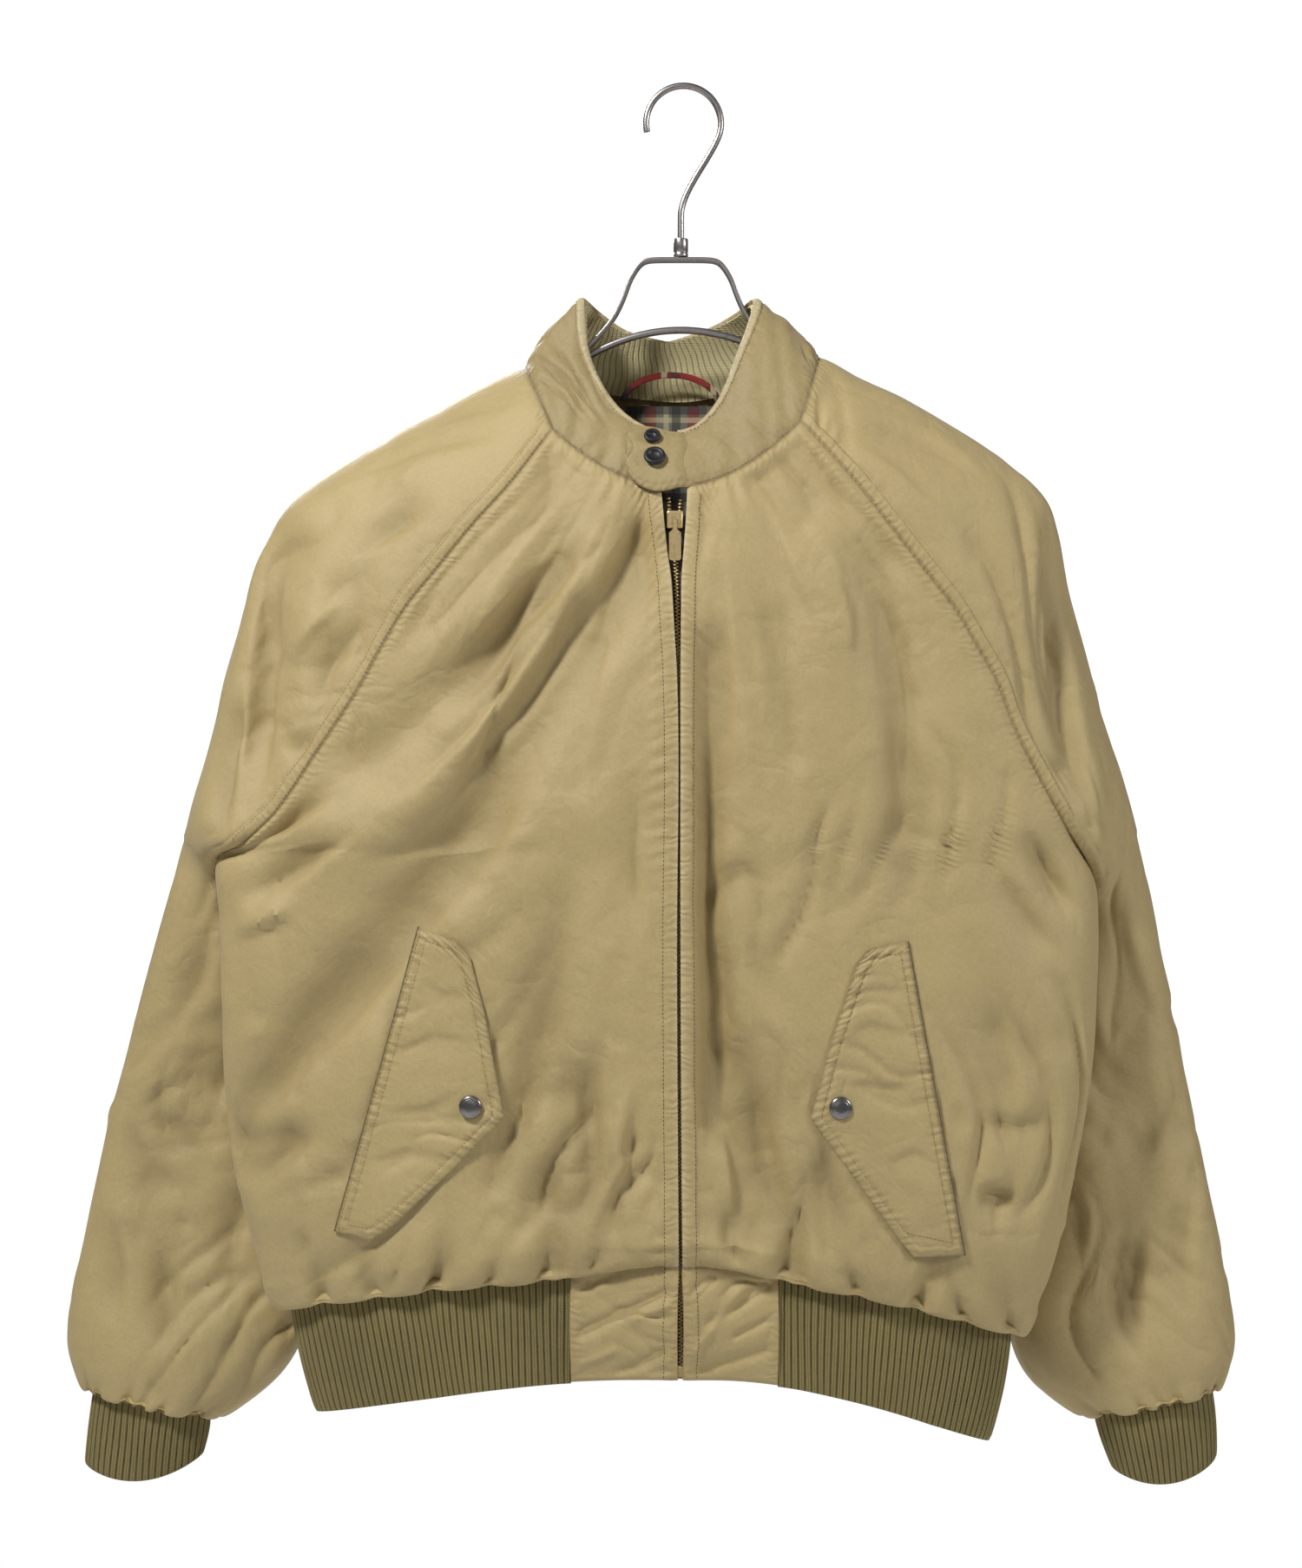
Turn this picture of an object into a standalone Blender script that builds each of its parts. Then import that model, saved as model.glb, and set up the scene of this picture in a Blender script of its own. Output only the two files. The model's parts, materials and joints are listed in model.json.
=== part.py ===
"""Zip-front raglan blouson with light padding, hanging on a metal hanger.

Metres, +Z up. The origin is the inside top of the hanger's hook, where a rail holds it. The front
faces -Y. Sides are the wearer's: "right" is at -X and "left" at +X. Heights are written as a drop,
the distance below the origin. Cloth is a wall about 2.5 mm thick with true openings at the neck,
hem and cuffs, so one can look and reach inside.
"""
import bpy
import bmesh
import numpy as np
from math import cos, sin, pi, radians
from mathutils import Matrix, Vector

for old in list(bpy.data.objects):
    bpy.data.objects.remove(old, do_unlink=True)

# Driving dimensions.
WALL = 0.0025            # shell with its light padding, pressed flat
SEAM_GAP = 0.0003        # between two pieces at a seam
RAGLAN_ROWS = 12         # rows from the neck to the armpit
SIDE_ROWS = 7            # rows from the armpit to the widest line above the hem
FRONT_COLUMNS = 10
BACK_COLUMNS = 8         # each side of the centre back
SLEEVE_FRONT = 10        # columns over the front of a sleeve
SLEEVE_BACK = 6
RIB_PITCH = 0.0056       # hem and cuff knit, one raised rib
RIB_HEIGHT = 0.0011
RIB_THICKNESS = 0.0016   # the knit behind the ribs
ARMPIT_CLEARANCE = 0.0008
SIDES = {"right": -1, "left": 1}

TAN = (0.47, 0.36, 0.20, 1.0)
OLIVE = (0.40, 0.36, 0.18, 1.0)
BRASS = (0.80, 0.58, 0.28, 1.0)
DARK = (0.035, 0.028, 0.022, 1.0)
GUNMETAL = (0.16, 0.16, 0.17, 1.0)
STEEL = (0.72, 0.72, 0.73, 1.0)
CHECK_RED = (0.30, 0.05, 0.04, 1.0)

# The body by height. Half widths are of the ring, from the middle to its side edge; depths are
# from the plane of the rod to the front and the back; side_y is where the side edge lies.
BODY_COLUMNS = ("drop", "right", "left", "front", "back", "side_y")
BODY = (
    (0.180, 0.215, 0.200, 0.042, 0.036, 0.000),
    (0.240, 0.262, 0.238, 0.064, 0.042, 0.000),
    (0.280, 0.284, 0.252, 0.076, 0.045, 0.000),
    (0.330, 0.294, 0.262, 0.083, 0.046, -0.003),
    (0.400, 0.300, 0.270, 0.087, 0.046, -0.009),
    (0.460, 0.306, 0.274, 0.088, 0.045, -0.015),
    (0.530, 0.314, 0.275, 0.088, 0.044, -0.020),
    (0.570, 0.3115, 0.2785, 0.087, 0.043, -0.021),
    (0.620, 0.3100, 0.2775, 0.086, 0.043, -0.021),
    (0.680, 0.3085, 0.2730, 0.086, 0.043, -0.020),
    (0.720, 0.3050, 0.2660, 0.087, 0.044, -0.018),
    (0.760, 0.2960, 0.2580, 0.090, 0.046, -0.016),
    (0.800, 0.2850, 0.2480, 0.091, 0.047, -0.014),
    (0.840, 0.2680, 0.2320, 0.088, 0.046, -0.014),
)

# Raglan rows from neck to armpit: the front seam, the sleeve's outermost line (over the shoulder
# and down the arm) and the back seam. The last row is the armpit, where both seams meet.
RAGLAN_COLUMNS = ("front_x", "front_drop", "outer_x", "outer_drop", "outer_y", "back_x", "back_drop")
RAGLAN = {
    "right": (
        (0.0871, 0.2392, 0.1080, 0.1910, 0.000, 0.064, 0.203),
        (0.1135, 0.2750, 0.1440, 0.2085, 0.000, 0.092, 0.232),
        (0.1385, 0.3030, 0.1780, 0.2265, 0.000, 0.118, 0.261),
        (0.1620, 0.3320, 0.2110, 0.2455, 0.000, 0.143, 0.290),
        (0.1825, 0.3570, 0.2380, 0.2620, 0.000, 0.166, 0.319),
        (0.1990, 0.3840, 0.2620, 0.2800, 0.001, 0.188, 0.348),
        (0.2127, 0.4086, 0.2800, 0.3030, 0.003, 0.208, 0.376),
        (0.2285, 0.4330, 0.2925, 0.3310, 0.005, 0.226, 0.403),
        (0.2441, 0.4556, 0.3030, 0.3700, 0.007, 0.243, 0.429),
        (0.2570, 0.4750, 0.3125, 0.4020, 0.009, 0.259, 0.454),
        (0.2725, 0.4950, 0.3230, 0.4470, 0.011, 0.276, 0.479),
        (0.2940, 0.5130, 0.3330, 0.4820, 0.013, 0.296, 0.504),
        (0.3141, 0.5255, 0.3405, 0.5080, 0.015, 0.3141, 0.5255),
    ),
    "left": (
        (0.0774, 0.2334, 0.0923, 0.1830, 0.000, 0.060, 0.196),
        (0.0980, 0.2570, 0.1220, 0.1995, 0.000, 0.085, 0.226),
        (0.1159, 0.2783, 0.1500, 0.2125, 0.000, 0.108, 0.256),
        (0.1335, 0.3010, 0.1785, 0.2290, 0.000, 0.130, 0.286),
        (0.1503, 0.3225, 0.2050, 0.2455, 0.000, 0.151, 0.316),
        (0.1660, 0.3425, 0.2270, 0.2620, 0.001, 0.170, 0.346),
        (0.1792, 0.3597, 0.2460, 0.2815, 0.003, 0.188, 0.375),
        (0.1935, 0.3840, 0.2545, 0.3050, 0.005, 0.204, 0.403),
        (0.2057, 0.4055, 0.2625, 0.3430, 0.007, 0.219, 0.430),
        (0.2180, 0.4371, 0.2735, 0.3830, 0.009, 0.233, 0.457),
        (0.2330, 0.4660, 0.2865, 0.4290, 0.011, 0.247, 0.483),
        (0.2530, 0.5000, 0.2990, 0.4670, 0.013, 0.261, 0.510),
        (0.2752, 0.5360, 0.3095, 0.5050, 0.015, 0.2752, 0.536),
    ),
}

# The sleeve as a tube below the armpit: outer and inner edge, the middle of its depth and half
# of that depth. The last rows swell over the cuff and turn under to the cuff seam.
ARM_COLUMNS = ("outer_x", "outer_drop", "inner_x", "inner_drop", "middle_y", "half_depth")
ARM = {
    "right": (
        (0.3515, 0.546, 0.3020, 0.558, 0.016, 0.022),
        (0.3640, 0.588, 0.2920, 0.601, 0.024, 0.027),
        (0.3757, 0.628, 0.2860, 0.642, 0.030, 0.028),
        (0.3868, 0.668, 0.2800, 0.684, 0.033, 0.027),
        (0.3975, 0.708, 0.2750, 0.724, 0.035, 0.026),
        (0.4065, 0.748, 0.2705, 0.762, 0.036, 0.026),
        (0.4143, 0.786, 0.2665, 0.798, 0.036, 0.027),
        (0.4214, 0.820, 0.2640, 0.830, 0.036, 0.030),
        (0.4255, 0.850, 0.2650, 0.858, 0.036, 0.033),
        (0.4250, 0.872, 0.2830, 0.886, 0.036, 0.033),
        (0.4170, 0.892, 0.3170, 0.912, 0.036, 0.029),
        (0.4085, 0.888, 0.3265, 0.904, 0.036, 0.0235),
    ),
    "left": (
        (0.3205, 0.546, 0.2740, 0.566, 0.019, 0.022),
        (0.3295, 0.588, 0.2580, 0.607, 0.024, 0.027),
        (0.3385, 0.628, 0.2520, 0.647, 0.030, 0.028),
        (0.3465, 0.668, 0.2460, 0.687, 0.033, 0.027),
        (0.3550, 0.708, 0.2410, 0.727, 0.035, 0.026),
        (0.3635, 0.748, 0.2365, 0.765, 0.036, 0.026),
        (0.3710, 0.786, 0.2325, 0.801, 0.036, 0.027),
        (0.3776, 0.820, 0.2290, 0.832, 0.036, 0.030),
        (0.3820, 0.850, 0.2280, 0.860, 0.036, 0.033),
        (0.3815, 0.872, 0.2430, 0.888, 0.036, 0.033),
        (0.3740, 0.892, 0.2740, 0.911, 0.036, 0.029),
        (0.3670, 0.888, 0.2830, 0.903, 0.036, 0.0235),
    ),
}
CUFF_END = {   # lower edge of each cuff: outer corner, lowest middle, inner corner
    "right": {"outer": (0.4150, 0.944), "middle": 0.953, "inner": (0.3320, 0.938)},
    "left": {"outer": (0.3705, 0.940), "middle": 0.955, "inner": (0.2975, 0.948)},
}
CUFF_HALF_DEPTH = 0.0215

# The lower body: drop of the widest line above the hem, and how the cloth swells over the rib and
# turns under to the hem seam (inset from the widest ring, drop below the widest line).
NECK_FRONT_DROP = 0.278
NECK_BACK_DROP = 0.211
ARMPIT_CENTRE_DROP = 0.530
WIDEST_DROP = {"centre": 0.769, "right": 0.800, "left": 0.820}
TURN_UNDER = ((0.002, 0.013), (0.009, 0.025), (0.017, 0.019))
HEM_RIB_LENGTH = 0.077
HEM_PANEL_END = {"right": 0.0749, "left": 0.0619}

# The zip runs a little left of the origin and not quite plumb. The front edges stand apart above
# the slider.
ZIP_COLUMNS = ("drop", "middle_x", "half_gap")
ZIP = (
    (0.262, -0.0070, 0.0105),
    (0.292, -0.0064, 0.0074),
    (0.307, -0.0060, 0.0070),
    (0.330, -0.0055, 0.0040),
    (0.360, -0.0048, 0.0025),
    (0.395, -0.0040, 0.0014),
    (0.590, -0.0038, 0.0012),
    (0.880, -0.0020, 0.0012),
)

# Largest folds of the front: path of (x, drop), half width, depth. A minus depth is a ridge.
FRONT_FOLDS = (
    (((-0.025, 0.318), (-0.085, 0.409), (-0.142, 0.500), (-0.199, 0.580), (-0.256, 0.643),
      (-0.300, 0.700)), 0.020, 0.0075),
    (((-0.060, 0.330), (-0.113, 0.415), (-0.170, 0.482), (-0.235, 0.510)), 0.022, -0.0040),
    (((-0.085, 0.323), (-0.113, 0.369), (-0.159, 0.415), (-0.205, 0.460)), 0.018, 0.0045),
    (((-0.076, 0.529), (-0.085, 0.597), (-0.101, 0.672), (-0.122, 0.729)), 0.018, 0.0040),
    (((0.013, 0.392), (0.020, 0.500), (0.022, 0.575), (0.026, 0.689), (0.040, 0.760)), 0.016, 0.0060),
    (((0.042, 0.654), (0.067, 0.765)), 0.016, 0.0040),
    (((0.130, 0.330), (0.147, 0.415), (0.148, 0.577)), 0.020, 0.0030),
)
# Long folds of the sleeves, on the front side. The left sleeve turns back sharply at a fold edge.
SLEEVE_FOLDS = {
    "right": (
        (((-0.268, 0.312), (-0.2765, 0.355), (-0.279, 0.420), (-0.284, 0.480)), 0.014, 0.014),
        (((-0.204, 0.372), (-0.232, 0.402), (-0.250, 0.432)), 0.014, 0.0050),
        (((-0.330, 0.640), (-0.350, 0.740), (-0.345, 0.830)), 0.020, 0.0050),
    ),
    "left": (
        (((0.262, 0.330), (0.276, 0.400), (0.288, 0.460), (0.298, 0.520)), 0.014, 0.013),
        (((0.300, 0.640), (0.312, 0.740), (0.300, 0.830)), 0.020, 0.0050),
    ),
}


def column(table, names, name):
    """One named column of a table, as an array."""
    return np.array([row[names.index(name)] for row in table], float)


def curve(knots, values, at):
    """Smooth curve through values at knots, read at the places asked for."""
    knots, values, at = np.asarray(knots, float), np.asarray(values, float), np.asarray(at, float)
    slopes = np.gradient(values, knots)
    place = np.clip(np.searchsorted(knots, at) - 1, 0, len(knots) - 2)
    step = knots[place + 1] - knots[place]
    s = np.clip((at - knots[place]) / step, 0.0, 1.0)
    start = values[place] * (2 * s**3 - 3 * s**2 + 1) + slopes[place] * step * (s**3 - 2 * s**2 + s)
    end = values[place + 1] * (3 * s**2 - 2 * s**3) + slopes[place + 1] * step * (s**3 - s**2)
    return start + end


def body_at(name, drop):
    """A column of the body table at any drop."""
    return curve(column(BODY, BODY_COLUMNS, "drop"), column(BODY, BODY_COLUMNS, name), drop)


def zip_at(name, drop):
    """The zip's middle or the front edges' half gap at any drop."""
    return curve(column(ZIP, ZIP_COLUMNS, "drop"), column(ZIP, ZIP_COLUMNS, name), drop)


def half_width(x, drop):
    """Half width of the body ring on the side that x is on."""
    return np.where(np.asarray(x) < 0, body_at("right", drop), body_at("left", drop))


def fold_depth(folds, x, drop):
    """How far the folds push the cloth in at (x, drop)."""
    x, drop = np.asarray(x, float), np.asarray(drop, float)
    total = np.zeros(np.broadcast(x, drop).shape)
    for path, width, depth in folds:
        nearest = np.full(total.shape, 1e9)
        for (x0, d0), (x1, d1) in zip(path[:-1], path[1:]):
            length2 = (x1 - x0)**2 + (d1 - d0)**2
            along = np.clip(((x - x0) * (x1 - x0) + (drop - d0) * (d1 - d0)) / length2, 0, 1)
            away = (x - x0 - along * (x1 - x0))**2 + (drop - d0 - along * (d1 - d0))**2
            nearest = np.minimum(nearest, away)
        total += depth * np.exp(-nearest / width**2)
    return total


def front_y(x, drop, inset=0.0):
    """The front's outer surface, as a depth over (x, drop)."""
    side = body_at("side_y", drop)
    share = np.clip(np.abs(x) / (half_width(x, drop)), 0, 1)
    swell = (1 - share**2)**0.4
    folds = fold_depth(FRONT_FOLDS, x, drop) * swell
    return side - (body_at("front", drop) - inset + side) * swell + folds


def back_y(x, drop, inset=0.0):
    """The back's outer surface."""
    side = body_at("side_y", drop)
    share = np.clip(np.abs(x) / (half_width(x, drop)), 0, 1)
    return side + (body_at("back", drop) - inset - side) * (1 - share**2)**0.5


def unit(v):
    """Vectors at length one."""
    return v / np.maximum(np.linalg.norm(v, axis=-1, keepdims=True), 1e-12)


def directions(grid, axis):
    """Direction of a grid's lines at each point: the mean of the two steps that meet there."""
    steps = unit(np.diff(grid, axis=axis))
    ends = steps.take([0], axis=axis), steps.take([-1], axis=axis)
    before = np.concatenate([ends[0], steps], axis=axis)
    after = np.concatenate([steps, ends[1]], axis=axis)
    return unit(before + after)


def grid_normals(grid, outward):
    """Normals of a grid of points, pointing to the side that outward (a rough direction) is on."""
    normals = unit(np.cross(directions(grid, 0), directions(grid, 1)))
    flip = np.sign(np.mean(np.sum(normals * outward, axis=-1)))
    return normals * flip


def body_panel(side, is_front):
    """Grid of a front (centre to side) or of half the back, rows from the neck to the hem seam."""
    sign = SIDES[side]
    seam = "front" if is_front else "back"
    seam_x = column(RAGLAN[side], RAGLAN_COLUMNS, seam + "_x")
    seam_drop = column(RAGLAN[side], RAGLAN_COLUMNS, seam + "_drop")
    neck_drop = NECK_FRONT_DROP if is_front else NECK_BACK_DROP
    centre_drop = np.linspace(neck_drop, ARMPIT_CENTRE_DROP, RAGLAN_ROWS + 1)
    low_side = np.linspace(seam_drop[-1], WIDEST_DROP[side], SIDE_ROWS + 1)[1:]
    low_centre = np.linspace(ARMPIT_CENTRE_DROP, WIDEST_DROP["centre"], SIDE_ROWS + 1)[1:]
    seam_x = np.append(seam_x, body_at(side, low_side))
    seam_drop = np.append(seam_drop, low_side)
    centre_drop = np.append(centre_drop, low_centre)
    columns = FRONT_COLUMNS if is_front else BACK_COLUMNS
    across = np.linspace(0, 1, columns + 1)
    surface = front_y if is_front else back_y
    rows = []
    for x_end, drop_end, drop_start in zip(seam_x, seam_drop, centre_drop):
        reach = np.arcsin(min(1.0, x_end / float(body_at(side, drop_end))))
        spread = np.sin(across * reach) / sin(reach)
        drop = drop_start + (drop_end - drop_start) * spread**1.7
        if is_front:
            edge = zip_at("middle_x", drop) + sign * zip_at("half_gap", drop)
        else:
            edge = np.zeros(columns + 1)
        x = edge + (sign * x_end - edge) * spread
        x[-1] = sign * x_end
        y = surface(x, drop)
        if x_end >= float(body_at(side, drop_end)) - 1e-6:
            y[-1] = float(body_at("side_y", drop_end))
        rows.append(np.stack([x, y, -drop], axis=-1))
    widest = rows[-1]
    spread = np.abs(widest[:, 0]) / abs(widest[-1, 0])
    swollen = np.clip(spread / 0.3, 0, 1) if is_front else np.ones(columns + 1)
    swollen = swollen**2 * (3 - 2 * swollen)
    ease = 0.35 + 0.65 * swollen
    side_y = float(body_at("side_y", WIDEST_DROP[side]))
    for step, (inset, lower) in enumerate(TURN_UNDER, 1):
        turned = widest.copy()
        turned[:, 0] -= sign * inset * spread**2
        level = np.abs(widest[:, 1] - side_y) / np.abs(widest[:, 1] - side_y).max()
        turned[:, 1] -= np.sign(widest[:, 1] - side_y) * inset * ease * level
        straight = TURN_UNDER[-1][1] * step / len(TURN_UNDER)
        turned[:, 2] -= lower * swollen + straight * (1 - swollen)
        if is_front:
            drop = -turned[:, 2]
            edge = zip_at("middle_x", drop) + sign * zip_at("half_gap", drop)
            turned[:, 0] = edge + (turned[-1, 0] - edge) * spread_between(widest[:, 0])
        rows.append(turned)
    return np.array(rows)


def spread_between(x):
    """Places from 0 to 1 of values between their first and last."""
    return (x - x[0]) / (x[-1] - x[0])


def arc(start, leave, arrive, end, count):
    """Points along a Bezier curve whose two handles are start + leave and end - arrive."""
    t = np.linspace(0, 1, count + 1)[:, None]
    return ((1 - t)**3 * start + 3 * (1 - t)**2 * t * (start + leave)
            + 3 * (1 - t) * t**2 * (end - arrive) + t**3 * end)


def along_surface(surface, point, towards):
    """Direction in a height field's own surface at a point, turned towards another point."""
    x, _, z = point
    small = 0.002
    slope_x = (surface(x + small, -z) - surface(x - small, -z)) / (2 * small)
    slope_z = (surface(x, -z - small) - surface(x, -z + small)) / (2 * small)
    normal = unit(np.array([float(slope_x), -1.0, float(slope_z)]))
    direction = towards - point
    return unit(direction - np.dot(direction, normal) * normal)


def sleeve_grid(side):
    """Grid of a sleeve: rows from the neck to the cuff seam, columns round from the front seam
    over the outer edge to the back seam. From the armpit down the first and last column meet."""
    sign = SIDES[side]
    rows = []
    front_panel, back_panel = body_panel(side, True), body_panel(side, False)
    table = RAGLAN[side]
    for k in range(RAGLAN_ROWS + 1):
        _, _, outer_x, outer_drop, outer_y, _, _ = table[k]
        front, back = front_panel[k, -1], back_panel[k, -1]
        outer = np.array([sign * outer_x, outer_y, -outer_drop])
        turn = np.clip((k - 8.5) / (RAGLAN_ROWS - 8.5), 0, 1)
        turn = turn * turn * (3 - 2 * turn)
        leave = along_surface(front_y, front + [-sign * 0.004, 0, 0], outer)
        leave = unit((1 - turn) * leave + turn * np.array([sign * 0.85, -0.5, 0.1]))
        arrive = -along_surface(back_y, back + [-sign * 0.004, 0, 0], outer)
        arrive = unit((1 - turn) * arrive + turn * np.array([-sign * 0.35, -0.9, 0.0]))
        front_length = np.linalg.norm(outer - front)
        back_length = np.linalg.norm(outer - back)
        over = np.array([0, 1.0, 0])
        over_front, over_back = over * front_length * 0.30, over * back_length * 0.30
        front_part = arc(front, leave * front_length * 0.42, over_front, outer, SLEEVE_FRONT)
        back_part = arc(outer, over_back, arrive * back_length * 0.40, back, SLEEVE_BACK)
        rows.append(np.vstack([front_part, back_part[1:]]))
    for outer_x, outer_drop, inner_x, inner_drop, middle_y, half_depth in ARM[side]:
        outer = np.array([sign * outer_x, middle_y, -outer_drop])
        inner = np.array([sign * inner_x, middle_y, -inner_drop])
        depth = np.array([0, half_depth * 4 / 3, 0])
        front_part = arc(inner, -depth, depth, outer, SLEEVE_FRONT)
        back_part = arc(outer, depth, -depth, inner, SLEEVE_BACK)
        rows.append(np.vstack([front_part, back_part[1:]]))
    grid = np.array(rows)
    normals = grid_normals(grid, unit(grid - grid.mean(axis=1, keepdims=True)))
    facing = np.clip(-normals[..., 1], 0, 1)
    steps = np.arange(SLEEVE_FRONT + SLEEVE_BACK + 1)
    clear_of_seam = np.clip(np.minimum(steps / 3.0, (SLEEVE_FRONT - steps) / 2.0), 0, 1)
    push = fold_depth(SLEEVE_FOLDS[side], grid[..., 0], -grid[..., 2])
    grid[..., 1] += push * facing * clear_of_seam
    return grid


def inner_wall(grid, normals):
    """The inner side of a cloth wall."""
    return grid - normals * WALL


def pull_from_edge(grid, normals, edge):
    """Moves one edge of a grid half the seam gap into its own piece. Edges: first/last row/column."""
    picks = {"first_row": (0, slice(None)), "last_row": (-1, slice(None)),
             "first_column": (slice(None), 0), "last_column": (slice(None), -1)}
    beside = {"first_row": (1, slice(None)), "last_row": (-2, slice(None)),
              "first_column": (slice(None), 1), "last_column": (slice(None), -2)}
    here, there = picks[edge], beside[edge]
    inward = grid[there] - grid[here]
    inward -= np.sum(inward * normals[here], axis=-1, keepdims=True) * normals[here]
    grid[here] += unit(inward) * SEAM_GAP / 2


def share_normals(*edges):
    """Gives the same averaged normals to edges that meet at a seam. Each is (array, index)."""
    mean = unit(sum(array[index] for array, index in edges))
    for array, index in edges:
        array[index] = mean


def material(name, colour, roughness, metallic=0.0):
    """One Principled material."""
    made = bpy.data.materials.new(name)
    made.use_nodes = True
    shader = made.node_tree.nodes["Principled BSDF"]
    shader.inputs["Base Color"].default_value = colour
    shader.inputs["Roughness"].default_value = roughness
    shader.inputs["Metallic"].default_value = metallic
    return made


def add_object(name, points, faces, finish, smooth=True):
    """An object from points and faces, with its faces turned outwards."""
    mesh = bpy.data.meshes.new(name)
    mesh.from_pydata([tuple(float(c) for c in p) for p in points], [], [tuple(f) for f in faces])
    shape = bmesh.new()
    shape.from_mesh(mesh)
    bmesh.ops.recalc_face_normals(shape, faces=shape.faces[:])
    if shape.calc_volume(signed=True) < 0:
        bmesh.ops.reverse_faces(shape, faces=shape.faces[:])
    shape.to_mesh(mesh)
    shape.free()
    mesh.materials.append(finish)
    if smooth:
        mesh.shade_smooth()
        mesh.set_sharp_from_angle(angle=radians(50))
    made = bpy.data.objects.new(name, mesh)
    bpy.context.scene.collection.objects.link(made)
    return made


def wall_object(name, outer, inner, finish, closed=False, joined_from=None):
    """A closed wall between two grids. closed joins the last column to the first one all the way;
    joined_from does so only from that row down, as on a raglan sleeve below the armpit."""
    rows, columns = outer.shape[:2]
    last = columns - 1

    def index(layer, i, j):
        if closed:
            j = j % columns
        elif joined_from is not None and i >= joined_from and j == last:
            j = 0
        return (layer * rows + i) * columns + j

    faces = []
    spans = columns if closed else last
    for i in range(rows - 1):
        for j in range(spans):
            faces.append([index(0, i, j), index(0, i, j + 1), index(0, i + 1, j + 1), index(0, i + 1, j)])
            faces.append([index(1, i, j), index(1, i + 1, j), index(1, i + 1, j + 1), index(1, i, j + 1)])
    for j in range(spans):
        faces.append([index(0, 0, j), index(1, 0, j), index(1, 0, j + 1), index(0, 0, j + 1)])
        end = rows - 1
        faces.append([index(0, end, j), index(0, end, j + 1), index(1, end, j + 1), index(1, end, j)])
    if not closed:
        open_rows = rows - 1 if joined_from is None else joined_from
        for i in range(open_rows):
            faces.append([index(0, i, 0), index(0, i + 1, 0), index(1, i + 1, 0), index(1, i, 0)])
            faces.append([index(0, i, last), index(1, i, last),
                          index(1, i + 1, last), index(0, i + 1, last)])
    points = np.concatenate([outer.reshape(-1, 3), inner.reshape(-1, 3)])
    used = sorted({v for face in faces for v in face})
    renumber = {v: n for n, v in enumerate(used)}
    return add_object(name, points[used], [[renumber[v] for v in face] for face in faces], finish)


def lengths_along(path):
    """Length along a polyline at each of its points."""
    return np.concatenate([[0], np.cumsum(np.linalg.norm(np.diff(path, axis=0), axis=1))])


def along_path(path, places):
    """Points of a polyline at given lengths along it."""
    length = lengths_along(path)
    return np.stack([np.interp(places, length, path[:, axis]) for axis in range(3)], axis=-1)


def ribbed_strip(name, top, bottom, out, finish, thickness, pitch=RIB_PITCH, rib=RIB_HEIGHT,
                 bulge=0.0, closed=False):
    """Knitted rib between a top and a bottom line: ribs raised in the wall's one side over a plain
    other side. The lines hold the same number of points, and out points away from the plain side."""
    knots = lengths_along(top)
    ribs = int(round(knots[-1] / pitch))
    fine = 2 * ribs + (0 if closed else 1)
    knots = knots / knots[-1]
    at = np.linspace(0, 1, fine, endpoint=not closed)

    def read(values, places):
        return np.stack([np.interp(places, knots, values[:, axis]) for axis in range(3)], axis=-1)

    raised = np.where(np.arange(fine) % 2 == 1, rib, 0.0)[:, None]
    ribbed, plain = [], []
    for share in (0.0, 0.5, 1.0):
        middle = top * (1 - share) + bottom * share
        middle = middle + out * bulge * sin(pi * share)
        ribbed.append(read(middle, at) + read(out, at) * (raised - rib))
        plain.append(middle - out * (rib + thickness))
    rows = len(ribbed)
    points = [p for row in ribbed for p in row]
    base = len(points)
    points += [p for row in plain for p in row]
    coarse = len(plain[0]) - (1 if closed else 0)
    width = len(plain[0])
    faces = []
    spans = fine if closed else fine - 1
    for i in range(rows - 1):
        for j in range(spans):
            k = (j + 1) % fine
            faces.append([i * fine + j, i * fine + k, (i + 1) * fine + k, (i + 1) * fine + j])
        for j in range(width - 1):
            k = (j + 1) % coarse if closed else j + 1
            a, b = base + i * width + j, base + i * width + k
            faces.append([a, a + width, b + width, b])
    # The rims: one face for each span of the plain side, with the rib points opposite it.
    nearest = [int(round(knot * (fine if closed else fine - 1))) for knot in knots]
    for i, turned in ((0, False), (rows - 1, True)):
        for k in range(width - 1):
            opposite = [i * fine + j % fine for j in range(nearest[k], nearest[k + 1] + 1)]
            following = base + i * width + ((k + 1) % coarse if closed else k + 1)
            face = opposite + [following, base + i * width + k]
            faces.append(face[::-1] if turned else face)
    if not closed:
        for j_fine, j_plain in ((0, 0), (fine - 1, width - 1)):
            for i in range(rows - 1):
                faces.append([i * fine + j_fine, (i + 1) * fine + j_fine,
                              base + (i + 1) * width + j_plain, base + i * width + j_plain])
    used = sorted({v for face in faces for v in face})
    renumber = {v: n for n, v in enumerate(used)}
    return add_object(name, np.array(points)[used], [[renumber[v] for v in face] for face in faces], finish)


shell = material("shell", TAN, 0.6)
rib_knit = material("rib_knit", OLIVE, 0.9)
brass = material("brass", BRASS, 0.3, 1.0)
zip_cloth = material("zip_cloth", DARK, 0.8)
button_black = material("button_black", DARK, 0.4)
gunmetal = material("gunmetal", GUNMETAL, 0.3, 1.0)
steel = material("steel", STEEL, 0.2, 1.0)
check_cloth = material("check_cloth", CHECK_RED, 0.8)

# --- Collar: a cone that leans in from the neck seam to its top edge ---
COLLAR_MIDDLE = (-0.010, -0.009)      # x, y of the top edge's middle
COLLAR_TOP = (0.058, 0.041)           # half width, half depth of the top edge
NECK_MIDDLE = (-0.008, -0.012)
NECK_REACH = (0.100, 0.060)
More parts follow.
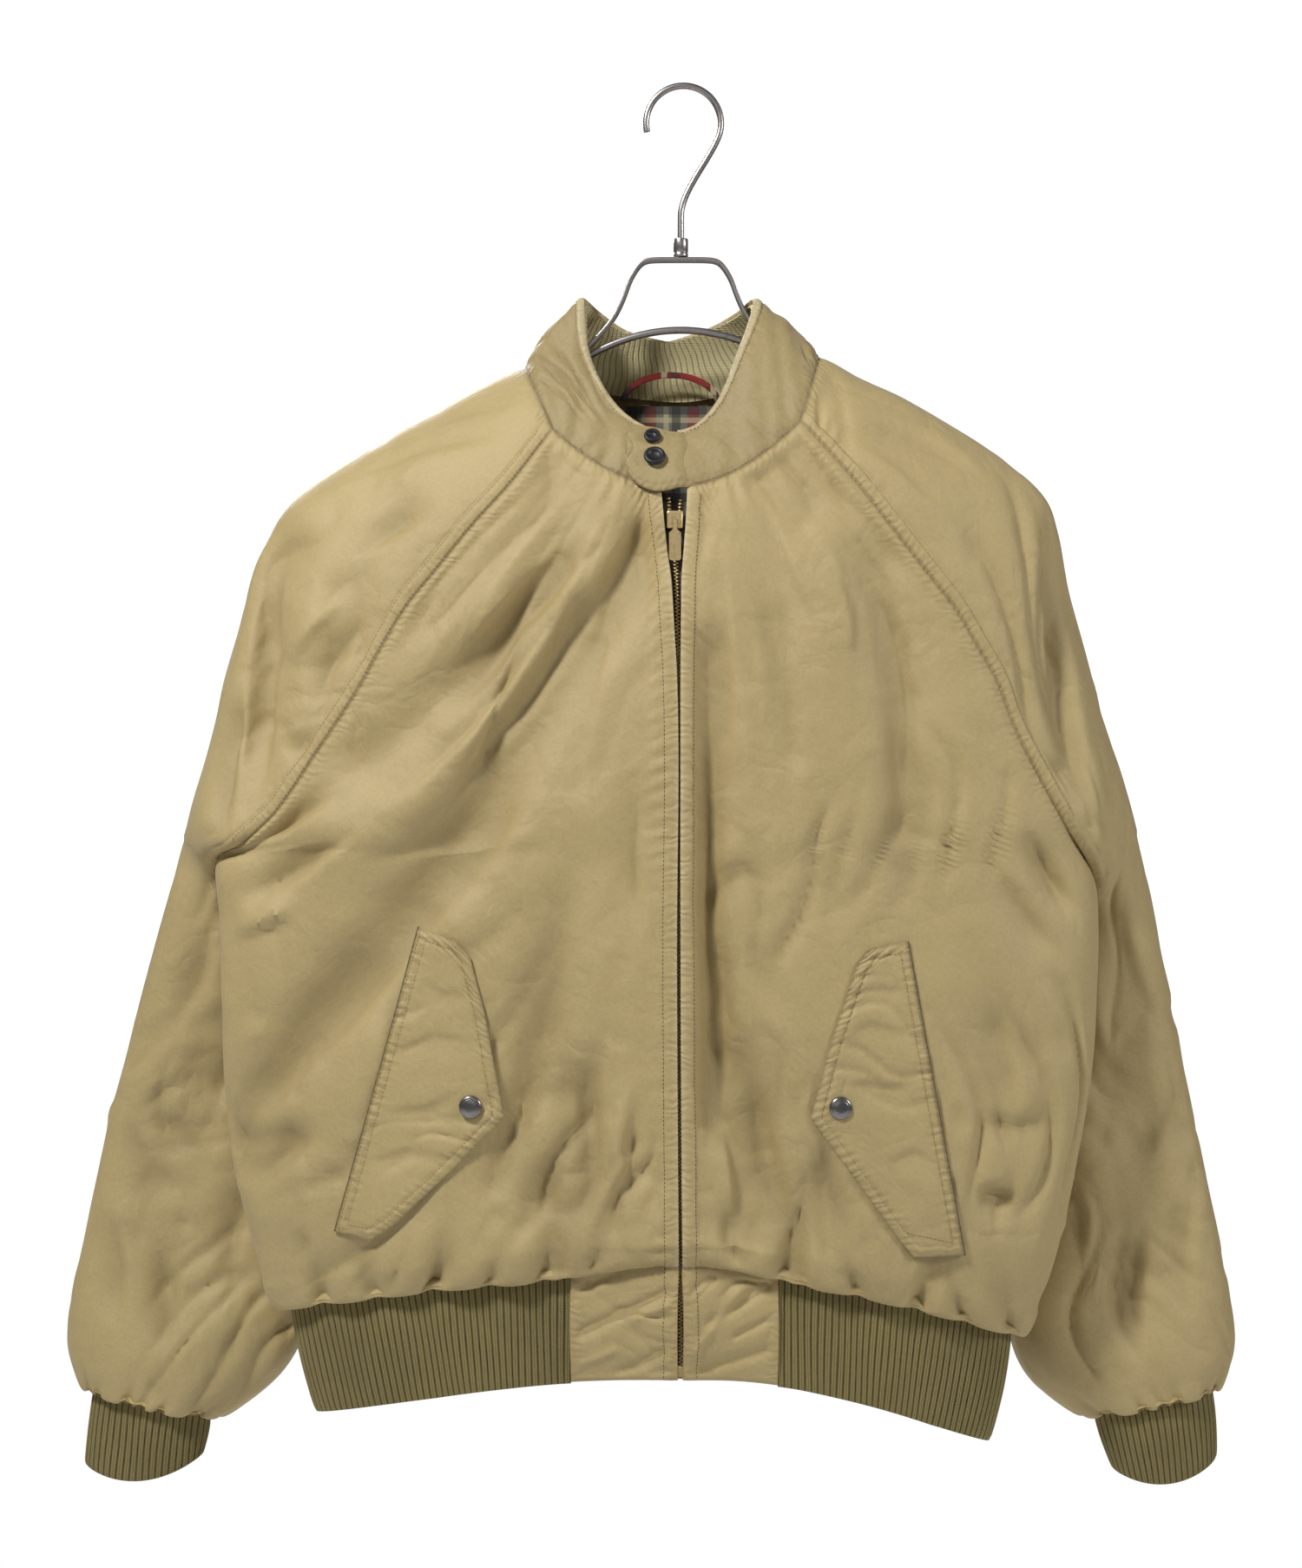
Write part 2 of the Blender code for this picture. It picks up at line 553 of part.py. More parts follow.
# Drop of the top edge by the way round: degrees from the back centre (-90) over the side (0) to
# the front centre (90).
COLLAR_EDGE = ((-90, 0.1673, 0.1673), (-60, 0.160, 0.158), (-35, 0.149, 0.149), (-12, 0.143, 0.143),
               (2, 0.146, 0.146), (15, 0.170, 0.155), (36, 0.200, 0.181), (56, 0.2228, 0.2170),
               (73, 0.2345, 0.2345), (90, 0.2394, 0.2394))
COLLAR_EDGE_COLUMNS = ("degrees", "right", "left")


def collar_top(points):
    """The collar's top edge over points of the neck seam."""
    across = (points[:, 0] - NECK_MIDDLE[0]) / NECK_REACH[0]
    forward = -(points[:, 1] - NECK_MIDDLE[1]) / NECK_REACH[1]
    way = np.arctan2(forward, np.abs(across))
    degrees = np.degrees(way)
    x = COLLAR_MIDDLE[0] + np.sign(across) * COLLAR_TOP[0] * np.cos(way)
    y = COLLAR_MIDDLE[1] - COLLAR_TOP[1] * np.sin(way)
    knots = column(COLLAR_EDGE, COLLAR_EDGE_COLUMNS, "degrees")
    right = curve(knots, column(COLLAR_EDGE, COLLAR_EDGE_COLUMNS, "right"), degrees)
    left = curve(knots, column(COLLAR_EDGE, COLLAR_EDGE_COLUMNS, "left"), degrees)
    return np.stack([x, y, -np.where(across < 0, right, left)], axis=-1)


def collar_grid(foot, rows, swell=0.004):
    """Rows of points from the neck seam up to the top edge, a little rounded."""
    top = collar_top(foot)
    out = unit(np.cross(np.gradient(foot, axis=0), top - foot))
    out *= np.sign(np.sum(out * (foot - np.array([*NECK_MIDDLE, -0.22])), axis=1))[:, None]
    shares = np.linspace(0, 1, rows)
    return np.array([foot + (top - foot) * s + out * swell * sin(pi * s) for s in shares]), out


# --- Body panels and sleeves: grids, normals shared at the seams, walls ---
fronts = {side: body_panel(side, True) for side in SIDES}
back_halves = {side: body_panel(side, False) for side in SIDES}
sleeves = {side: sleeve_grid(side) for side in SIDES}
back = np.concatenate([back_halves["right"][:, ::-1], back_halves["left"][:, 1:]], axis=1)

front_normals = {side: grid_normals(fronts[side], np.array([0, -1.0, 0])) for side in SIDES}
back_normals = grid_normals(back, np.array([0, 1.0, 0]))
sleeve_normals = {}
for side in SIDES:
    middle = sleeves[side].mean(axis=1, keepdims=True)
    normals = grid_normals(sleeves[side], unit(sleeves[side] - middle))
    below = slice(RAGLAN_ROWS + 1, None)
    meeting = unit(normals[below, 0] + normals[below, -1])
    normals[below, 0] = meeting
    normals[below, -1] = meeting
    sleeve_normals[side] = normals

back_edge = {"right": 0, "left": 2 * BACK_COLUMNS}
for side in SIDES:
    above = slice(0, RAGLAN_ROWS)
    beneath = slice(RAGLAN_ROWS + 1, None)
    share_normals((front_normals[side], (above, -1)), (sleeve_normals[side], (above, 0)))
    share_normals((back_normals, (above, back_edge[side])), (sleeve_normals[side], (above, -1)))
    share_normals((front_normals[side], (beneath, -1)), (back_normals, (beneath, back_edge[side])))
    armpit = unit(np.array([SIDES[side] * 0.35, 0.0, -0.9]))
    front_normals[side][RAGLAN_ROWS, -1] = armpit
    back_normals[RAGLAN_ROWS, back_edge[side]] = armpit
    sleeve_normals[side][RAGLAN_ROWS, 0] = armpit
    sleeve_normals[side][RAGLAN_ROWS, -1] = armpit

# The neck seam, from the left front edge round the back to the right front edge.
neck_line = np.concatenate([fronts["left"][0], sleeves["left"][0, 1:], back[0, ::-1][1:],
                            sleeves["right"][0, ::-1][1:], fronts["right"][0, ::-1][1:]])
hem_line = np.concatenate([fronts["right"][-1], back[-1, 1:], fronts["left"][-1, ::-1][1:]])

# The collar and the panels below it share their normals along the neck seam.
collar, collar_out = collar_grid(neck_line, 4)
collar_normals = np.repeat(collar_out[None], 4, axis=0)
below_neck = np.concatenate([
    front_normals["left"][0], sleeve_normals["left"][0, 1:], back_normals[0, ::-1][1:],
    sleeve_normals["right"][0, ::-1][1:], front_normals["right"][0, ::-1][1:]])
collar_normals[0] = unit(collar_out + below_neck)
end_front, end_sleeve = FRONT_COLUMNS, FRONT_COLUMNS + SLEEVE_FRONT + SLEEVE_BACK
end_back = end_sleeve + 2 * BACK_COLUMNS
end_right_sleeve = end_back + SLEEVE_FRONT + SLEEVE_BACK
front_normals["left"][0] = collar_normals[0, :end_front + 1]
sleeve_normals["left"][0] = collar_normals[0, end_front:end_sleeve + 1]
back_normals[0] = collar_normals[0, end_sleeve:end_back + 1][::-1]
sleeve_normals["right"][0] = collar_normals[0, end_back:end_right_sleeve + 1][::-1]
front_normals["right"][0] = collar_normals[0, end_right_sleeve:][::-1]

for side in SIDES:
    for edge in ("first_row", "last_column"):
        pull_from_edge(fronts[side], front_normals[side], edge)
    wall_object("front_" + side, fronts[side], inner_wall(fronts[side], front_normals[side]), shell)
    grid, normals = sleeves[side], sleeve_normals[side]
    top = slice(0, RAGLAN_ROWS + 1)
    for edge in ("first_column", "last_column"):
        moved = grid[top].copy()
        pull_from_edge(moved, normals[top], edge)
        grid[top] = moved
    pull_from_edge(grid, normals, "first_row")
    armpit_point = (grid[RAGLAN_ROWS, 0] + grid[RAGLAN_ROWS, -1]) / 2
    armpit_point += np.array([SIDES[side] * 0.93, 0, 0.37]) * ARMPIT_CLEARANCE
    grid[RAGLAN_ROWS, 0] = armpit_point
    grid[RAGLAN_ROWS, -1] = armpit_point
    wall_object("sleeve_" + side, grid, inner_wall(grid, normals), shell, joined_from=RAGLAN_ROWS)
for edge in ("first_row", "first_column", "last_column"):
    pull_from_edge(back, back_normals, edge)
wall_object("back", back, inner_wall(back, back_normals), shell)

# --- Collar ---
pull_from_edge(collar, collar_normals, "first_row")
wall_object("collar", collar, inner_wall(collar, collar_normals), shell)

# --- Inner knit of the collar, ribbed on the side that faces the neck ---
LINING_THICKNESS = 0.0010
LINING_RIB = 0.0007
LINING_PITCH = 0.0058
LINING_SPAN = (0.10, 0.97)      # how far up the collar it starts and ends
lining_depth = WALL + 3 * SEAM_GAP + LINING_RIB + LINING_THICKNESS
inset_ends = slice(1, -1)
lining_out = collar_out[inset_ends].copy()
lining_foot, lining_top = (
    (collar[0] * (1 - share) + collar[-1] * share - collar_out * lining_depth)[inset_ends]
    for share in LINING_SPAN)
for line in [lining_foot, lining_top, lining_out] * 3:    # eases the corner at each shoulder
    line[1:-1] = (line[:-2] + 2 * line[1:-1] + line[2:]) / 4
lining_out = unit(lining_out)
ribbed_strip("collar_lining", lining_top, lining_foot, -lining_out, rib_knit, LINING_THICKNESS,
             pitch=LINING_PITCH, rib=LINING_RIB, bulge=-0.0035)

# --- Hem: two cloth panels beside the zip, and the rib round the rest ---
HEM_INSET = 0.0004
HEM_DRAWN_IN = 0.93      # depth of the rib's lower edge over that of the seam
hem_length = lengths_along(hem_line)


def hem_place(side):
    """Length along the hem seam where the cloth panel ends."""
    sign = SIDES[side]
    front = slice(None, FRONT_COLUMNS + 1) if side == "right" else slice(-1, -FRONT_COLUMNS - 2, -1)
    return float(np.interp(HEM_PANEL_END[side], sign * hem_line[front, 0], hem_length[front]))


def hem_part(start, end):
    """The hem seam between two places, with its own corners kept, and outward directions."""
    inner = hem_length[(hem_length > start + 0.002) & (hem_length < end - 0.002)]
    points = along_path(hem_line, np.concatenate([[start], inner, [end]]))
    tangents = np.gradient(points, axis=0)
    out = unit(np.cross(np.array([0, 0, 1.0]), tangents))
    return points, out


def below_hem(points):
    """The lower edge of the rib: drawn in a little and hanging down."""
    lower = points + np.array([0, 0, -HEM_RIB_LENGTH])
    beside_panel = np.clip((np.abs(points[:, 0]) - 0.075) / 0.1, 0, 1)
    drawn_in = np.where(points[:, 1] < -0.03, beside_panel, 1)
    lower[:, 0] *= 1 - 0.065 * drawn_in
    lower[:, 1] *= HEM_DRAWN_IN
    return lower


right_end, left_end = hem_place("right"), hem_place("left")
for side, span in (("right", (0.0, right_end)), ("left", (left_end, float(hem_length[-1])))):
    seam, out = hem_part(*span)
    if side == "right":
        seam[-1] += unit(seam[-2] - seam[-1]) * SEAM_GAP
    else:
        seam[0] += unit(seam[1] - seam[0]) * SEAM_GAP
    seam = seam - out * HEM_INSET
    seam[:, 2] -= SEAM_GAP
    lower = below_hem(seam)
    lower[:, 0] = seam[:, 0]
    lower[0 if side == "right" else -1, 0] += SIDES[side] * 0.0008
    lower[:, 2] += 0.001
    shares = np.linspace(0, 1, 5)
    grid = np.array([seam * (1 - s) + lower * s + out * 0.004 * sin(pi * s) for s in shares])
    wall_object("hem_panel_" + side, grid, grid - out[None] * WALL, shell)

seam, out = hem_part(right_end, left_end)
seam = seam - out * HEM_INSET
seam[:, 2] -= SEAM_GAP
ribbed_strip("hem_rib", seam, below_hem(seam), out, rib_knit, RIB_THICKNESS, bulge=0.002)

# --- Cuffs: closed ribbed tubes under the sleeves ---
for side in SIDES:
    sign = SIDES[side]
    seam = sleeves[side][-1].copy()
    centre = seam[:-1].mean(axis=0)
    tangents = (np.roll(seam[:-1], -1, axis=0) - np.roll(seam[:-1], 1, axis=0))
    tangents = np.vstack([tangents, tangents[:1]])
    out = unit(np.cross(tangents, np.array([0, 0, 1.0])))
    out *= np.sign(np.sum(out * (seam - centre), axis=1))[:, None]
    seam = seam - out * HEM_INSET
    seam[:, 2] -= SEAM_GAP
    ends = CUFF_END[side]
    x_outer, x_inner = sign * ends["outer"][0], sign * ends["inner"][0]
    share = (seam[:, 0] - seam[:, 0].min()) / np.ptp(seam[:, 0])
    share = share if sign > 0 else 1 - share
    lower = seam.copy()
    lower[:, 0] = x_inner + (x_outer - x_inner) * share
    depth = seam[:, 1] - centre[1]
    lower[:, 1] = centre[1] + depth * CUFF_HALF_DEPTH / np.abs(depth).max()
    straight = ends["inner"][1] + (ends["outer"][1] - ends["inner"][1]) * share
    sag = ends["middle"] - (ends["inner"][1] + ends["outer"][1]) / 2
    lower[:, 2] = -(straight + sag * 4 * share * (1 - share))
    ribbed_strip("cuff_" + side, seam, lower, out, rib_knit, RIB_THICKNESS, bulge=0.001, closed=True)


# --- Pocket flaps: four-sided rows laid on the fronts, with a pointed side and a snap ---
FLAP_LIFT = 0.0022
FLAP_THICKNESS = 0.0024
FLAP_ROWS = 15
SNAP_RADIUS = 0.0075
SNAP_HEIGHT = 0.0028
SNAP_SIDES = 20
FLAPS = {   # straight sewn edge (top, bottom), then the free edge from top to bottom, as (x, drop)
    "right": {"sewn": ((-0.1738, 0.5672), (-0.2297, 0.7675)),
              "free": ((-0.1481, 0.5763), (-0.1400, 0.5860), (-0.1303, 0.6231), (-0.1184, 0.6916),
                       (-0.1540, 0.7280), (-0.1904, 0.7626), (-0.2050, 0.7722)),
              "snap": (-0.1395, 0.6842)},
    "left": {"sewn": ((0.1465, 0.5763), (0.1838, 0.7828)),
             "free": ((0.1208, 0.5814), (0.1123, 0.5920), (0.0960, 0.6400), (0.0820, 0.6916),
                      (0.1120, 0.7330), (0.1400, 0.7720), (0.1494, 0.7828)),
             "snap": (0.1014, 0.6848)},
}


def on_front(x, drop, lift):
    """Points of the front's outer surface, moved out along its normal."""
    x, drop = np.asarray(x, float), np.asarray(drop, float)
    small = 0.002
    slope_x = (front_y(x + small, drop) - front_y(x - small, drop)) / (2 * small)
    slope_z = -(front_y(x, drop + small) - front_y(x, drop - small)) / (2 * small)
    normal = unit(np.stack([slope_x, -np.ones_like(slope_x), slope_z], axis=-1))
    return np.stack([x, front_y(x, drop), -drop], axis=-1) + normal * lift, normal


for side, flap in FLAPS.items():
    free = np.array(flap["free"])
    steps = lengths_along(free)
    at = np.sort(np.append(np.linspace(0, steps[-1], FLAP_ROWS - 1), steps[3]))
    free_x, free_drop = np.interp(at, steps, free[:, 0]), np.interp(at, steps, free[:, 1])
    share = at / steps[-1]
    (top_x, top_drop), (low_x, low_drop) = flap["sewn"]
    across = np.linspace(0, 1, 6)[None, :]
    sewn_x, sewn_drop = top_x + (low_x - top_x) * share, top_drop + (low_drop - top_drop) * share
    x = sewn_x[:, None] * (1 - across) + free_x[:, None] * across
    drop = sewn_drop[:, None] * (1 - across) + free_drop[:, None] * across
    under, normal = on_front(x, drop, FLAP_LIFT)
    wall_object("pocket_flap_" + side, under + normal * FLAP_THICKNESS, under, shell)
    foot, normal = on_front(*flap["snap"], FLAP_LIFT + FLAP_THICKNESS + 0.0006)
    turned = Vector(normal).to_track_quat("Z", "Y").to_matrix().to_4x4()
    dome = bmesh.new()
    loops = []
    for share, level in ((0.93, 0.0), (1.0, 0.22), (0.97, 0.43), (0.80, 0.80), (0.45, 0.97)):
        radius = SNAP_RADIUS * share
        loops.append([dome.verts.new((radius * cos(a), radius * sin(a), SNAP_HEIGHT * level))
                      for a in np.linspace(0, 2 * pi, SNAP_SIDES, endpoint=False)])
    dome.faces.new(loops[0][::-1])
    dome.faces.new(loops[-1])
    for low, high in zip(loops[:-1], loops[1:]):
        for n in range(SNAP_SIDES):
            m = (n + 1) % SNAP_SIDES
            dome.faces.new((low[n], low[m], high[m], high[n]))
    dome.transform(Matrix.Translation(Vector(foot)) @ turned)
    mesh = bpy.data.meshes.new("snap_" + side)
    dome.to_mesh(mesh)
    dome.free()
    mesh.materials.append(gunmetal)
    mesh.shade_smooth()
    mesh.set_sharp_from_angle(angle=radians(40))
    snap = bpy.data.objects.new("snap_" + side, mesh)
    bpy.context.scene.collection.objects.link(snap)

# --- Collar tab with its rounded end, and two buttons ---
TAB_LIFT = 0.0022
TAB_THICKNESS = 0.0022
TAB_ROUNDING = 0.004
TAB_OUTLINE_COLUMNS = ("x", "low", "high")       # low and high: share of the way up the collar
TAB_OUTLINE = ((-0.0385, 0.30, 0.62), (-0.0375, 0.10, 0.80), (-0.0345, -0.02, 0.91),
               (-0.0290, -0.10, 0.97), (-0.0200, -0.14, 0.98), (-0.0110, -0.12, 0.94),
               (-0.0030, -0.06, 0.90), (0.0060, -0.02, 0.84), (0.0150, 0.00, 0.78))
front_half = neck_line[np.abs(neck_line[:, 0] - NECK_MIDDLE[0]) < 0.075]
front_half = front_half[front_half[:, 1] < -0.03]
front_half = front_half[np.argsort(front_half[:, 0])]
tab_x, tab_low, tab_high = (column(TAB_OUTLINE, TAB_OUTLINE_COLUMNS, name)
                            for name in TAB_OUTLINE_COLUMNS)
tab_foot = np.stack([np.interp(tab_x, front_half[:, 0], front_half[:, axis]) for axis in range(3)],
                    axis=-1)
tab_foot[:, 0] = tab_x
tab_top = collar_top(tab_foot)
tab_out = unit(np.cross(tab_top - tab_foot, np.array([1.0, 0, 0])))
tab_out *= -np.sign(tab_out[:, 1])[:, None]
shares = np.linspace(0, 1, 5)
tab = []
for s in shares:
    height = (tab_low + (tab_high - tab_low) * s)[:, None]
    rounded = TAB_ROUNDING * np.interp(height, (0, 1 / 3, 2 / 3, 1), (0, 0.866, 0.866, 0))
    level = tab_foot + (tab_top - tab_foot) * height
    level[:, 0] = tab_x
    tab.append(level + tab_out * (TAB_LIFT + rounded))
tab = np.array(tab)
wall_object("collar_tab", tab + tab_out * TAB_THICKNESS, tab, shell)

BUTTON_THICKNESS = 0.0022
BUTTONS = (("collar_button_lower", -0.0195, 0.36, 0.0010, 0.0072),
           ("collar_button_upper", -0.0210, 0.72, 0.0012, 0.0056))
for name, button_x, height, lift, radius in BUTTONS:
    place = [np.interp(button_x, tab_x, tab_foot[:, axis] * (1 - height) + tab_top[:, axis] * height)
             for axis in range(3)]
    place[0] = button_x
    normal = unit(np.array([np.interp(button_x, tab_x, tab_out[:, axis]) for axis in range(3)]))
    rounded = TAB_ROUNDING * sin(pi * height)
    foot = np.array(place) + normal * (TAB_LIFT + rounded + TAB_THICKNESS + lift)
    bpy.ops.mesh.primitive_cylinder_add(vertices=24, radius=radius, depth=BUTTON_THICKNESS)
    button = bpy.context.object
    button.name = name
    button.data.name = name
    button.location = Vector(foot + normal * BUTTON_THICKNESS / 2)
    button.rotation_euler = Vector(normal).to_track_quat("Z", "Y").to_euler()
    bevel = button.modifiers.new("edge", "BEVEL")
    bevel.width = 0.0005
    bevel.segments = 2
    bevel.limit_method = "ANGLE"
    button.data.materials.append(button_black)
    button.data.shade_smooth()
    button.data.set_sharp_from_angle(angle=radians(40))

# --- Zip: two tapes behind the front edges, slider, pull tab and bottom box ---
TAPE_WIDTH = 0.0105
TAPE_THICKNESS = 0.0007
TAPE_BEHIND = 0.0024
SLIDER_DROP = 0.3003
ZIP_SPAN = (0.290, 0.858)
hem_front_y = float(hem_line[0, 1])
for side in SIDES:
    sign = SIDES[side]
    drop = np.concatenate([np.linspace(ZIP_SPAN[0], 0.40, 8), np.linspace(0.44, ZIP_SPAN[1], 10)])
    middle = zip_at("middle_x", drop)
    apart = np.where(drop < SLIDER_DROP - 0.004, zip_at("half_gap", drop) - 0.0042, 0.0003)
    rows = []
    for share in (0.0, 0.35, 1.0):
        x = middle + sign * (apart + TAPE_WIDTH * share)
        low = np.clip((drop - 0.735) / 0.035, 0, 1)
        behind_hem = np.interp(drop, (0.788, 0.865), (hem_front_y, hem_front_y * HEM_DRAWN_IN))
        y = front_y(x, np.minimum(drop, 0.77)) * (1 - low) + behind_hem * low + WALL + TAPE_BEHIND
        rows.append(np.stack([x, y, -drop], axis=-1))
    tape = np.array(rows)
    wall_object("zip_tape_" + side, tape, tape + np.array([0, TAPE_THICKNESS, 0]), zip_cloth)

slider_x = float(zip_at("middle_x", SLIDER_DROP))
slider_face = float(front_y(slider_x, SLIDER_DROP))


def add_block(name, centre, size, finish, bevel_width):
    """A box with its edges rounded."""
    bpy.ops.mesh.primitive_cube_add(size=1)
    block = bpy.context.object
    block.name = name
    block.data.name = name
    block.data.transform(Matrix.Diagonal((*size, 1.0)))
    block.location = centre
    bevel = block.modifiers.new("edge", "BEVEL")
    bevel.width = bevel_width
    bevel.segments = 2
    bevel.limit_method = "ANGLE"
    block.data.materials.append(finish)
    return block


def cutter(made, location, rotation=(0, 0, 0)):
    """Hides a shape that only cuts or joins others."""
    made.location = location
    made.rotation_euler = rotation
    made.hide_render = True
    made.display_type = "WIRE"
    return made


SLIDER_SIZE = (0.0108, 0.0046, 0.0118)
LUG_SIZE = (0.0011, 0.0042, 0.0042)
slider = add_block("zip_slider", (slider_x, slider_face + 0.0006, -SLIDER_DROP), SLIDER_SIZE, brass, 0.0012)
bail_y = slider_face - 0.0040
bail_drop = SLIDER_DROP + 0.0005
for n, offset in enumerate((-0.0021, 0.0021)):
    lug = add_block("slider_lug_%d" % n, (slider_x + offset, bail_y + 0.0012, -bail_drop),
                    LUG_SIZE, brass, 0.0002)
    cutter(lug, lug.location)
    join = slider.modifiers.new("lug_%d" % n, "BOOLEAN")
    join.operation = "UNION"
    join.object = lug
bpy.ops.mesh.primitive_cylinder_add(vertices=12, radius=0.0007, depth=0.0048)
pin = cutter(bpy.context.object, (slider_x, bail_y, -bail_drop), (0, pi / 2, 0))
pin.name = "slider_pin"
join = slider.modifiers.new("pin", "BOOLEAN")
join.operation = "UNION"
join.object = pin

# The pull tab hangs from the slider's pin and swings on it; its origin is on the pin's axis.
PULL_LENGTH = 0.0265
PULL_HALF_WIDTH = 0.0039
PULL_THICKNESS = 0.0018
CHAMFER = 0.0012
half_outline = [(0.0013, 0.0019), (0.0013, -0.0060), (PULL_HALF_WIDTH, -0.0085),
                (PULL_HALF_WIDTH, -PULL_LENGTH + CHAMFER), (PULL_HALF_WIDTH - CHAMFER, -PULL_LENGTH)]
outline = half_outline + [(-x, z) for x, z in half_outline[::-1]]
plate = bmesh.new()
face = plate.faces.new([plate.verts.new((x, -PULL_THICKNESS / 2, z)) for x, z in outline])
grown = bmesh.ops.extrude_face_region(plate, geom=[face])
moved = [v for v in grown["geom"] if isinstance(v, bmesh.types.BMVert)]
bmesh.ops.translate(plate, vec=(0, PULL_THICKNESS, 0), verts=moved)
bmesh.ops.recalc_face_normals(plate, faces=plate.faces[:])
mesh = bpy.data.meshes.new("zip_pull")
plate.to_mesh(mesh)
plate.free()
mesh.materials.append(brass)
pull = bpy.data.objects.new("zip_pull", mesh)
bpy.context.scene.collection.objects.link(pull)
pull.location = (slider_x, bail_y, -bail_drop)
bpy.ops.mesh.primitive_cylinder_add(vertices=20, radius=0.0019, depth=0.0026)
eye = cutter(bpy.context.object, (slider_x, bail_y, -bail_drop), (0, pi / 2, 0))
eye.name = "pull_eye"
join = pull.modifiers.new("eye", "BOOLEAN")
join.operation = "UNION"
join.object = eye
bpy.ops.mesh.primitive_cylinder_add(vertices=16, radius=0.0011, depth=0.01)
hole = cutter(bpy.context.object, (slider_x, bail_y, -bail_drop), (0, pi / 2, 0))
hole.name = "pull_hole"
cut = pull.modifiers.new("hole", "BOOLEAN")
cut.operation = "DIFFERENCE"
cut.object = hole

# The box at the zip's lower end sits between the hem panels.
BOX_DROP = 0.8595
BOX_SIZE = (0.0016, 0.0030, 0.0090)
box_place = (float(zip_at("middle_x", 0.788)), hem_front_y * HEM_DRAWN_IN - 0.0005, -BOX_DROP)
add_block("zip_box", box_place, BOX_SIZE, brass, 0.0002)

# --- Hanger loop and the lining that shows below the back collar ---
CHECK_HALF_WIDTH = 0.080
CHECK_SPAN = (0.2120, 0.300)
CHECK_BEHIND = 0.0035            # clear space between the back's wall and the check cloth
CHECK_THICKNESS = 0.0010
x = np.linspace(-CHECK_HALF_WIDTH, CHECK_HALF_WIDTH, 9)[None, :] + NECK_MIDDLE[0]
drop = np.linspace(*CHECK_SPAN, 5)[:, None]
x, drop = np.broadcast_arrays(x, drop)
check = np.stack([x, back_y(x, drop) - WALL - CHECK_BEHIND, -drop], axis=-1)
wall_object("back_neck_lining", check, check - np.array([0, CHECK_THICKNESS, 0]), check_cloth)

LOOP_WIDTH = 0.0042
LOOP_THICKNESS = 0.0011
LOOP_MIDDLE = np.array([-0.0085, 0.0195, -0.2125])
LOOP_REACH = np.array([0.0330, 1.0, 0.0205])      # half width and height; Y is not used
angles = np.radians(np.linspace(8, 172, 13))[:, None]
round_loop = np.cos(angles) * np.array([-1, 0, 0]) + np.sin(angles) * np.array([0, 0, 1])
loop_middle = LOOP_MIDDLE + round_loop * LOOP_REACH
loop_out = unit(round_loop / LOOP_REACH)
loop_edges = np.array([loop_middle + loop_out * LOOP_WIDTH / 2, loop_middle - loop_out * LOOP_WIDTH / 2])
wall_object("hanger_loop", loop_edges, loop_edges + np.array([0, LOOP_THICKNESS, 0]), check_cloth)


# --- Hanger: hook, ferrule, flat bracket and the arched shoulder rod ---
def add_rod(name, points, radius):
    """A round bar along points, with flat ends."""
    data = bpy.data.curves.new(name, "CURVE")
    data.dimensions = "3D"
    spline = data.splines.new("POLY")
    spline.points.add(len(points) - 1)
    for place, point in zip(spline.points, points):
        place.co = (*point, 1.0)
    data.bevel_depth = radius
    data.bevel_resolution = 2
    data.use_fill_caps = True
    data.materials.append(steel)
    made = bpy.data.objects.new(name, data)
    bpy.context.scene.collection.objects.link(made)
    return made


HOOK_WIRE = 0.0023
HOOK_RADIUS = 0.0255
HOOK_MIDDLE = (0.0002, -0.0231)
HANGER_X = -0.0016
bend = [radians(a) for a in np.linspace(193, -22, 26)]
hook = [(HOOK_MIDDLE[0] + HOOK_RADIUS * cos(a), 0.0, HOOK_MIDDLE[1] + HOOK_RADIUS * sin(a)) for a in bend]
last = np.array(hook[-1])
heading = np.array([sin(bend[-1]), 0, -cos(bend[-1])])
stem_top = np.array([HANGER_X, 0, -0.086])
hook += [tuple(p) for p in arc(last, heading * 0.018, np.array([0, 0, -0.016]), stem_top, 12)[1:]]
hook.append((HANGER_X, 0.0, -0.1015))
add_rod("hanger_hook", hook, HOOK_WIRE)

FERRULE_RADIUS = 0.0050
FERRULE_LENGTH = 0.0128
FERRULE_TOP_DROP = 0.1018
bpy.ops.mesh.primitive_cylinder_add(vertices=24, radius=FERRULE_RADIUS, depth=FERRULE_LENGTH)
ferrule = bpy.context.object
ferrule.name = "hanger_ferrule"
ferrule.data.name = "hanger_ferrule"
ferrule.location = (HANGER_X, 0, -FERRULE_TOP_DROP - FERRULE_LENGTH / 2)
bevel = ferrule.modifiers.new("edge", "BEVEL")
bevel.width = 0.0008
bevel.segments = 2
bevel.limit_method = "ANGLE"
ferrule.data.materials.append(steel)

STRIP_THICKNESS = 0.0030
STRIP_DEPTH = 0.0090
half_path = np.array([
    (0.0, 0, -0.1164), (0.0210, 0, -0.1164), (0.0262, 0, -0.1182), (0.0300, 0, -0.1225),
    (0.0345, 0, -0.1300), (0.0385, 0, -0.1420), (0.0450, 0, -0.1560), (0.0570, 0, -0.1700),
    (0.0645, 0, -0.1772)])
path = np.concatenate([half_path[::-1] * [-1, 1, 1], half_path[1:]]) + [HANGER_X, 0, 0]
across = unit(np.cross(np.gradient(path, axis=0), np.array([0, 1.0, 0])))
across *= np.sign(np.sum(across * (path - np.array([HANGER_X, 0, -0.17])), axis=1))[:, None]
half_depth = np.array([0, STRIP_DEPTH / 2, 0])
strip = np.array([path - half_depth, path + half_depth])
half_strip = across * STRIP_THICKNESS / 2
wall_object("hanger_bracket", strip + half_strip, strip - half_strip, steel)

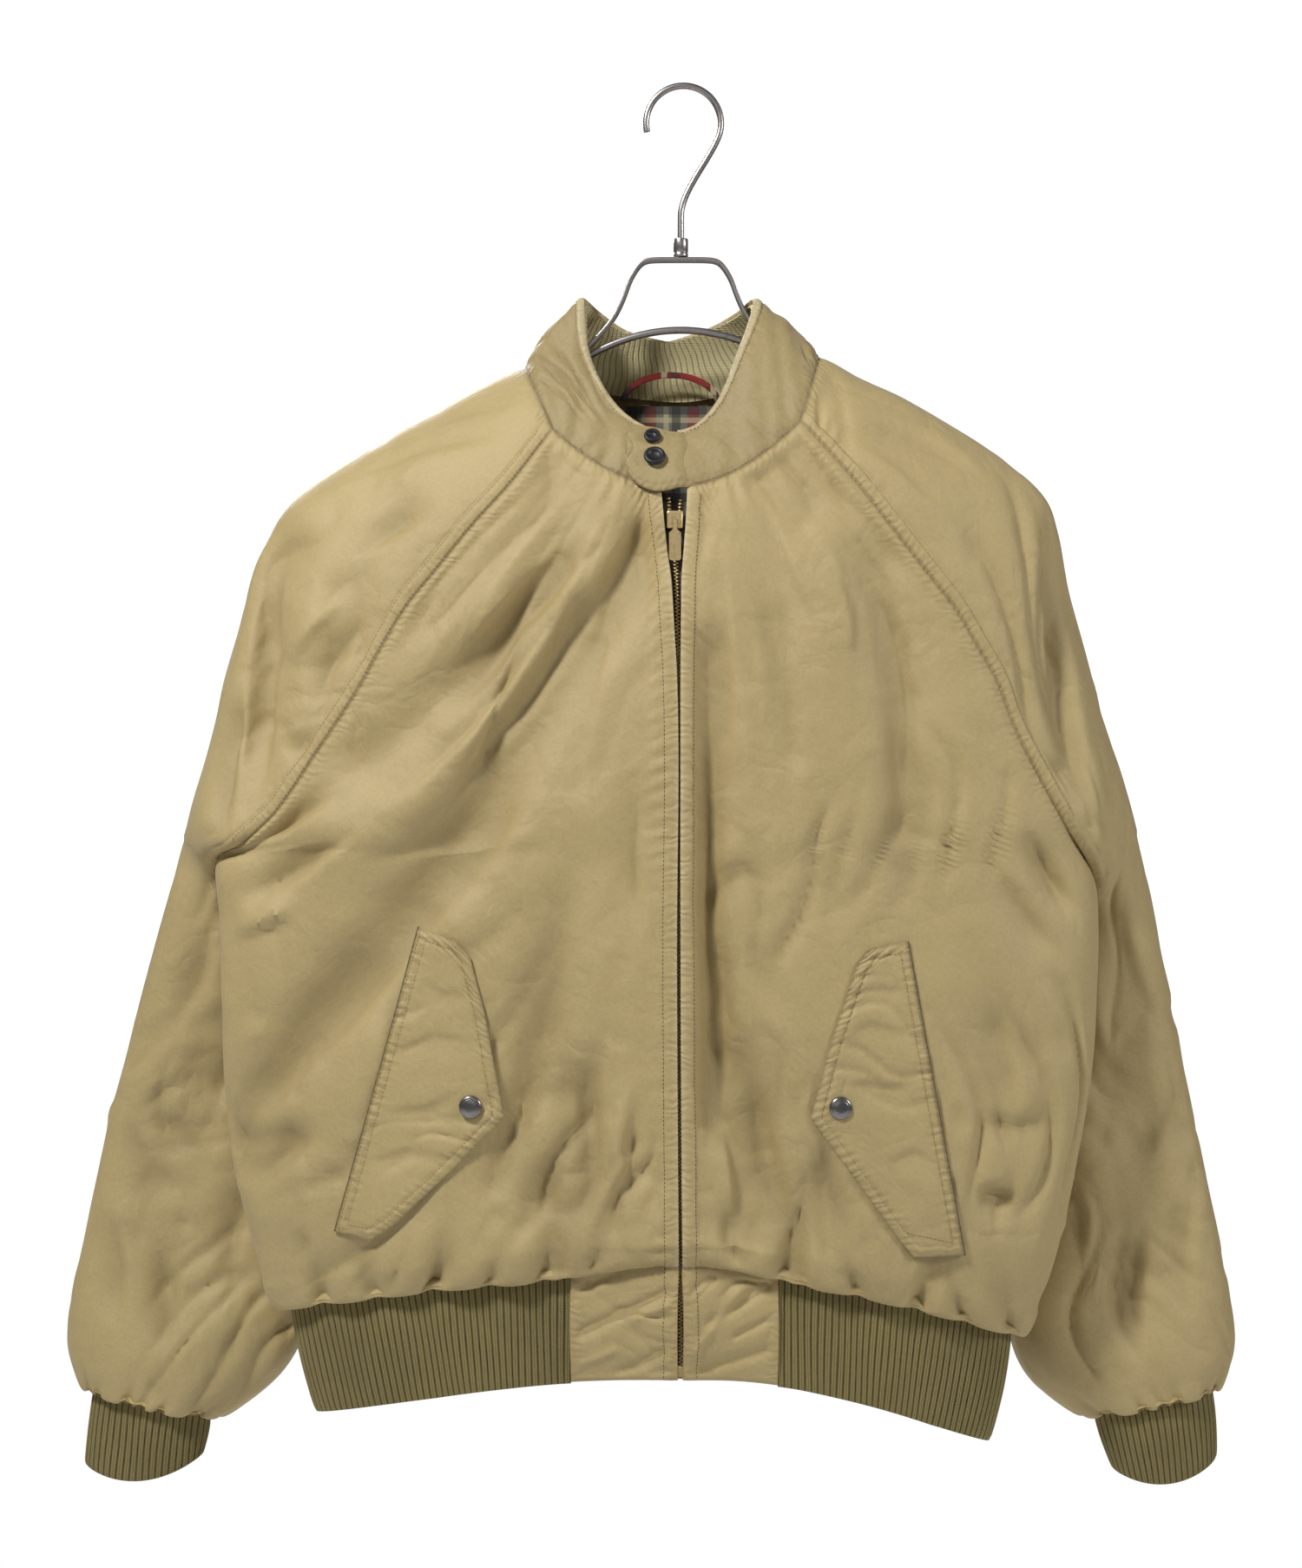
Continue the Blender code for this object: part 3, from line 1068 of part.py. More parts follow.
ROD_RADIUS = 0.0025
ROD_BELOW_SHOULDER = 0.0058
ROD_ENDS = (-0.228, 0.214)
rod = []
shoulders = {side: [column(RAGLAN[side], RAGLAN_COLUMNS, name) for name in ("outer_x", "outer_drop")]
             for side in SIDES}
for x in np.linspace(*ROD_ENDS, 35):
    side = "right" if x < 0 else "left"
    arched = 0.1640 + 4.4 * (x - HANGER_X)**2
    shoulder = float(np.interp(abs(x), *shoulders[side]))
    slope = (float(np.interp(abs(x) + 0.01, *shoulders[side])) - shoulder) / 0.01
    under_cloth = shoulder + ROD_BELOW_SHOULDER * (1 + slope**2)**0.5
    blend = np.clip((abs(x) - 0.080) / 0.050, 0, 1)
    blend = blend * blend * (3 - 2 * blend)
    rod.append((x, 0.0, -(arched * (1 - blend) + under_cloth * blend)))
add_rod("hanger_rod", rod, ROD_RADIUS)
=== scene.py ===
"""Zip-front raglan blouson with light padding, hanging on a metal hanger: its looks.

Metres, +Z up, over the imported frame; the tables given to in_metres and folds_in_mm are in
millimetres. The origin is the inside top of the hanger's hook and the front faces -Y. Sides are the
wearer's: "right" is at -X and "left" at +X. Heights are written as a drop, the distance below the
origin. Each cloth piece is a thin closed wall on its solid's own form, with the creases that the
hanging jacket shows.
"""
import json
from math import cos, pi, radians, sin

import bmesh
import bpy
import numpy as np
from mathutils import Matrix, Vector
from mathutils.bvhtree import BVHTree

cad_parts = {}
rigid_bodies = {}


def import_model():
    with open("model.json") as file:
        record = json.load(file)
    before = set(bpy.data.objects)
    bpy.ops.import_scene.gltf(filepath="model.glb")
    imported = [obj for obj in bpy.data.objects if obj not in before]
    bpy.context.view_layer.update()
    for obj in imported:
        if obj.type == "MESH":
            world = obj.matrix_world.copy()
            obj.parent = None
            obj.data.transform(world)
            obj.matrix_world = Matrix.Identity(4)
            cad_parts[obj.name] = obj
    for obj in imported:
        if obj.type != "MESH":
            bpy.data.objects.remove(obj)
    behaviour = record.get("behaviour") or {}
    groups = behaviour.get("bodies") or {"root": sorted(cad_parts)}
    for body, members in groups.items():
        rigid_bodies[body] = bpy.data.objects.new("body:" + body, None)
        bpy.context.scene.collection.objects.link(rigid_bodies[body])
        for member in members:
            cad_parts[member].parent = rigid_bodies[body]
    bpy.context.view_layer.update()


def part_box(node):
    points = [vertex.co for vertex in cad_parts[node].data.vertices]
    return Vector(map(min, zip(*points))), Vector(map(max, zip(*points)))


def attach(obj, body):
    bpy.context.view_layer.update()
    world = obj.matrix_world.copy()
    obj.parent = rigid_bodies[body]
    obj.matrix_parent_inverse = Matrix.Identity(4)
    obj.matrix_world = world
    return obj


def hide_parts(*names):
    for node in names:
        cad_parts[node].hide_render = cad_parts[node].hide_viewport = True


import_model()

# --- Camera, floor and light: a straight front view with soft light from high on the left ---
CAMERA_PLACE = (-0.0219, -2.0, -0.4735)
CAMERA_LENS = 67.36
FLOOR_DROP = 1.35
LAMPS = (   # name, place, aim, size, watts
    ("key", (-1.05, -1.25, 1.05), (0.02, 0.0, -0.5), 0.36, 42),
    ("side", (1.85, -1.0, 0.25), (0.1, 0.0, -0.45), 0.6, 17),
    ("front", (-0.2, -2.6, 0.0), (0.0, 0.0, -0.5), 1.2, 2),
    ("behind", (-0.9, 2.3, 0.9), (0.0, 0.0, -0.5), 1.0, 34),
)


def add_object(name, data):
    """A new object that holds its data, linked to the scene."""
    made = bpy.data.objects.new(name, data)
    bpy.context.scene.collection.objects.link(made)
    return made


def feed(tree, node, links):
    """Links a node's inputs or gives them values, by (input, source)."""
    for socket, source in links:
        if isinstance(source, bpy.types.NodeSocket):
            tree.links.new(source, node.inputs[socket])
        else:
            node.inputs[socket].default_value = source


def put(tree, kind, links=(), **settings):
    """A node in a tree, its properties set and its inputs fed."""
    made = tree.nodes.new(kind)
    for key, value in settings.items():
        setattr(made, key, value)
    feed(tree, made, links)
    return made


def new_material(name):
    """A new material, its node tree and its shader."""
    made = bpy.data.materials.new(name)
    made.use_nodes = True
    return made, made.node_tree, made.node_tree.nodes["Principled BSDF"]


def by_ray(tree, kind, others, these):
    """One shader for rays of a kind that Light Path names, and another for all others."""
    seen = put(tree, "ShaderNodeLightPath")
    shaders = [(1, others.outputs[0]), (2, these.outputs[0])]
    return put(tree, "ShaderNodeMixShader", [(0, seen.outputs[kind]), *shaders])


camera_data = bpy.data.cameras.new("camera")
camera_data.lens = CAMERA_LENS
camera_data.sensor_width = 36
camera = add_object("camera", camera_data)
camera.location = CAMERA_PLACE
camera.rotation_euler = (pi / 2, 0, 0)
bpy.context.scene.camera = camera
bpy.context.scene.view_settings.view_transform = "Standard"

for name, place, aim, size, watts in LAMPS:
    lamp_data = bpy.data.lights.new(name, "AREA")
    lamp_data.size = size
    lamp_data.energy = watts
    lamp = add_object(name, lamp_data)
    lamp.location = place
    lamp.rotation_euler = (Vector(aim) - Vector(place)).to_track_quat("-Z", "Y").to_euler()

world = bpy.data.worlds.new("studio")
bpy.context.scene.world = world
world.use_nodes = True
tree = world.node_tree
room = tree.nodes["Background"]
feed(tree, room, [("Color", (1.0, 0.99, 0.97, 1)), ("Strength", 0.035)])
# what polished parts mirror, and the white that the camera sees
walls = put(tree, "ShaderNodeBackground", [("Color", (1.0, 0.98, 0.95, 1)), ("Strength", 0.16)])
backdrop = put(tree, "ShaderNodeBackground", [("Color", (1, 1, 1, 1)), ("Strength", 1.1)])
shown = by_ray(tree, "Is Camera Ray", by_ray(tree, "Is Glossy Ray", room, walls), backdrop)
feed(tree, tree.nodes["World Output"], [("Surface", shown.outputs[0])])

floor_mesh = bpy.data.meshes.new("floor")
floor_corners = [(-9, -9, -FLOOR_DROP), (9, -9, -FLOOR_DROP), (9, 9, -FLOOR_DROP), (-9, 9, -FLOOR_DROP)]
floor_mesh.from_pydata(floor_corners, [], [(0, 1, 2, 3)])
floor = add_object("floor", floor_mesh)
pale, tree, shader = new_material("pale_floor")
feed(tree, shader, [("Base Color", (0.93, 0.93, 0.92, 1)), ("Roughness", 0.9)])
glow = put(tree, "ShaderNodeEmission", [("Strength", 1.0)])
shown = by_ray(tree, "Is Camera Ray", shader, glow)
feed(tree, tree.nodes["Material Output"], [("Surface", shown.outputs[0])])
floor_mesh.materials.append(pale)

# --- Fronts and back: light padded poplin panels, sewn to the sleeves along slanting raglan seams ---
# The tables are the jacket's form by height, in millimetres. Half widths run from the middle to the
# side edge, depths from the plane of the rod; side_y is where the side edge lies.
WALL = 0.0025
SEAM_GAP = 0.0003
SIDES = {"right": -1, "left": 1}


def in_metres(*rows):
    """A table given in millimetres, as an array in metres."""
    return np.array(rows) / 1000


BODY_COLUMNS = ("drop", "right", "left", "front", "back", "side_y")
BODY = in_metres(
    (180, 215, 200, 42, 36, 0),
    (240, 262, 238, 64, 42, 0),
    (280, 284, 252, 76, 45, 0),
    (330, 294, 262, 83, 46, -3),
    (400, 300, 270, 87, 46, -9),
    (460, 306, 274, 88, 45, -15),
    (530, 314, 275, 88, 44, -20),
    (570, 311.5, 278.5, 87, 43, -21),
    (620, 310, 277.5, 86, 43, -21),
    (680, 308.5, 273, 86, 43, -20),
    (720, 305, 266, 87, 44, -18),
    (760, 296, 258, 90, 46, -16),
    (800, 285, 248, 91, 47, -14),
    (840, 268, 232, 88, 46, -14),
)
RAGLAN_COLUMNS = ("front_x", "front_drop", "outer_x", "outer_drop", "outer_y", "back_x", "back_drop")
RAGLAN = {
    "right": in_metres(
        (87.1, 239.2, 108, 191, 0, 64, 203),
        (113.5, 275, 144, 208.5, 0, 92, 232),
        (138.5, 303, 178, 226.5, 0, 118, 261),
        (162, 332, 211, 245.5, 0, 143, 290),
        (182.5, 357, 238, 262, 0, 166, 319),
        (199, 384, 262, 280, 1, 188, 348),
        (212.7, 408.6, 280, 303, 3, 208, 376),
        (228.5, 433, 292.5, 331, 5, 226, 403),
        (244.1, 455.6, 303, 370, 7, 243, 429),
        (257, 475, 312.5, 402, 9, 259, 454),
        (272.5, 495, 323, 447, 11, 276, 479),
        (294, 513, 333, 482, 13, 296, 504),
        (314.1, 525.5, 340.5, 508, 15, 314.1, 525.5),
    ),
    "left": in_metres(
        (77.4, 233.4, 92.3, 183, 0, 60, 196),
        (98, 257, 122, 199.5, 0, 85, 226),
        (115.9, 278.3, 150, 212.5, 0, 108, 256),
        (133.5, 301, 178.5, 229, 0, 130, 286),
        (150.3, 322.5, 205, 245.5, 0, 151, 316),
        (166, 342.5, 227, 262, 1, 170, 346),
        (179.2, 359.7, 246, 281.5, 3, 188, 375),
        (193.5, 384, 254.5, 305, 5, 204, 403),
        (205.7, 405.5, 262.5, 343, 7, 219, 430),
        (218, 437.1, 273.5, 383, 9, 233, 457),
        (233, 466, 286.5, 429, 11, 247, 483),
        (253, 500, 299, 467, 13, 261, 510),
        (275.2, 536, 309.5, 505, 15, 275.2, 536),
    ),
}
RAGLAN_ROWS = 12
SIDE_ROWS = 7
FRONT_COLUMNS = 10
BACK_COLUMNS = 8
NECK_FRONT_DROP = 0.278
NECK_BACK_DROP = 0.211
ARMPIT_CENTRE_DROP = 0.53
WIDEST_DROP = {"centre": 0.769, "right": 0.8, "left": 0.82}
TURN_UNDER = ((0.002, 0.013), (0.009, 0.025), (0.017, 0.019))
ZIP_COLUMNS = ("drop", "middle_x", "half_gap")
ZIP = in_metres(
    (262, -7, 10.5),
    (292, -6.4, 7.4),
    (307, -6, 7),
    (330, -5.5, 4),
    (360, -4.8, 2.5),
    (395, -4, 1.4),
    (590, -3.8, 1.2),
    (880, -2, 1.2),
)


def folds_in_mm(*rows):
    """Folds as (path, half width, depth) in metres, from rows of points (x, drop), half width and depth
    in millimetres."""
    return [([(x / 1000, drop / 1000) for x, drop in path], width / 1000, depth / 1000)
            for *path, width, depth in rows]


# The solid's own large folds of the front. A minus depth is a ridge.
FRONT_FOLDS = folds_in_mm(
    ((-25, 318), (-85, 409), (-142, 500), (-199, 580), (-256, 643), (-300, 700), 20, 7.5),
    ((-60, 330), (-113, 415), (-170, 482), (-235, 510), 22, -4),
    ((-85, 323), (-113, 369), (-159, 415), (-205, 460), 18, 4.5),
    ((-76, 529), (-85, 597), (-101, 672), (-122, 729), 18, 4),
    ((13, 392), (20, 500), (22, 575), (26, 689), (40, 760), 16, 6),
    ((42, 654), (67, 765), 16, 4),
    ((130, 330), (147, 415), (148, 577), 20, 3),
)


def column(table, names, name):
    """One named column of a table, as an array."""
    return np.array([row[names.index(name)] for row in table], float)


def between(start, start_slope, end, end_slope, s):
    """Smooth way from start to end at share s, that leaves and arrives with the slopes."""
    return (start * (2 * s**3 - 3 * s**2 + 1) + start_slope * (s**3 - 2 * s**2 + s)
            + end * (3 * s**2 - 2 * s**3) + end_slope * (s**3 - s**2))


def curve(knots, values, at):
    """Smooth curve through values at knots, read at the places asked for."""
    slopes = np.gradient(values, knots)
    place = np.clip(np.searchsorted(knots, at) - 1, 0, len(knots) - 2)
    step = knots[place + 1] - knots[place]
    s = np.clip((at - knots[place]) / step, 0.0, 1.0)
    return between(values[place], slopes[place] * step, values[place + 1], slopes[place + 1] * step, s)


def body_at(name, drop):
    """A column of the body table at any drop."""
    return curve(column(BODY, BODY_COLUMNS, "drop"), column(BODY, BODY_COLUMNS, name), drop)


def zip_at(name, drop):
    """The zip's middle or the front edges' half gap at any drop."""
    return curve(column(ZIP, ZIP_COLUMNS, "drop"), column(ZIP, ZIP_COLUMNS, name), drop)


def path_distance(path, x, drop):
    """Distance of (x, drop) from a path of straight lines."""
    nearest = np.full(np.broadcast(x, drop).shape, 1e9)
    for (x0, d0), (x1, d1) in zip(path[:-1], path[1:]):
        along = ((x - x0) * (x1 - x0) + (drop - d0) * (d1 - d0)) / ((x1 - x0)**2 + (d1 - d0)**2)
        along = np.clip(along, 0, 1)
        nearest = np.minimum(nearest, np.hypot(x - x0 - along * (x1 - x0), drop - d0 - along * (d1 - d0)))
    return nearest


def bell(away, width):
    """1 at 0, and dying away over a width."""
    return np.exp(-(away / width)**2)


def fold_depth(folds, x, drop):
    """How far folds push the cloth in at (x, drop)."""
    return sum(depth * bell(path_distance(path, x, drop), width) for path, width, depth in folds)


def swell_across(x, drop, power):
    """How much of the full depth the ring has at x: 1 in the middle, 0 at the side edge."""
    half = np.where(np.asarray(x) < 0, body_at("right", drop), body_at("left", drop))
    return (1 - np.clip(np.abs(x) / half, 0, 1)**2)**power


def front_y(x, drop):
    """The front's outer surface, as a depth over (x, drop)."""
    side, swell = body_at("side_y", drop), swell_across(x, drop, 0.4)
    return side - (body_at("front", drop) + side) * swell + fold_depth(FRONT_FOLDS, x, drop) * swell


def back_y(x, drop):
    """The back's outer surface."""
    side = body_at("side_y", drop)
    return side + (body_at("back", drop) - side) * swell_across(x, drop, 0.5)


def steps_along(line):
    """Length along a line from its first point to each of its points."""
    return np.concatenate([[0], np.cumsum(np.linalg.norm(np.diff(line, axis=0), axis=1))])


def read_at(at, steps, values):
    """Vectors given at steps along a line, read at other lengths."""
    return np.stack([np.interp(at, steps, values[:, axis]) for axis in range(values.shape[1])], axis=-1)


def unit(v):
    """Vectors at length one."""
    return v / np.maximum(np.linalg.norm(v, axis=-1, keepdims=True), 1e-12)


def body_panel(side, is_front):
    """Grid of a front (centre to side) or of half the back, rows from the neck to the hem seam."""
    sign = SIDES[side]
    seam = "front" if is_front else "back"
    seam_x = column(RAGLAN[side], RAGLAN_COLUMNS, seam + "_x")
    seam_drop = column(RAGLAN[side], RAGLAN_COLUMNS, seam + "_drop")
    centre_drop = np.linspace(NECK_FRONT_DROP if is_front else NECK_BACK_DROP, ARMPIT_CENTRE_DROP,
                              RAGLAN_ROWS + 1)
    low_side = np.linspace(seam_drop[-1], WIDEST_DROP[side], SIDE_ROWS + 1)[1:]
    low_centre = np.linspace(ARMPIT_CENTRE_DROP, WIDEST_DROP["centre"], SIDE_ROWS + 1)[1:]
    seam_x = np.append(seam_x, body_at(side, low_side))
    seam_drop = np.append(seam_drop, low_side)
    centre_drop = np.append(centre_drop, low_centre)
    columns = FRONT_COLUMNS if is_front else BACK_COLUMNS
    across = np.linspace(0, 1, columns + 1)
    surface = front_y if is_front else back_y
    rows = []
    for x_end, drop_end, drop_start in zip(seam_x, seam_drop, centre_drop):
        reach = np.arcsin(min(1.0, x_end / float(body_at(side, drop_end))))
        spread = np.sin(across * reach) / sin(reach)
        drop = drop_start + (drop_end - drop_start) * spread**1.7
        edge = np.zeros(columns + 1)
        if is_front:
            edge = zip_at("middle_x", drop) + sign * zip_at("half_gap", drop)
        x = edge + (sign * x_end - edge) * spread
        x[-1] = sign * x_end
        y = surface(x, drop)
        if x_end >= float(body_at(side, drop_end)) - 1e-6:
            y[-1] = float(body_at("side_y", drop_end))
        rows.append(np.stack([x, y, -drop], axis=-1))
    widest = rows[-1]
    spread = np.abs(widest[:, 0]) / abs(widest[-1, 0])
    swollen = np.clip(spread / 0.3, 0, 1) if is_front else np.ones(columns + 1)
    swollen = swollen**2 * (3 - 2 * swollen)
    side_y = float(body_at("side_y", WIDEST_DROP[side]))
    level = np.abs(widest[:, 1] - side_y) / np.abs(widest[:, 1] - side_y).max()
    for step, (inset, lower) in enumerate(TURN_UNDER, 1):
        turned = widest.copy()
        turned[:, 0] -= sign * inset * spread**2
        turned[:, 1] -= np.sign(widest[:, 1] - side_y) * inset * (0.35 + 0.65 * swollen) * level
        turned[:, 2] -= lower * swollen + TURN_UNDER[-1][1] * step / len(TURN_UNDER) * (1 - swollen)
        if is_front:
            drop = -turned[:, 2]
            edge = zip_at("middle_x", drop) + sign * zip_at("half_gap", drop)
            place = (widest[:, 0] - widest[0, 0]) / (widest[-1, 0] - widest[0, 0])
            turned[:, 0] = edge + (turned[-1, 0] - edge) * place
        rows.append(turned)
    return np.array(rows)


def refine(grid, row_parts, column_parts, row_ends=(0, 0), column_ends=(0, 0)):
    """The same surface on a finer grid. Each span of rows and columns is cut into parts; the first
    and last span can have more parts of their own, so that a seam beside them can be drawn."""
    for axis, parts, ends in ((0, row_parts, row_ends), (1, column_parts, column_ends)):
        spans = grid.shape[axis] - 1
        counts = [parts] * spans
        counts[0] = ends[0] or parts
        counts[-1] = ends[1] or parts
        at = np.concatenate([[0.0]] + [n + np.arange(1, count + 1) / count for n, count in enumerate(counts)])
        flat = np.moveaxis(grid, axis, 0).reshape(spans + 1, -1)
        slopes = np.gradient(flat, axis=0)
        place = np.clip(at.astype(int), 0, spans - 1)
        s = (at - place)[:, None]
        fine = between(flat[place], slopes[place], flat[place + 1], slopes[place + 1], s)
        shape = np.moveaxis(grid, axis, 0).shape
        grid = np.moveaxis(fine.reshape(len(at), *shape[1:]), 0, axis)
    return grid


def grid_normals(grid, outward):
    """Normals of a grid of points, pointing to the side that outward (a rough direction) is on."""
    def directions(axis):
        steps = unit(np.diff(grid, axis=axis))
        before = np.concatenate([steps.take([0], axis=axis), steps], axis=axis)
        after = np.concatenate([steps, steps.take([-1], axis=axis)], axis=axis)
        return unit(before + after)

    normals = unit(np.cross(directions(0), directions(1)))
    return normals * np.sign(np.mean(np.sum(normals * outward, axis=-1)))


def whole_object(name, mesh, finish, sharp=50):
    """An object of a closed mesh: faces turned outwards, smooth but for corners sharper than an angle."""
    shape = bmesh.new()
    shape.from_mesh(mesh)
    bmesh.ops.recalc_face_normals(shape, faces=shape.faces[:])
    if shape.calc_volume(signed=True) < 0:
        bmesh.ops.reverse_faces(shape, faces=shape.faces[:])
    shape.to_mesh(mesh)
    shape.free()
    mesh.materials.append(finish)
    mesh.shade_smooth()
    mesh.set_sharp_from_angle(angle=radians(sharp))
    return add_object(name, mesh)


def wall_object(name, outer, inner, finish, closed=False, joined_from=None, marks=None):
    """A closed wall between two grids. closed joins the last column to the first one all the way;
    joined_from does so only from that row down. The inner side, seldom seen, keeps only every
    second row and column. marks are values by grid point for the material."""
    rows, columns = outer.shape[:2]
    numbers = np.arange(2 * rows * columns).reshape(2, rows, columns)
    if joined_from is not None:
        numbers[:, joined_from:, -1] = numbers[:, joined_from:, 0]
    if closed:
        numbers = np.concatenate([numbers, numbers[:, :, :1]], axis=2)
    last = numbers.shape[2] - 1
    kept_rows = np.unique(np.append(np.arange(0, rows, 2), rows - 1))
    kept_columns = np.unique(np.append(np.arange(0, last + 1, 2), last))
    plain = numbers[1][np.ix_(kept_rows, kept_columns)]
    fine = numbers[0]

    def quads(*corners):
        return np.stack(corners, -1).reshape(-1, 4).tolist()

    faces = quads(fine[:-1, :-1], fine[:-1, 1:], fine[1:, 1:], fine[1:, :-1])
    faces += quads(plain[:-1, :-1], plain[1:, :-1], plain[1:, 1:], plain[:-1, 1:])
    for row, way in ((0, 1), (rows - 1, -1)):
        for start, end in zip(kept_columns[:-1], kept_columns[1:]):
            faces.append([*fine[row, start:end + 1], numbers[1, row, end], numbers[1, row, start]][::way])
    if not closed:
        until = rows - 1 if joined_from is None else joined_from
        for place, way in ((0, -1), (last, 1)):
            for start, end in zip(kept_rows[:-1], kept_rows[1:]):
                if end <= until:
                    rim = [*fine[start:end + 1, place], numbers[1, end, place], numbers[1, start, place]]
                    faces.append(rim[::way])
    points = np.concatenate([outer.reshape(-1, 3), inner.reshape(-1, 3)])
    used = np.unique(np.concatenate([np.array(face) for face in faces]))
    renumbered = np.zeros(len(points), int)
    renumbered[used] = np.arange(len(used))
    mesh = bpy.data.meshes.new(name)
    mesh.from_pydata(points[used].tolist(), [], [renumbered[face].tolist() for face in faces])
    for mark, values in (marks or {}).items():
        both = np.tile(values.reshape(-1), 2)[used]
        mesh.attributes.new(mark, "FLOAT", "POINT").data.foreach_set("value", both.astype(np.float32))
    return whole_object(name, mesh, finish, 55)


# Creases that the hanging fronts show over their solid folds. A minus depth is a ridge.
FRONT_CREASES = folds_in_mm(
    # right front: drag lines from the collar to the underarm and side
    ((-30, 318), (-60, 360), (-98, 416), (-140, 470), (-176, 520), 7.5, 3),
    ((-40, 306), (-78, 336), (-112, 372), (-142, 412), (-170, 448), 8.5, 3.2),
    ((-62, 300), (-98, 330), (-134, 370), (-168, 412), 7, -2.2),
    ((-70, 342), (-102, 386), (-140, 436), (-178, 474), (-214, 498), 6, 2.6),
    ((-98, 470), (-130, 520), (-166, 562), (-206, 592), 10, 2.6),
    ((-148, 540), (-186, 590), (-226, 634), (-270, 670), 8, 3),
    ((-212, 500), (-250, 528), (-284, 548), (-306, 552), 7, 3.8),
    ((-226, 478), (-262, 500), (-292, 516), 6, 3.2),
    ((-250, 552), (-280, 566), (-306, 574), 6, -2.6),
    ((-236, 640), (-262, 668), (-292, 700), 8, 2.8),
    ((-240, 700), (-266, 722), (-290, 752), 8, 3),
    ((-190, 610), (-204, 660), (-226, 708), 9, -2.2),
    # right front: down beside the zip
    ((-30.5, 460), (-32.5, 520), (-30, 586), 8, 2.2),
    ((-50.5, 623), (-60.7, 677), (-57.3, 723), (-76.1, 780), 8.5, 4),
    ((-76.1, 529), (-84.7, 597), (-100.7, 672), (-121.8, 729), (-157.8, 786), 10, 3),
    ((-35, 660), (-42, 715), (-40, 765), 7, -2.4),
    ((-86, 700), (-90, 740), (-108, 778), 7, 3.4),
    # left front: long drops from the neck and beside the zip
    ((13.5, 392), (19.2, 500), (18.1, 575), (26, 614.5), (24.9, 689), (35.2, 729), (60.9, 780), 8.5, 4),
    ((42, 654.5), (54, 715), (66.6, 774), 8.5, 4.2),
    ((24, 690), (30, 735), (33, 775), 6, -2.8),
    ((123.7, 300.5), (135.1, 358), (147.7, 415), (145.4, 500), (148.3, 577), 8.5, 2.8),
    ((50, 302), (64, 360), (70, 440), (66, 520), 11, 2.2),
    ((90, 300), (105, 360), (110, 420), 10, -1.8),
    ((223, 500), (244, 530), (264, 566), 6, 3.4),
    ((196, 520), (226, 560), (256, 596), 8, 2.4),
    ((189.4, 740), (223.6, 749), 7, 4.2),
    ((196, 600), (214, 660), (220, 715), 10, 2.6),
    ((89, 700), (100, 745), (112, 786), 8, 4.8),
    ((190, 690), (218, 700), (248, 690), 7, 2.2),
)
# Short tucks where the swollen cloth is gathered into the hem seam: x at the seam, lean, length, depth.
HEM_TUCKS = {
    "right": in_metres((-240, -6, 40, 6), (-203, -10, 34, 4.8), (-166, 12, 46, 7.5), (-128, 6, 36, 4.6),
                       (-92, 4, 50, 7), (-78, -6, 34, 5), (-60, 10, 40, 4.5)),
    "left": in_metres((34, -8, 46, 5), (64, 10, 56, 7.2), (78, -6, 34, 5), (114, -8, 40, 5.6),
                      (152, 12, 50, 7), (186, -10, 38, 5.6), (220, -6, 42, 6)),
}
UNDER_FLAP = {"right": ((-0.15, 0.6), (-0.185, 0.735)), "left": ((0.128, 0.605), (0.145, 0.745))}
CREASE_SHADE_DEPTHS = (0.0004, 0.007)    # depths where the painted shade in creases begins, and where it is full
SEAM_LINE = 0.0011           # half width of the dark line along a seam, of dirt and painted shade
FAN_PITCH = 0.0125           # of the small creases below the neck seam
ROW_PARTS, COLUMN_PARTS = 8, 10
ROW_ENDS = (16, 14)          # finer beside the neck seam and the hem seam
ARMPIT_ROW = RAGLAN_ROWS * ROW_PARTS + ROW_ENDS[0] - ROW_PARTS


def uneven(places, seed, scale):
    """A smooth random run of values around 0, one for each place; scale is the length of one bump."""
    rng = np.random.default_rng(seed)
    knots = np.arange(0, np.ptp(places) / scale + 3)
    values = rng.uniform(-1, 1, len(knots))
    return np.interp((places - places.min()) / scale, knots, values)


def creases(folds, x, drop):
    """How far creases push the cloth in at (x, drop). Each dies out at both ends, and falls steeply
    on one side of its line and gently on the other, as a drag fold in hanging cloth does."""
    total = np.zeros(x.shape)
    for path, width, depth in folds:
        corners = np.array(path)
        lengths = np.hypot(*np.diff(corners, axis=0).T)
        nearest, place, side = np.full(x.shape, 1e9), np.zeros(x.shape), np.zeros(x.shape)
        for n, ((x0, d0), (x1, d1)) in enumerate(zip(corners[:-1], corners[1:])):
            along = np.clip(((x - x0) * (x1 - x0) + (drop - d0) * (d1 - d0)) / lengths[n]**2, 0, 1)
            dx, dd = x - x0 - along * (x1 - x0), drop - d0 - along * (d1 - d0)
            away = dx**2 + dd**2
            closer = away < nearest
            nearest = np.where(closer, away, nearest)
            place = np.where(closer, (lengths[:n].sum() + along * lengths[n]) / lengths.sum(), place)
            side = np.where(closer, np.sign(dx * (d1 - d0) - dd * (x1 - x0)), side)
        reach = np.where(side > 0, width * 0.62, width * 1.9)
        taper = ease(place, 0.0, 0.4) * ease(1 - place, 0.0, 0.45)
        total += depth * taper * (0.8 * np.exp(-nearest / reach**2) + 0.2 * np.exp(-np.sqrt(nearest) / reach))
    return total


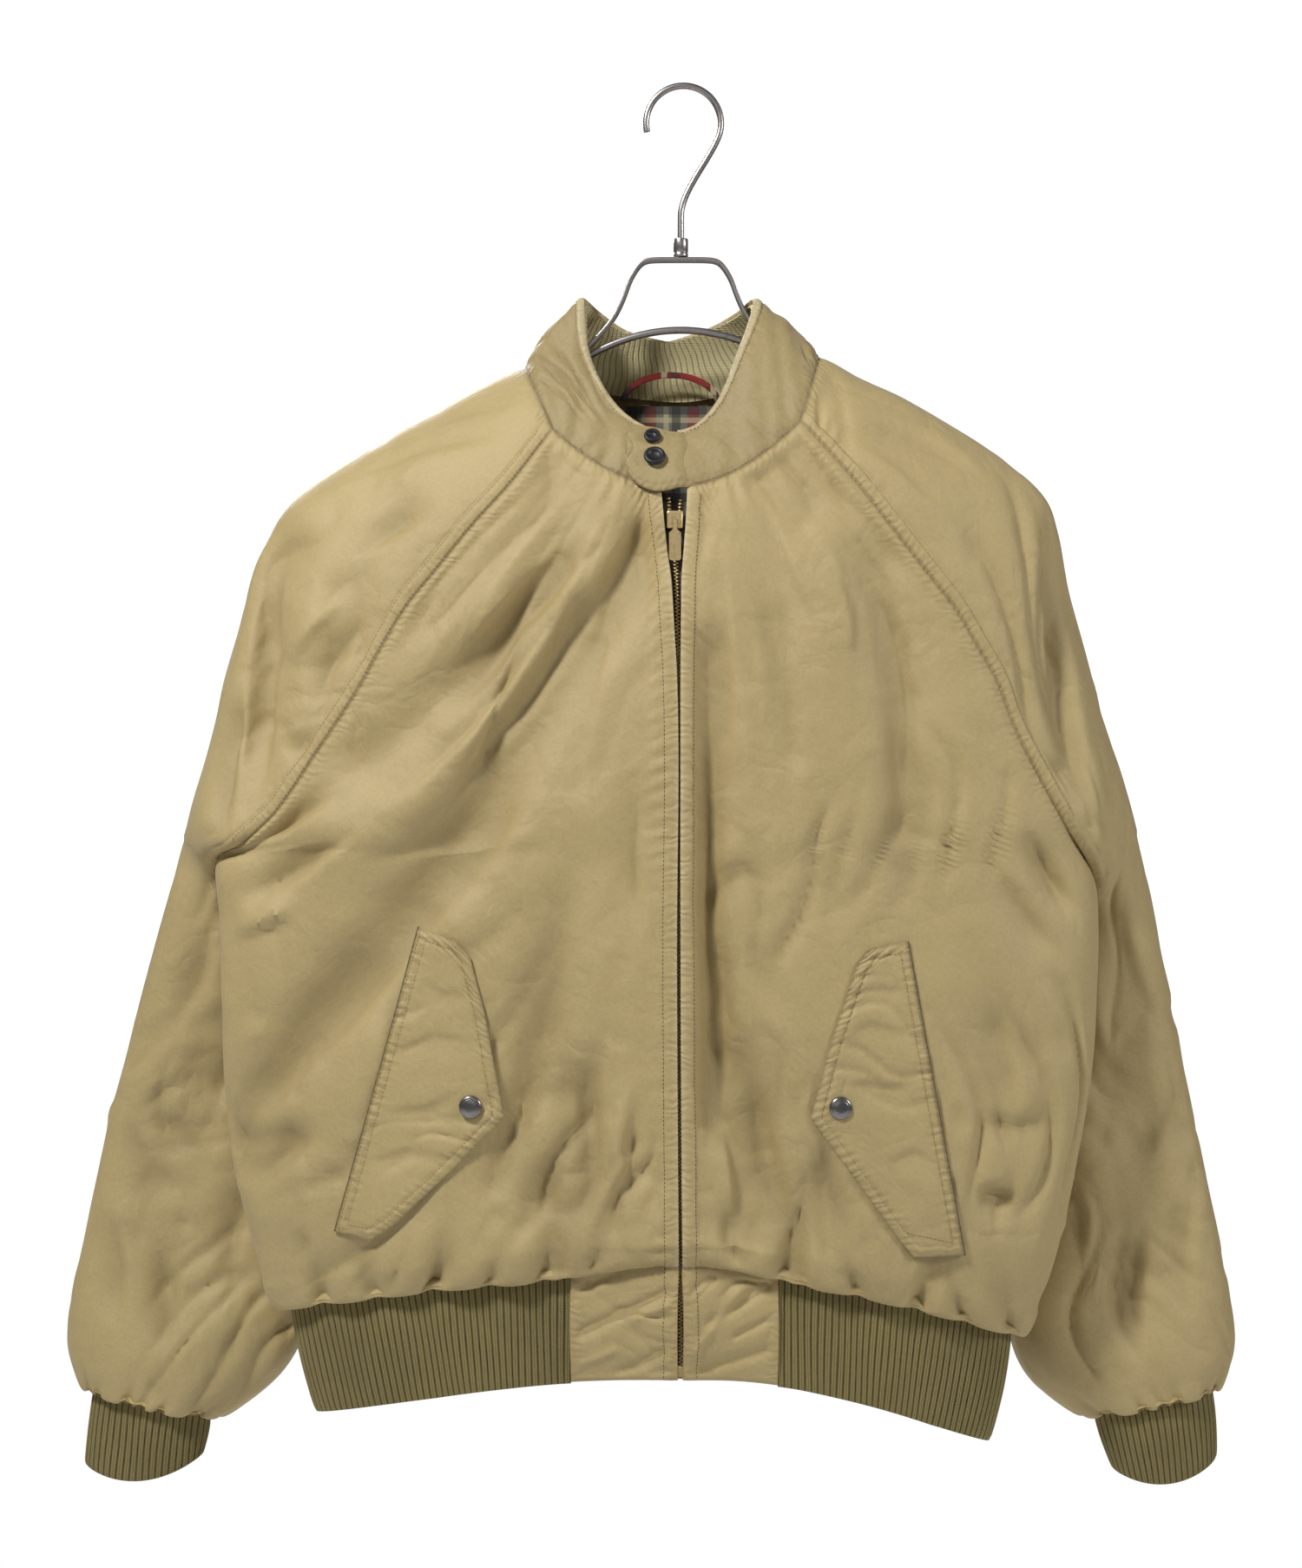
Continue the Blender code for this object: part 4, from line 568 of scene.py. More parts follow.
def small_creases(seed, count, low, high, heading, spread, length=(0.012, 0.034), depth=(0.001, 0.0026)):
    """Short hooked creases strewn over a part of a panel, from corner low to corner high (x, drop)."""
    rng = np.random.default_rng(seed)
    made = []
    for _ in range(count):
        x, drop = (a + (b - a) * rng.random() for a, b in zip(low, high))
        turn, reach = heading + rng.normal(0, spread), rng.uniform(*length)
        hook = rng.uniform(-1.0, 1.0)
        path = [(x, drop)]
        for _ in range(3):
            path.append((path[-1][0] + reach / 3 * sin(turn), path[-1][1] + reach / 3 * cos(turn)))
            turn += hook * 0.6
        made.append((path, rng.uniform(0.0035, 0.008), rng.uniform(*depth) * rng.choice((1, 1, -0.7))))
    return made


def ease(values, low, high):
    """0 below low, 1 above high, smooth between."""
    s = np.clip((values - low) / (high - low), 0, 1)
    return s * s * (3 - 2 * s)


def crumple(points, seed, size, depth):
    """Soft broken creases all over a padded cloth: crossing folded waves, uneven in place and depth."""
    rng = np.random.default_rng(seed)
    x, y, z = np.moveaxis(points, -1, 0)
    total = np.zeros(x.shape)
    for _ in range(7):
        heading = rng.uniform(0, 2 * pi)
        wave = size * rng.uniform(0.7, 1.6)
        bend = 0.8 * np.sin((x * sin(heading) - z * cos(heading)) / (wave * 2.3) + rng.uniform(0, 6))
        phase = (x * cos(heading) + z * sin(heading) + y * 0.6) * 2 * pi / wave + bend + rng.uniform(0, 6)
        patch = np.sin(x * 2 * pi / (wave * 3.1) + rng.uniform(0, 6))
        patch = patch * np.sin(z * 2 * pi / (wave * 2.7) + rng.uniform(0, 6))
        total += (1 - 2 * np.abs(np.sin(phase / 2))**0.7) * np.clip(patch, 0, 1)
    return total * depth / 2.2


def swells(u, v, seed):
    """A smooth random field around 0, with about one swell in each unit of u and v."""
    turns = np.random.default_rng(seed).uniform(0, 2 * pi, (64, 64))
    cell_u, cell_v = np.floor(u).astype(int), np.floor(v).astype(int)
    in_u, in_v = u - cell_u, v - cell_v

    def pull(a, b):
        turn = turns[(cell_u + a) % 64, (cell_v + b) % 64]
        return np.cos(turn) * (in_u - a) + np.sin(turn) * (in_v - b)

    mix_u, mix_v = (s**3 * (s * (6 * s - 15) + 10) for s in (in_u, in_v))
    upper = pull(0, 0) * (1 - mix_u) + pull(1, 0) * mix_u
    lower = pull(0, 1) * (1 - mix_u) + pull(1, 1) * mix_u
    return 1.6 * (upper * (1 - mix_v) + lower * mix_v)


def drag_folds(points, seed, heading, size, stretch, depth):
    """Broken creases along one heading over padded cloth: narrow valleys between soft swells."""
    x, drop = points[..., 0] + 0.8 * points[..., 1], -points[..., 2]
    along = x * sin(heading) + drop * cos(heading)
    across = x * cos(heading) - drop * sin(heading)
    bend = swells(x / (3 * size), drop / (3 * size), seed)
    swell = swells(across / size + 0.9 * bend, along / (size * stretch) + 0.4 * bend, seed + 1)
    where = ease(swells(x / (3.5 * size), drop / (3.5 * size), seed + 2), -0.25, 0.35)
    valley = np.clip(1 - 2.6 * np.abs(swell), 0, 1)**1.7
    return depth * (valley * where - 0.14 * swell)


def neck_folds(seed, sign, count):
    """Long fine folds that fan out below the neck seam, from the zip round to the raglan seam."""
    rng = np.random.default_rng(seed)
    made = []
    for share in (np.arange(count) + rng.uniform(0.2, 0.8, count)) / count:
        path = [(0.018 + 0.056 * share, 0.302 - 0.06 * share)]
        turn = 0.12 + 0.72 * share + rng.normal(0, 0.06)
        step = rng.uniform(0.034, 0.085)
        for _ in range(3):
            path.append((path[-1][0] + step * sin(turn), path[-1][1] + step * cos(turn)))
            turn += rng.normal(-0.05, 0.07)
        made.append(([(sign * x, drop) for x, drop in path], rng.uniform(0.0042, 0.007),
                     rng.uniform(0.0014, 0.0028)))
    return made


def tucks(grid, side_tucks, rise_from_seam, outward):
    """Depth of tucks that run up from a seam: deepest where the swollen cloth turns under, dying out
    above it, and weaker where the cloth doesn't face outward."""
    total = np.zeros(grid.shape[:2])
    for seam_x, lean, length, depth in side_tucks:
        s = np.clip((rise_from_seam - 0.01) / (1.5 * length), 0, 1)
        centre = seam_x + 2 * lean * s
        width = 0.0058 + 0.011 * s
        total += 1.7 * depth * np.exp(-np.abs((grid[..., 0] - centre) / width)**1.5) * (1 - s)**1.3
    return total * ease(rise_from_seam, 0.003, 0.015) * (0.45 + 0.55 * ease(outward, -0.1, 0.5))


def placket(away):
    """1 on the raised band beside the zip, 0 elsewhere."""
    return np.exp(-((away - 0.005) / 0.0044)**4)


def run_in_rows(grid):
    """Length from a grid's last row up each column, and from its first column along each row."""
    up = np.linalg.norm(np.diff(grid[::-1], axis=0), axis=-1)
    up = np.concatenate([np.zeros((1, grid.shape[1])), np.cumsum(up, axis=0)])[::-1]
    along = np.linalg.norm(np.diff(grid, axis=1), axis=-1)
    along = np.concatenate([np.zeros((grid.shape[0], 1)), np.cumsum(along, axis=1)], axis=1)
    return up, along


def pucker(run, away, seed, pitch, reach, depth):
    """Small ripples square to a seam: run is the length along it and away the distance from it."""
    drift = uneven(run.ravel(), seed, 0.013).reshape(run.shape)
    strength = 0.55 + 0.45 * uneven(run.ravel(), seed + 1, 0.03).reshape(run.shape)
    return depth * strength * np.sin(2 * pi * run / pitch + 2.4 * drift) * bell(away, reach)


def least(*distances):
    """The smallest of several distances, place by place."""
    return np.minimum.reduce(np.broadcast_arrays(*distances))


def nearest_seam(*seams):
    """Marks from (distance, run) pairs: the distance to the nearest seam and the run along it. Where
    two seams are equally near the distance is held large, so that their ripples don't collide."""
    away = np.stack([np.broadcast_to(pair[0], seams[0][1].shape) for pair in seams])
    run = np.stack([pair[1] for pair in seams])
    order = np.argsort(away, axis=0)
    ranked = np.take_along_axis(away, order, axis=0)
    met = 0.03 * bell(ranked[1] - ranked[0], 0.0022)
    return {"seam_away": ranked[0] + met, "seam_run": np.take_along_axis(run, order[:1], axis=0)[0]}


def sewn(grid, normals, push, free, to_side, up, seed, *seams):
    """Ends a panel's relief with puckers beside its raglan seams and cloth that swells out beside each
    seam. Gives the panel's outer grid and the marks for its material."""
    down = up[:1] - up
    beside_raglan = np.where(np.arange(len(grid))[:, None] <= ARMPIT_ROW, to_side, 1.0)
    push += pucker(up, beside_raglan - 0.006, seed, 0.009, 0.006, 0.0006) * free
    push -= 0.0015 * ease(np.minimum(to_side, down), 0.0, 0.006)
    push *= ease(np.minimum(to_side, down), 0.0, 0.0015)
    # a dark line of dirt and painted shade along the panel's seams
    # painted shade down in the panel's creases
    marks = {"in_crease": ease(push, *CREASE_SHADE_DEPTHS), "seam_line": bell(least(beside_raglan, down, up), SEAM_LINE),
             **nearest_seam((beside_raglan, up), *seams)}
    return grid - normals * push[..., None], marks


fronts, front_normals, front_marks = {}, {}, {}
for side, sign in SIDES.items():
    grid = refine(body_panel(side, True), ROW_PARTS, COLUMN_PARTS, ROW_ENDS, (24, 16))
    normals = grid_normals(grid, np.array([0, -1.0, 0]))
    up, across = run_in_rows(grid)
    down = up[:1] - up
    to_side = across[:, -1:] - across
    x, drop = grid[..., 0], -grid[..., 2]
    free = ease(across, 0.004, 0.02) * ease(to_side, 0.002, 0.016) * ease(down, 0.002, 0.014)
    push = 2.7 * creases(FRONT_CREASES, x, drop) + 1.1 * fold_depth(FRONT_FOLDS, x, drop)
    push += drag_folds(grid, 301 + 10 * sign, -0.6 if side == "right" else 0.12, 0.044, 6.0, 0.0062)
    push *= free * ease(up, 0.004, 0.04)
    low = ease(up, 0.008, 0.03) * (0.15 + 0.85 * ease(drop, 0.58, 0.74))
    push += drag_folds(grid, 305 + 10 * sign, 0.18 * sign, 0.025, 9.0, 0.0046) * free * low
    push *= 1 - 0.8 * bell(path_distance(UNDER_FLAP[side], x, drop), 0.046)      # held flat by the pocket
    strewn = (small_creases(201 + sign, 14, (sign * 0.02, 0.66), (sign * 0.26, 0.77), 0.4 * sign, 0.5)
              + small_creases(205 + sign, 9, (sign * 0.22, 0.52), (sign * 0.3, 0.78), 1.1 * sign, 0.5)
              + small_creases(209 + sign, 9, (sign * 0.02, 0.3), (sign * 0.16, 0.6), 0.8 * sign, 0.5,
                              length=(0.02, 0.05), depth=(0.0006, 0.0014)))
    push += creases(strewn + neck_folds(211 + sign, sign, 11), x, drop) * free * ease(up, 0.004, 0.02)
    push += crumple(grid, 11 if side == "right" else 12, 0.062, 0.0009) * free
    push += tucks(grid, HEM_TUCKS[side], up, -normals[..., 1]) * ease(to_side, 0.0, 0.01)
    # fans of small creases below the neck seam
    fan = np.sin(2 * pi * across[0] / FAN_PITCH + 2.0 * uneven(across[0], 31, 0.02))
    fan = 0.0011 * fan * (0.5 + 0.5 * uneven(across[0], 33 + sign, 0.022))
    push += fan * bell(down - 0.012, 0.016) * ease(across, 0.008, 0.02)
    push += pucker(up, across - 0.012, 41 + sign, 0.0115, 0.008, 0.0008) * ease(across, 0, 0.004)
    push -= 0.0011 * placket(across)
    fronts[side], marks = sewn(grid, normals, push, free, to_side, up, 43 + sign,
                               (across, up + 1), (down, across), (up, across + 1))
    front_normals[side] = normals
    front_marks[side] = {**marks, "rubbed": bell(across, 0.0022) * 0.7}

halves = {side: refine(body_panel(side, False), ROW_PARTS, 8, ROW_ENDS, (0, 16)) for side in SIDES}
back = np.concatenate([halves["right"][:, ::-1], halves["left"][:, 1:]], axis=1)
back_normals = grid_normals(back, np.array([0, 1.0, 0]))
BACK_CREASES = folds_in_mm(
    ((-60, 250), (-110, 330), (-170, 420), (-230, 500), 14, 4.5),
    ((50, 250), (100, 330), (150, 410), (200, 500), 14, 4.5),
    ((-30, 300), (-60, 420), (-80, 560), (-110, 700), 16, 4),
    ((20, 320), (30, 450), (50, 600), (80, 740), 14, 4.5),
    ((-140, 560), (-160, 650), (-200, 750), 12, 4),
    ((120, 540), (150, 640), (160, 760), 12, 3.8),
    ((-10, 480), (-14, 600), (-4, 730), 12, -2.6),
    ((-230, 560), (-200, 600), (-150, 630), 10, 2.8),
    ((220, 570), (180, 610), (130, 640), 10, 2.8),
    ((-240, 680), (-190, 720), (-140, 735), 10, 3.4),
    ((210, 690), (170, 725), (110, 745), 10, 3.2),
)
BACK_TUCKS = [tuck for tuck in zip(
    np.linspace(-0.245, 0.215, 27) + 0.004 * np.sin(np.arange(27) * 2.1),
    0.008 * np.sin(np.arange(27) * 1.7), 0.036 + 0.014 * np.sin(np.arange(27) * 2.9),
    0.0048 + 0.0018 * np.sin(np.arange(27) * 1.3)) if tuck[3] > 0.0044]
up, across = run_in_rows(back)
down = up[:1] - up
edge_away = np.minimum(across, across[:, -1:] - across)
free = ease(edge_away, 0.002, 0.016) * ease(down, 0.002, 0.014)
x, drop = back[..., 0], -back[..., 2]
push = 1.6 * creases(BACK_CREASES, x, drop) + drag_folds(back, 331, 0.1, 0.046, 5.5, 0.006)
push += drag_folds(back, 335, 0.3, 0.028, 3.4, 0.0054) * (0.15 + 0.85 * ease(drop, 0.58, 0.74))
push *= free * ease(up, 0.006, 0.036)
strewn = (small_creases(221, 30, (-0.26, 0.58), (0.24, 0.77), 0.2, 0.9)
          + small_creases(222, 14, (-0.24, 0.26), (0.22, 0.56), 0.9, 0.9, length=(0.02, 0.05)))
push += creases(strewn, x, drop) * free * ease(up, 0.004, 0.02)
push += crumple(back, 13, 0.062, 0.0009) * free
push += tucks(back, BACK_TUCKS, up, back_normals[..., 1]) * ease(edge_away, 0.0, 0.01)
push += 0.0008 * np.sin(2 * pi * across[0] / FAN_PITCH) * bell(down - 0.012, 0.016)
back, back_marks = sewn(back, back_normals, push, free, edge_away, up, 51, (down, across), (up, across + 1))


def node_group(name, ins, outs):
    """An empty shader group with named inputs (name, kind, value) and outputs (name, kind)."""
    tree = bpy.data.node_groups.new(name, "ShaderNodeTree")
    for label, kind, value in ins:
        socket = tree.interface.new_socket(name=label, in_out="INPUT", socket_type=kind)
        socket.default_value = value
    for label, kind in outs:
        tree.interface.new_socket(name=label, in_out="OUTPUT", socket_type=kind)
    return tree, tree.nodes.new("NodeGroupInput"), tree.nodes.new("NodeGroupOutput")


def calc(tree, operation, first, second=None):
    """One Math node; each value is a socket or a number."""
    values = [(n, v) for n, v in enumerate((first, second)) if v is not None]
    return put(tree, "ShaderNodeMath", values, operation=operation).outputs[0]


def product(tree, *values):
    """Values of sockets and numbers multiplied together."""
    total = values[0]
    for value in values[1:]:
        total = calc(tree, "MULTIPLY", total, value)
    return total


def own_place(tree):
    """The piece's own coordinates."""
    return put(tree, "ShaderNodeTexCoord").outputs["Object"]


def noise(tree, scale, detail, more=(), place=None, **settings):
    """The value of a noise over the piece, or over another place than its own coordinates."""
    links = [("Vector", place or own_place(tree)), ("Scale", scale), ("Detail", detail), *more]
    return put(tree, "ShaderNodeTexNoise", links, **settings).outputs["Fac"]


def remap(tree, value, low, high, bounds="From"):
    """A value spread from low to high onto 0 to 1, or the other way round with bounds "To"."""
    links = [("Value", value), (bounds + " Min", low), (bounds + " Max", high)]
    return put(tree, "ShaderNodeMapRange", links).outputs[0]


def mark(tree, name):
    """A value that the piece's own mesh carries."""
    return put(tree, "ShaderNodeAttribute", attribute_name=name).outputs["Fac"]


def mix(tree, share, first, second):
    """A colour between two others."""
    return put(tree, "ShaderNodeMix", [(0, share), (6, first), (7, second)], data_type="RGBA").outputs[2]


def darker(colour, share):
    """A colour at a share of its brightness."""
    return tuple(c * share for c in colour[:3]) + (1,)


def bump(tree, height, strength, distance, more=(), **settings):
    """A normal raised by a height."""
    links = [("Height", height), ("Strength", strength), ("Distance", distance), *more]
    return put(tree, "ShaderNodeBump", links, **settings).outputs[0]


# Plain weave: threads over and under along X and Z, with slubs. Gives a height and a thread shade.
weave, weave_in, weave_out = node_group("plain_weave", [
    ("Pitch", "NodeSocketFloat", 0.00055), ("Slub", "NodeSocketFloat", 0.35)],
    [("Height", "NodeSocketFloat"), ("Shade", "NodeSocketFloat")])
axes = put(weave, "ShaderNodeSeparateXYZ", [(0, own_place(weave))])
turns = calc(weave, "DIVIDE", 2 * pi, weave_in.outputs["Pitch"])
across_threads, up_threads = (calc(weave, "SINE", product(weave, axes.outputs[axis], turns)) for axis in "XZ")
slub = product(weave, noise(weave, 900, 2), weave_in.outputs["Slub"])
height = calc(weave, "ADD", product(weave, across_threads, up_threads), slub)
feed(weave, weave_out, [("Height", height), ("Shade", noise(weave, 420, 3))])

# Puckers along a seam: ripples square to it that die away from it, from the piece's own attributes.
puckers, puckers_in, puckers_out = node_group("seam_puckers", [
    ("Pitch", "NodeSocketFloat", 0.0052), ("Reach", "NodeSocketFloat", 0.008)],
    [("Height", "NodeSocketFloat"), ("Near", "NodeSocketFloat")])
drift = noise(puckers, 85, 1)
turns = calc(puckers, "DIVIDE", mark(puckers, "seam_run"), puckers_in.outputs["Pitch"])
phase = calc(puckers, "ADD", product(puckers, turns, 2 * pi), product(puckers, drift, 14.0))
ratio = calc(puckers, "DIVIDE", mark(puckers, "seam_away"), puckers_in.outputs["Reach"])
fade = calc(puckers, "POWER", 2.718, product(puckers, ratio, ratio, -1.0))
ripple = product(puckers, calc(puckers, "SINE", phase), product(puckers, fade, drift))
feed(puckers, puckers_out, [("Height", ripple), ("Near", fade)])

# Handled cloth: broad soft stains and rubbed edges, and a fine crumple. Gives a colour and a height.
handled, handled_in, handled_out = node_group("handled_cloth", [
    ("Colour", "NodeSocketColor", (0.5, 0.4, 0.22, 1)), ("Soiled", "NodeSocketColor", (0.4, 0.3, 0.15, 1)),
    ("Amount", "NodeSocketFloat", 0.35)],
    [("Colour", "NodeSocketColor"), ("Height", "NodeSocketFloat"), ("Creased", "NodeSocketFloat")])
broad = noise(handled, 9, 4, [("Roughness", 0.6)])
stained = product(handled, remap(handled, broad, 0.42, 0.72), handled_in.outputs["Amount"])
small = noise(handled, 70, 5, [("Roughness", 0.62), ("Distortion", 0.6)])
folded = noise(handled, 24, 2, [("Roughness", 0.45), ("Distortion", 0.8), ("Offset", 1.0), ("Gain", 1.6)],
               noise_type="RIDGED_MULTIFRACTAL")
feed(handled, handled_out, [
    ("Colour", mix(handled, stained, handled_in.outputs["Colour"], handled_in.outputs["Soiled"])),
    ("Height", small), ("Creased", product(handled, folded, remap(handled, broad, 0.38, 0.62)))])


def poplin(name, colour, soiled, roughness=0.5):
    """Tightly woven, slightly lustrous cotton cloth over light padding."""
    made, tree, shader = new_material(name)
    threads = put(tree, "ShaderNodeGroup", node_tree=weave)
    ripples = put(tree, "ShaderNodeGroup", node_tree=puckers)
    worn = put(tree, "ShaderNodeGroup", [("Colour", colour), ("Soiled", soiled)], node_tree=handled)
    pale_threads = product(tree, threads.outputs["Shade"], 0.16)
    tone = mix(tree, pale_threads, worn.outputs["Colour"], (0.93, 0.86, 0.7, 1))
    tone = mix(tree, product(tree, ripples.outputs["Near"], 0.1), tone, soiled)
    # a dark line along seams and edges: dirt, and painted shade where layers meet
    tone = mix(tree, product(tree, mark(tree, "seam_line"), 0.42), tone, darker(soiled, 0.28))
    # painted shade: cloth is darker down in its creases; it is paler with wear where its edges rub
    tone = mix(tree, product(tree, mark(tree, "in_crease"), 0.24), tone, darker(soiled, 0.55))
    bare = product(tree, mark(tree, "rubbed"), worn.outputs["Height"], 0.95)
    normal = bump(tree, threads.outputs["Height"], 0.35, 0.0001)
    normal = bump(tree, worn.outputs["Height"], 0.4, 0.002, [("Normal", normal)])
    normal = bump(tree, worn.outputs["Creased"], 0.55, 0.0016, [("Normal", normal)], invert=True)
    feed(tree, shader, [
        ("Sheen Weight", 0.12), ("Sheen Roughness", 0.45), ("Specular IOR Level", 0.42),
        ("Base Color", mix(tree, bare, tone, (0.78, 0.67, 0.42, 1))),
        ("Roughness", remap(tree, threads.outputs["Shade"], roughness - 0.05, roughness + 0.08, "To")),
        ("Normal", bump(tree, ripples.outputs["Height"], 0.7, 0.0005, [("Normal", normal)]))])
    return made


TAN = (0.475, 0.354, 0.138, 1)
TAN_SOILED = (0.35, 0.246, 0.088, 1)
shell = poplin("tan_poplin", TAN, TAN_SOILED)


def dress(piece, nodes):
    """Says which body a piece rides on, which solids it stands for."""
    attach(piece, "jacket")
    if nodes:
        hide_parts(*nodes)
    return piece


for side in SIDES:
    piece = wall_object("poplin_front_" + side, fronts[side], fronts[side] - front_normals[side] * WALL,
                        shell, marks=front_marks[side])
    dress(piece, ["front_" + side])
piece = wall_object("poplin_back", back, back - back_normals * WALL, shell, marks=back_marks)
dress(piece, ["back"])

# --- Sleeves: one poplin panel each, from the neck over the shoulder to the cuff, closed under the arm ---
# Rows below the armpit: outer edge of the hanging tube (x, drop), its inner edge (x, drop), the middle of
# its depth and half of it.
ARM = {
    "right": in_metres(
        (351.5, 546, 302, 558, 16, 22),
        (364, 588, 292, 601, 24, 27),
        (375.7, 628, 286, 642, 30, 28),
        (386.8, 668, 280, 684, 33, 27),
        (397.5, 708, 275, 724, 35, 26),
        (406.5, 748, 270.5, 762, 36, 26),
        (414.3, 786, 266.5, 798, 36, 27),
        (421.4, 820, 264, 830, 36, 30),
        (425.5, 850, 265, 858, 36, 33),
        (425, 872, 283, 886, 36, 33),
        (417, 892, 317, 912, 36, 29),
        (408.5, 888, 326.5, 904, 36, 23.5),
    ),
    "left": in_metres(
        (320.5, 546, 274, 566, 19, 22),
        (329.5, 588, 258, 607, 24, 27),
        (338.5, 628, 252, 647, 30, 28),
        (346.5, 668, 246, 687, 33, 27),
        (355, 708, 241, 727, 35, 26),
        (363.5, 748, 236.5, 765, 36, 26),
        (371, 786, 232.5, 801, 36, 27),
        (377.6, 820, 229, 832, 36, 30),
        (382, 850, 228, 860, 36, 33),
        (381.5, 872, 243, 888, 36, 33),
        (374, 892, 274, 911, 36, 29),
        (367, 888, 283, 903, 36, 23.5),
    ),
}
SLEEVE_FRONT = 10
SLEEVE_BACK = 6
# The solid's own long folds on the sleeves' front, then the finer creases over them.
SLEEVE_FOLDS = {
    "right": folds_in_mm(
        ((-268, 312), (-276.5, 355), (-279, 420), (-284, 480), 14, 14),
        ((-204, 372), (-232, 402), (-250, 432), 14, 5),
        ((-330, 640), (-350, 740), (-345, 830), 20, 5),
    ),
    "left": folds_in_mm(
        ((262, 330), (276, 400), (288, 460), (298, 520), 14, 13),
        ((300, 640), (312, 740), (300, 830), 20, 5),
    ),
}
SLEEVE_CREASES = {
    "right": folds_in_mm(
        ((-267.9, 304), (-275.5, 355), (-278.4, 413.5), (-279.6, 460), (-283.1, 498), 6.5, 6),
        ((-298.8, 402), (-302.9, 454), (-306.4, 518), 7, 6),
        ((-209.6, 362), (-234.7, 396), (-248.1, 431), 7.5, 4.2),
        ((-225, 348), (-248, 372), (-264, 395), 6.5, -3),
        ((-156, 288), (-193.9, 305.6), (-226, 326), 8, 3),
        ((-109.4, 238.5), (-167.7, 247.3), (-237.6, 270.6), 9, 3),
        ((-105, 218), (-140, 223), (-190, 237), 7, 2.2),
        ((-254, 436), (-244, 452), (-246, 474), 5, 4),
        ((-318, 560), (-330, 610), (-356, 650), 10, 3.2),
        ((-296, 620), (-312, 680), (-344, 730), 11, 3.4),
        ((-390, 700), (-364, 740), (-330, 760), 9, 3.4),
        ((-286, 740), (-308, 780), (-310, 830), 10, 4),
        ((-398, 760), (-388, 810), (-390, 850), 9, 3.6),
        ((-360, 780), (-350, 830), (-358, 870), 8, 4.2),
    ),
    "left": folds_in_mm(
        ((244, 300), (250, 356), (257, 414), (264, 472), (274, 520), 8.5, 8),
        ((234, 290), (239, 352), (246, 412), (252, 468), 7, -3.6),
        ((110, 228), (156, 242), (206, 276), 10, 2.6),
        ((100, 242), (140, 270), (176, 308), 8, -2),
        ((290, 540), (304, 600), (330, 650), 11, 3.4),
        ((262, 610), (286, 660), (318, 700), 11, 3.4),
        ((348, 680), (320, 720), (290, 735), 9, 3.2),
        ((250, 720), (272, 770), (270, 830), 10, 4.2),
        ((354, 740), (344, 800), (348, 850), 9, 3.6),
        ((316, 770), (308, 830), (314, 870), 8, 4.4),
    ),
}
CUFF_TUCK_COUNT = 17


def arc(start, leave, arrive, end, count):
    """Points along a Bezier curve whose two handles are start + leave and end - arrive."""
    t = np.linspace(0, 1, count + 1)[:, None]
    return ((1 - t)**3 * start + 3 * (1 - t)**2 * t * (start + leave)
            + 3 * (1 - t) * t**2 * (end - arrive) + t**3 * end)


def along_surface(surface, point, towards):
    """Direction in a height field's own surface at a point, turned towards another point."""
    x, _, z = point
    small = 0.002
    slope_x = (surface(x + small, -z) - surface(x - small, -z)) / (2 * small)
    slope_z = (surface(x, -z - small) - surface(x, -z + small)) / (2 * small)
    normal = unit(np.array([float(slope_x), -1.0, float(slope_z)]))
    direction = towards - point
    return unit(direction - np.dot(direction, normal) * normal)


def sleeve_grid(side):
    """Grid of a sleeve: rows from the neck to the cuff seam, columns round from the front seam
    over the outer edge to the back seam. From the armpit down the first and last column meet."""
    sign = SIDES[side]
    rows = []
    front_panel, back_panel = body_panel(side, True), body_panel(side, False)
    over = np.array([0, 1.0, 0])
    for k in range(RAGLAN_ROWS + 1):
        _, _, outer_x, outer_drop, outer_y, _, _ = RAGLAN[side][k]
        front, back_point = front_panel[k, -1], back_panel[k, -1]
        outer = np.array([sign * outer_x, outer_y, -outer_drop])
        turn = ease(k, 8.5, RAGLAN_ROWS)
        leave = along_surface(front_y, front + [-sign * 0.004, 0, 0], outer)
        leave = unit((1 - turn) * leave + turn * np.array([sign * 0.85, -0.5, 0.1]))
        arrive = -along_surface(back_y, back_point + [-sign * 0.004, 0, 0], outer)
        arrive = unit((1 - turn) * arrive + turn * np.array([-sign * 0.35, -0.9, 0.0]))
        front_length = np.linalg.norm(outer - front)
        back_length = np.linalg.norm(outer - back_point)
        front_part = arc(front, leave * front_length * 0.42, over * front_length * 0.3, outer, SLEEVE_FRONT)
        arrive = arrive * back_length * 0.4
        back_part = arc(outer, over * back_length * 0.3, arrive, back_point, SLEEVE_BACK)
        rows.append(np.vstack([front_part, back_part[1:]]))
    for outer_x, outer_drop, inner_x, inner_drop, middle_y, half_depth in ARM[side]:
        outer = np.array([sign * outer_x, middle_y, -outer_drop])
        inner = np.array([sign * inner_x, middle_y, -inner_drop])
        depth = over * half_depth * 4 / 3
        front_part = arc(inner, -depth, depth, outer, SLEEVE_FRONT)
        back_part = arc(outer, depth, -depth, inner, SLEEVE_BACK)
        rows.append(np.vstack([front_part, back_part[1:]]))
    grid = np.array(rows)
    normals = grid_normals(grid, unit(grid - grid.mean(axis=1, keepdims=True)))
    facing = np.clip(-normals[..., 1], 0, 1)
    steps = np.arange(SLEEVE_FRONT + SLEEVE_BACK + 1)
    clear_of_seam = np.clip(np.minimum(steps / 3.0, (SLEEVE_FRONT - steps) / 2.0), 0, 1)
    grid[..., 1] += fold_depth(SLEEVE_FOLDS[side], grid[..., 0], -grid[..., 2]) * facing * clear_of_seam
    return grid


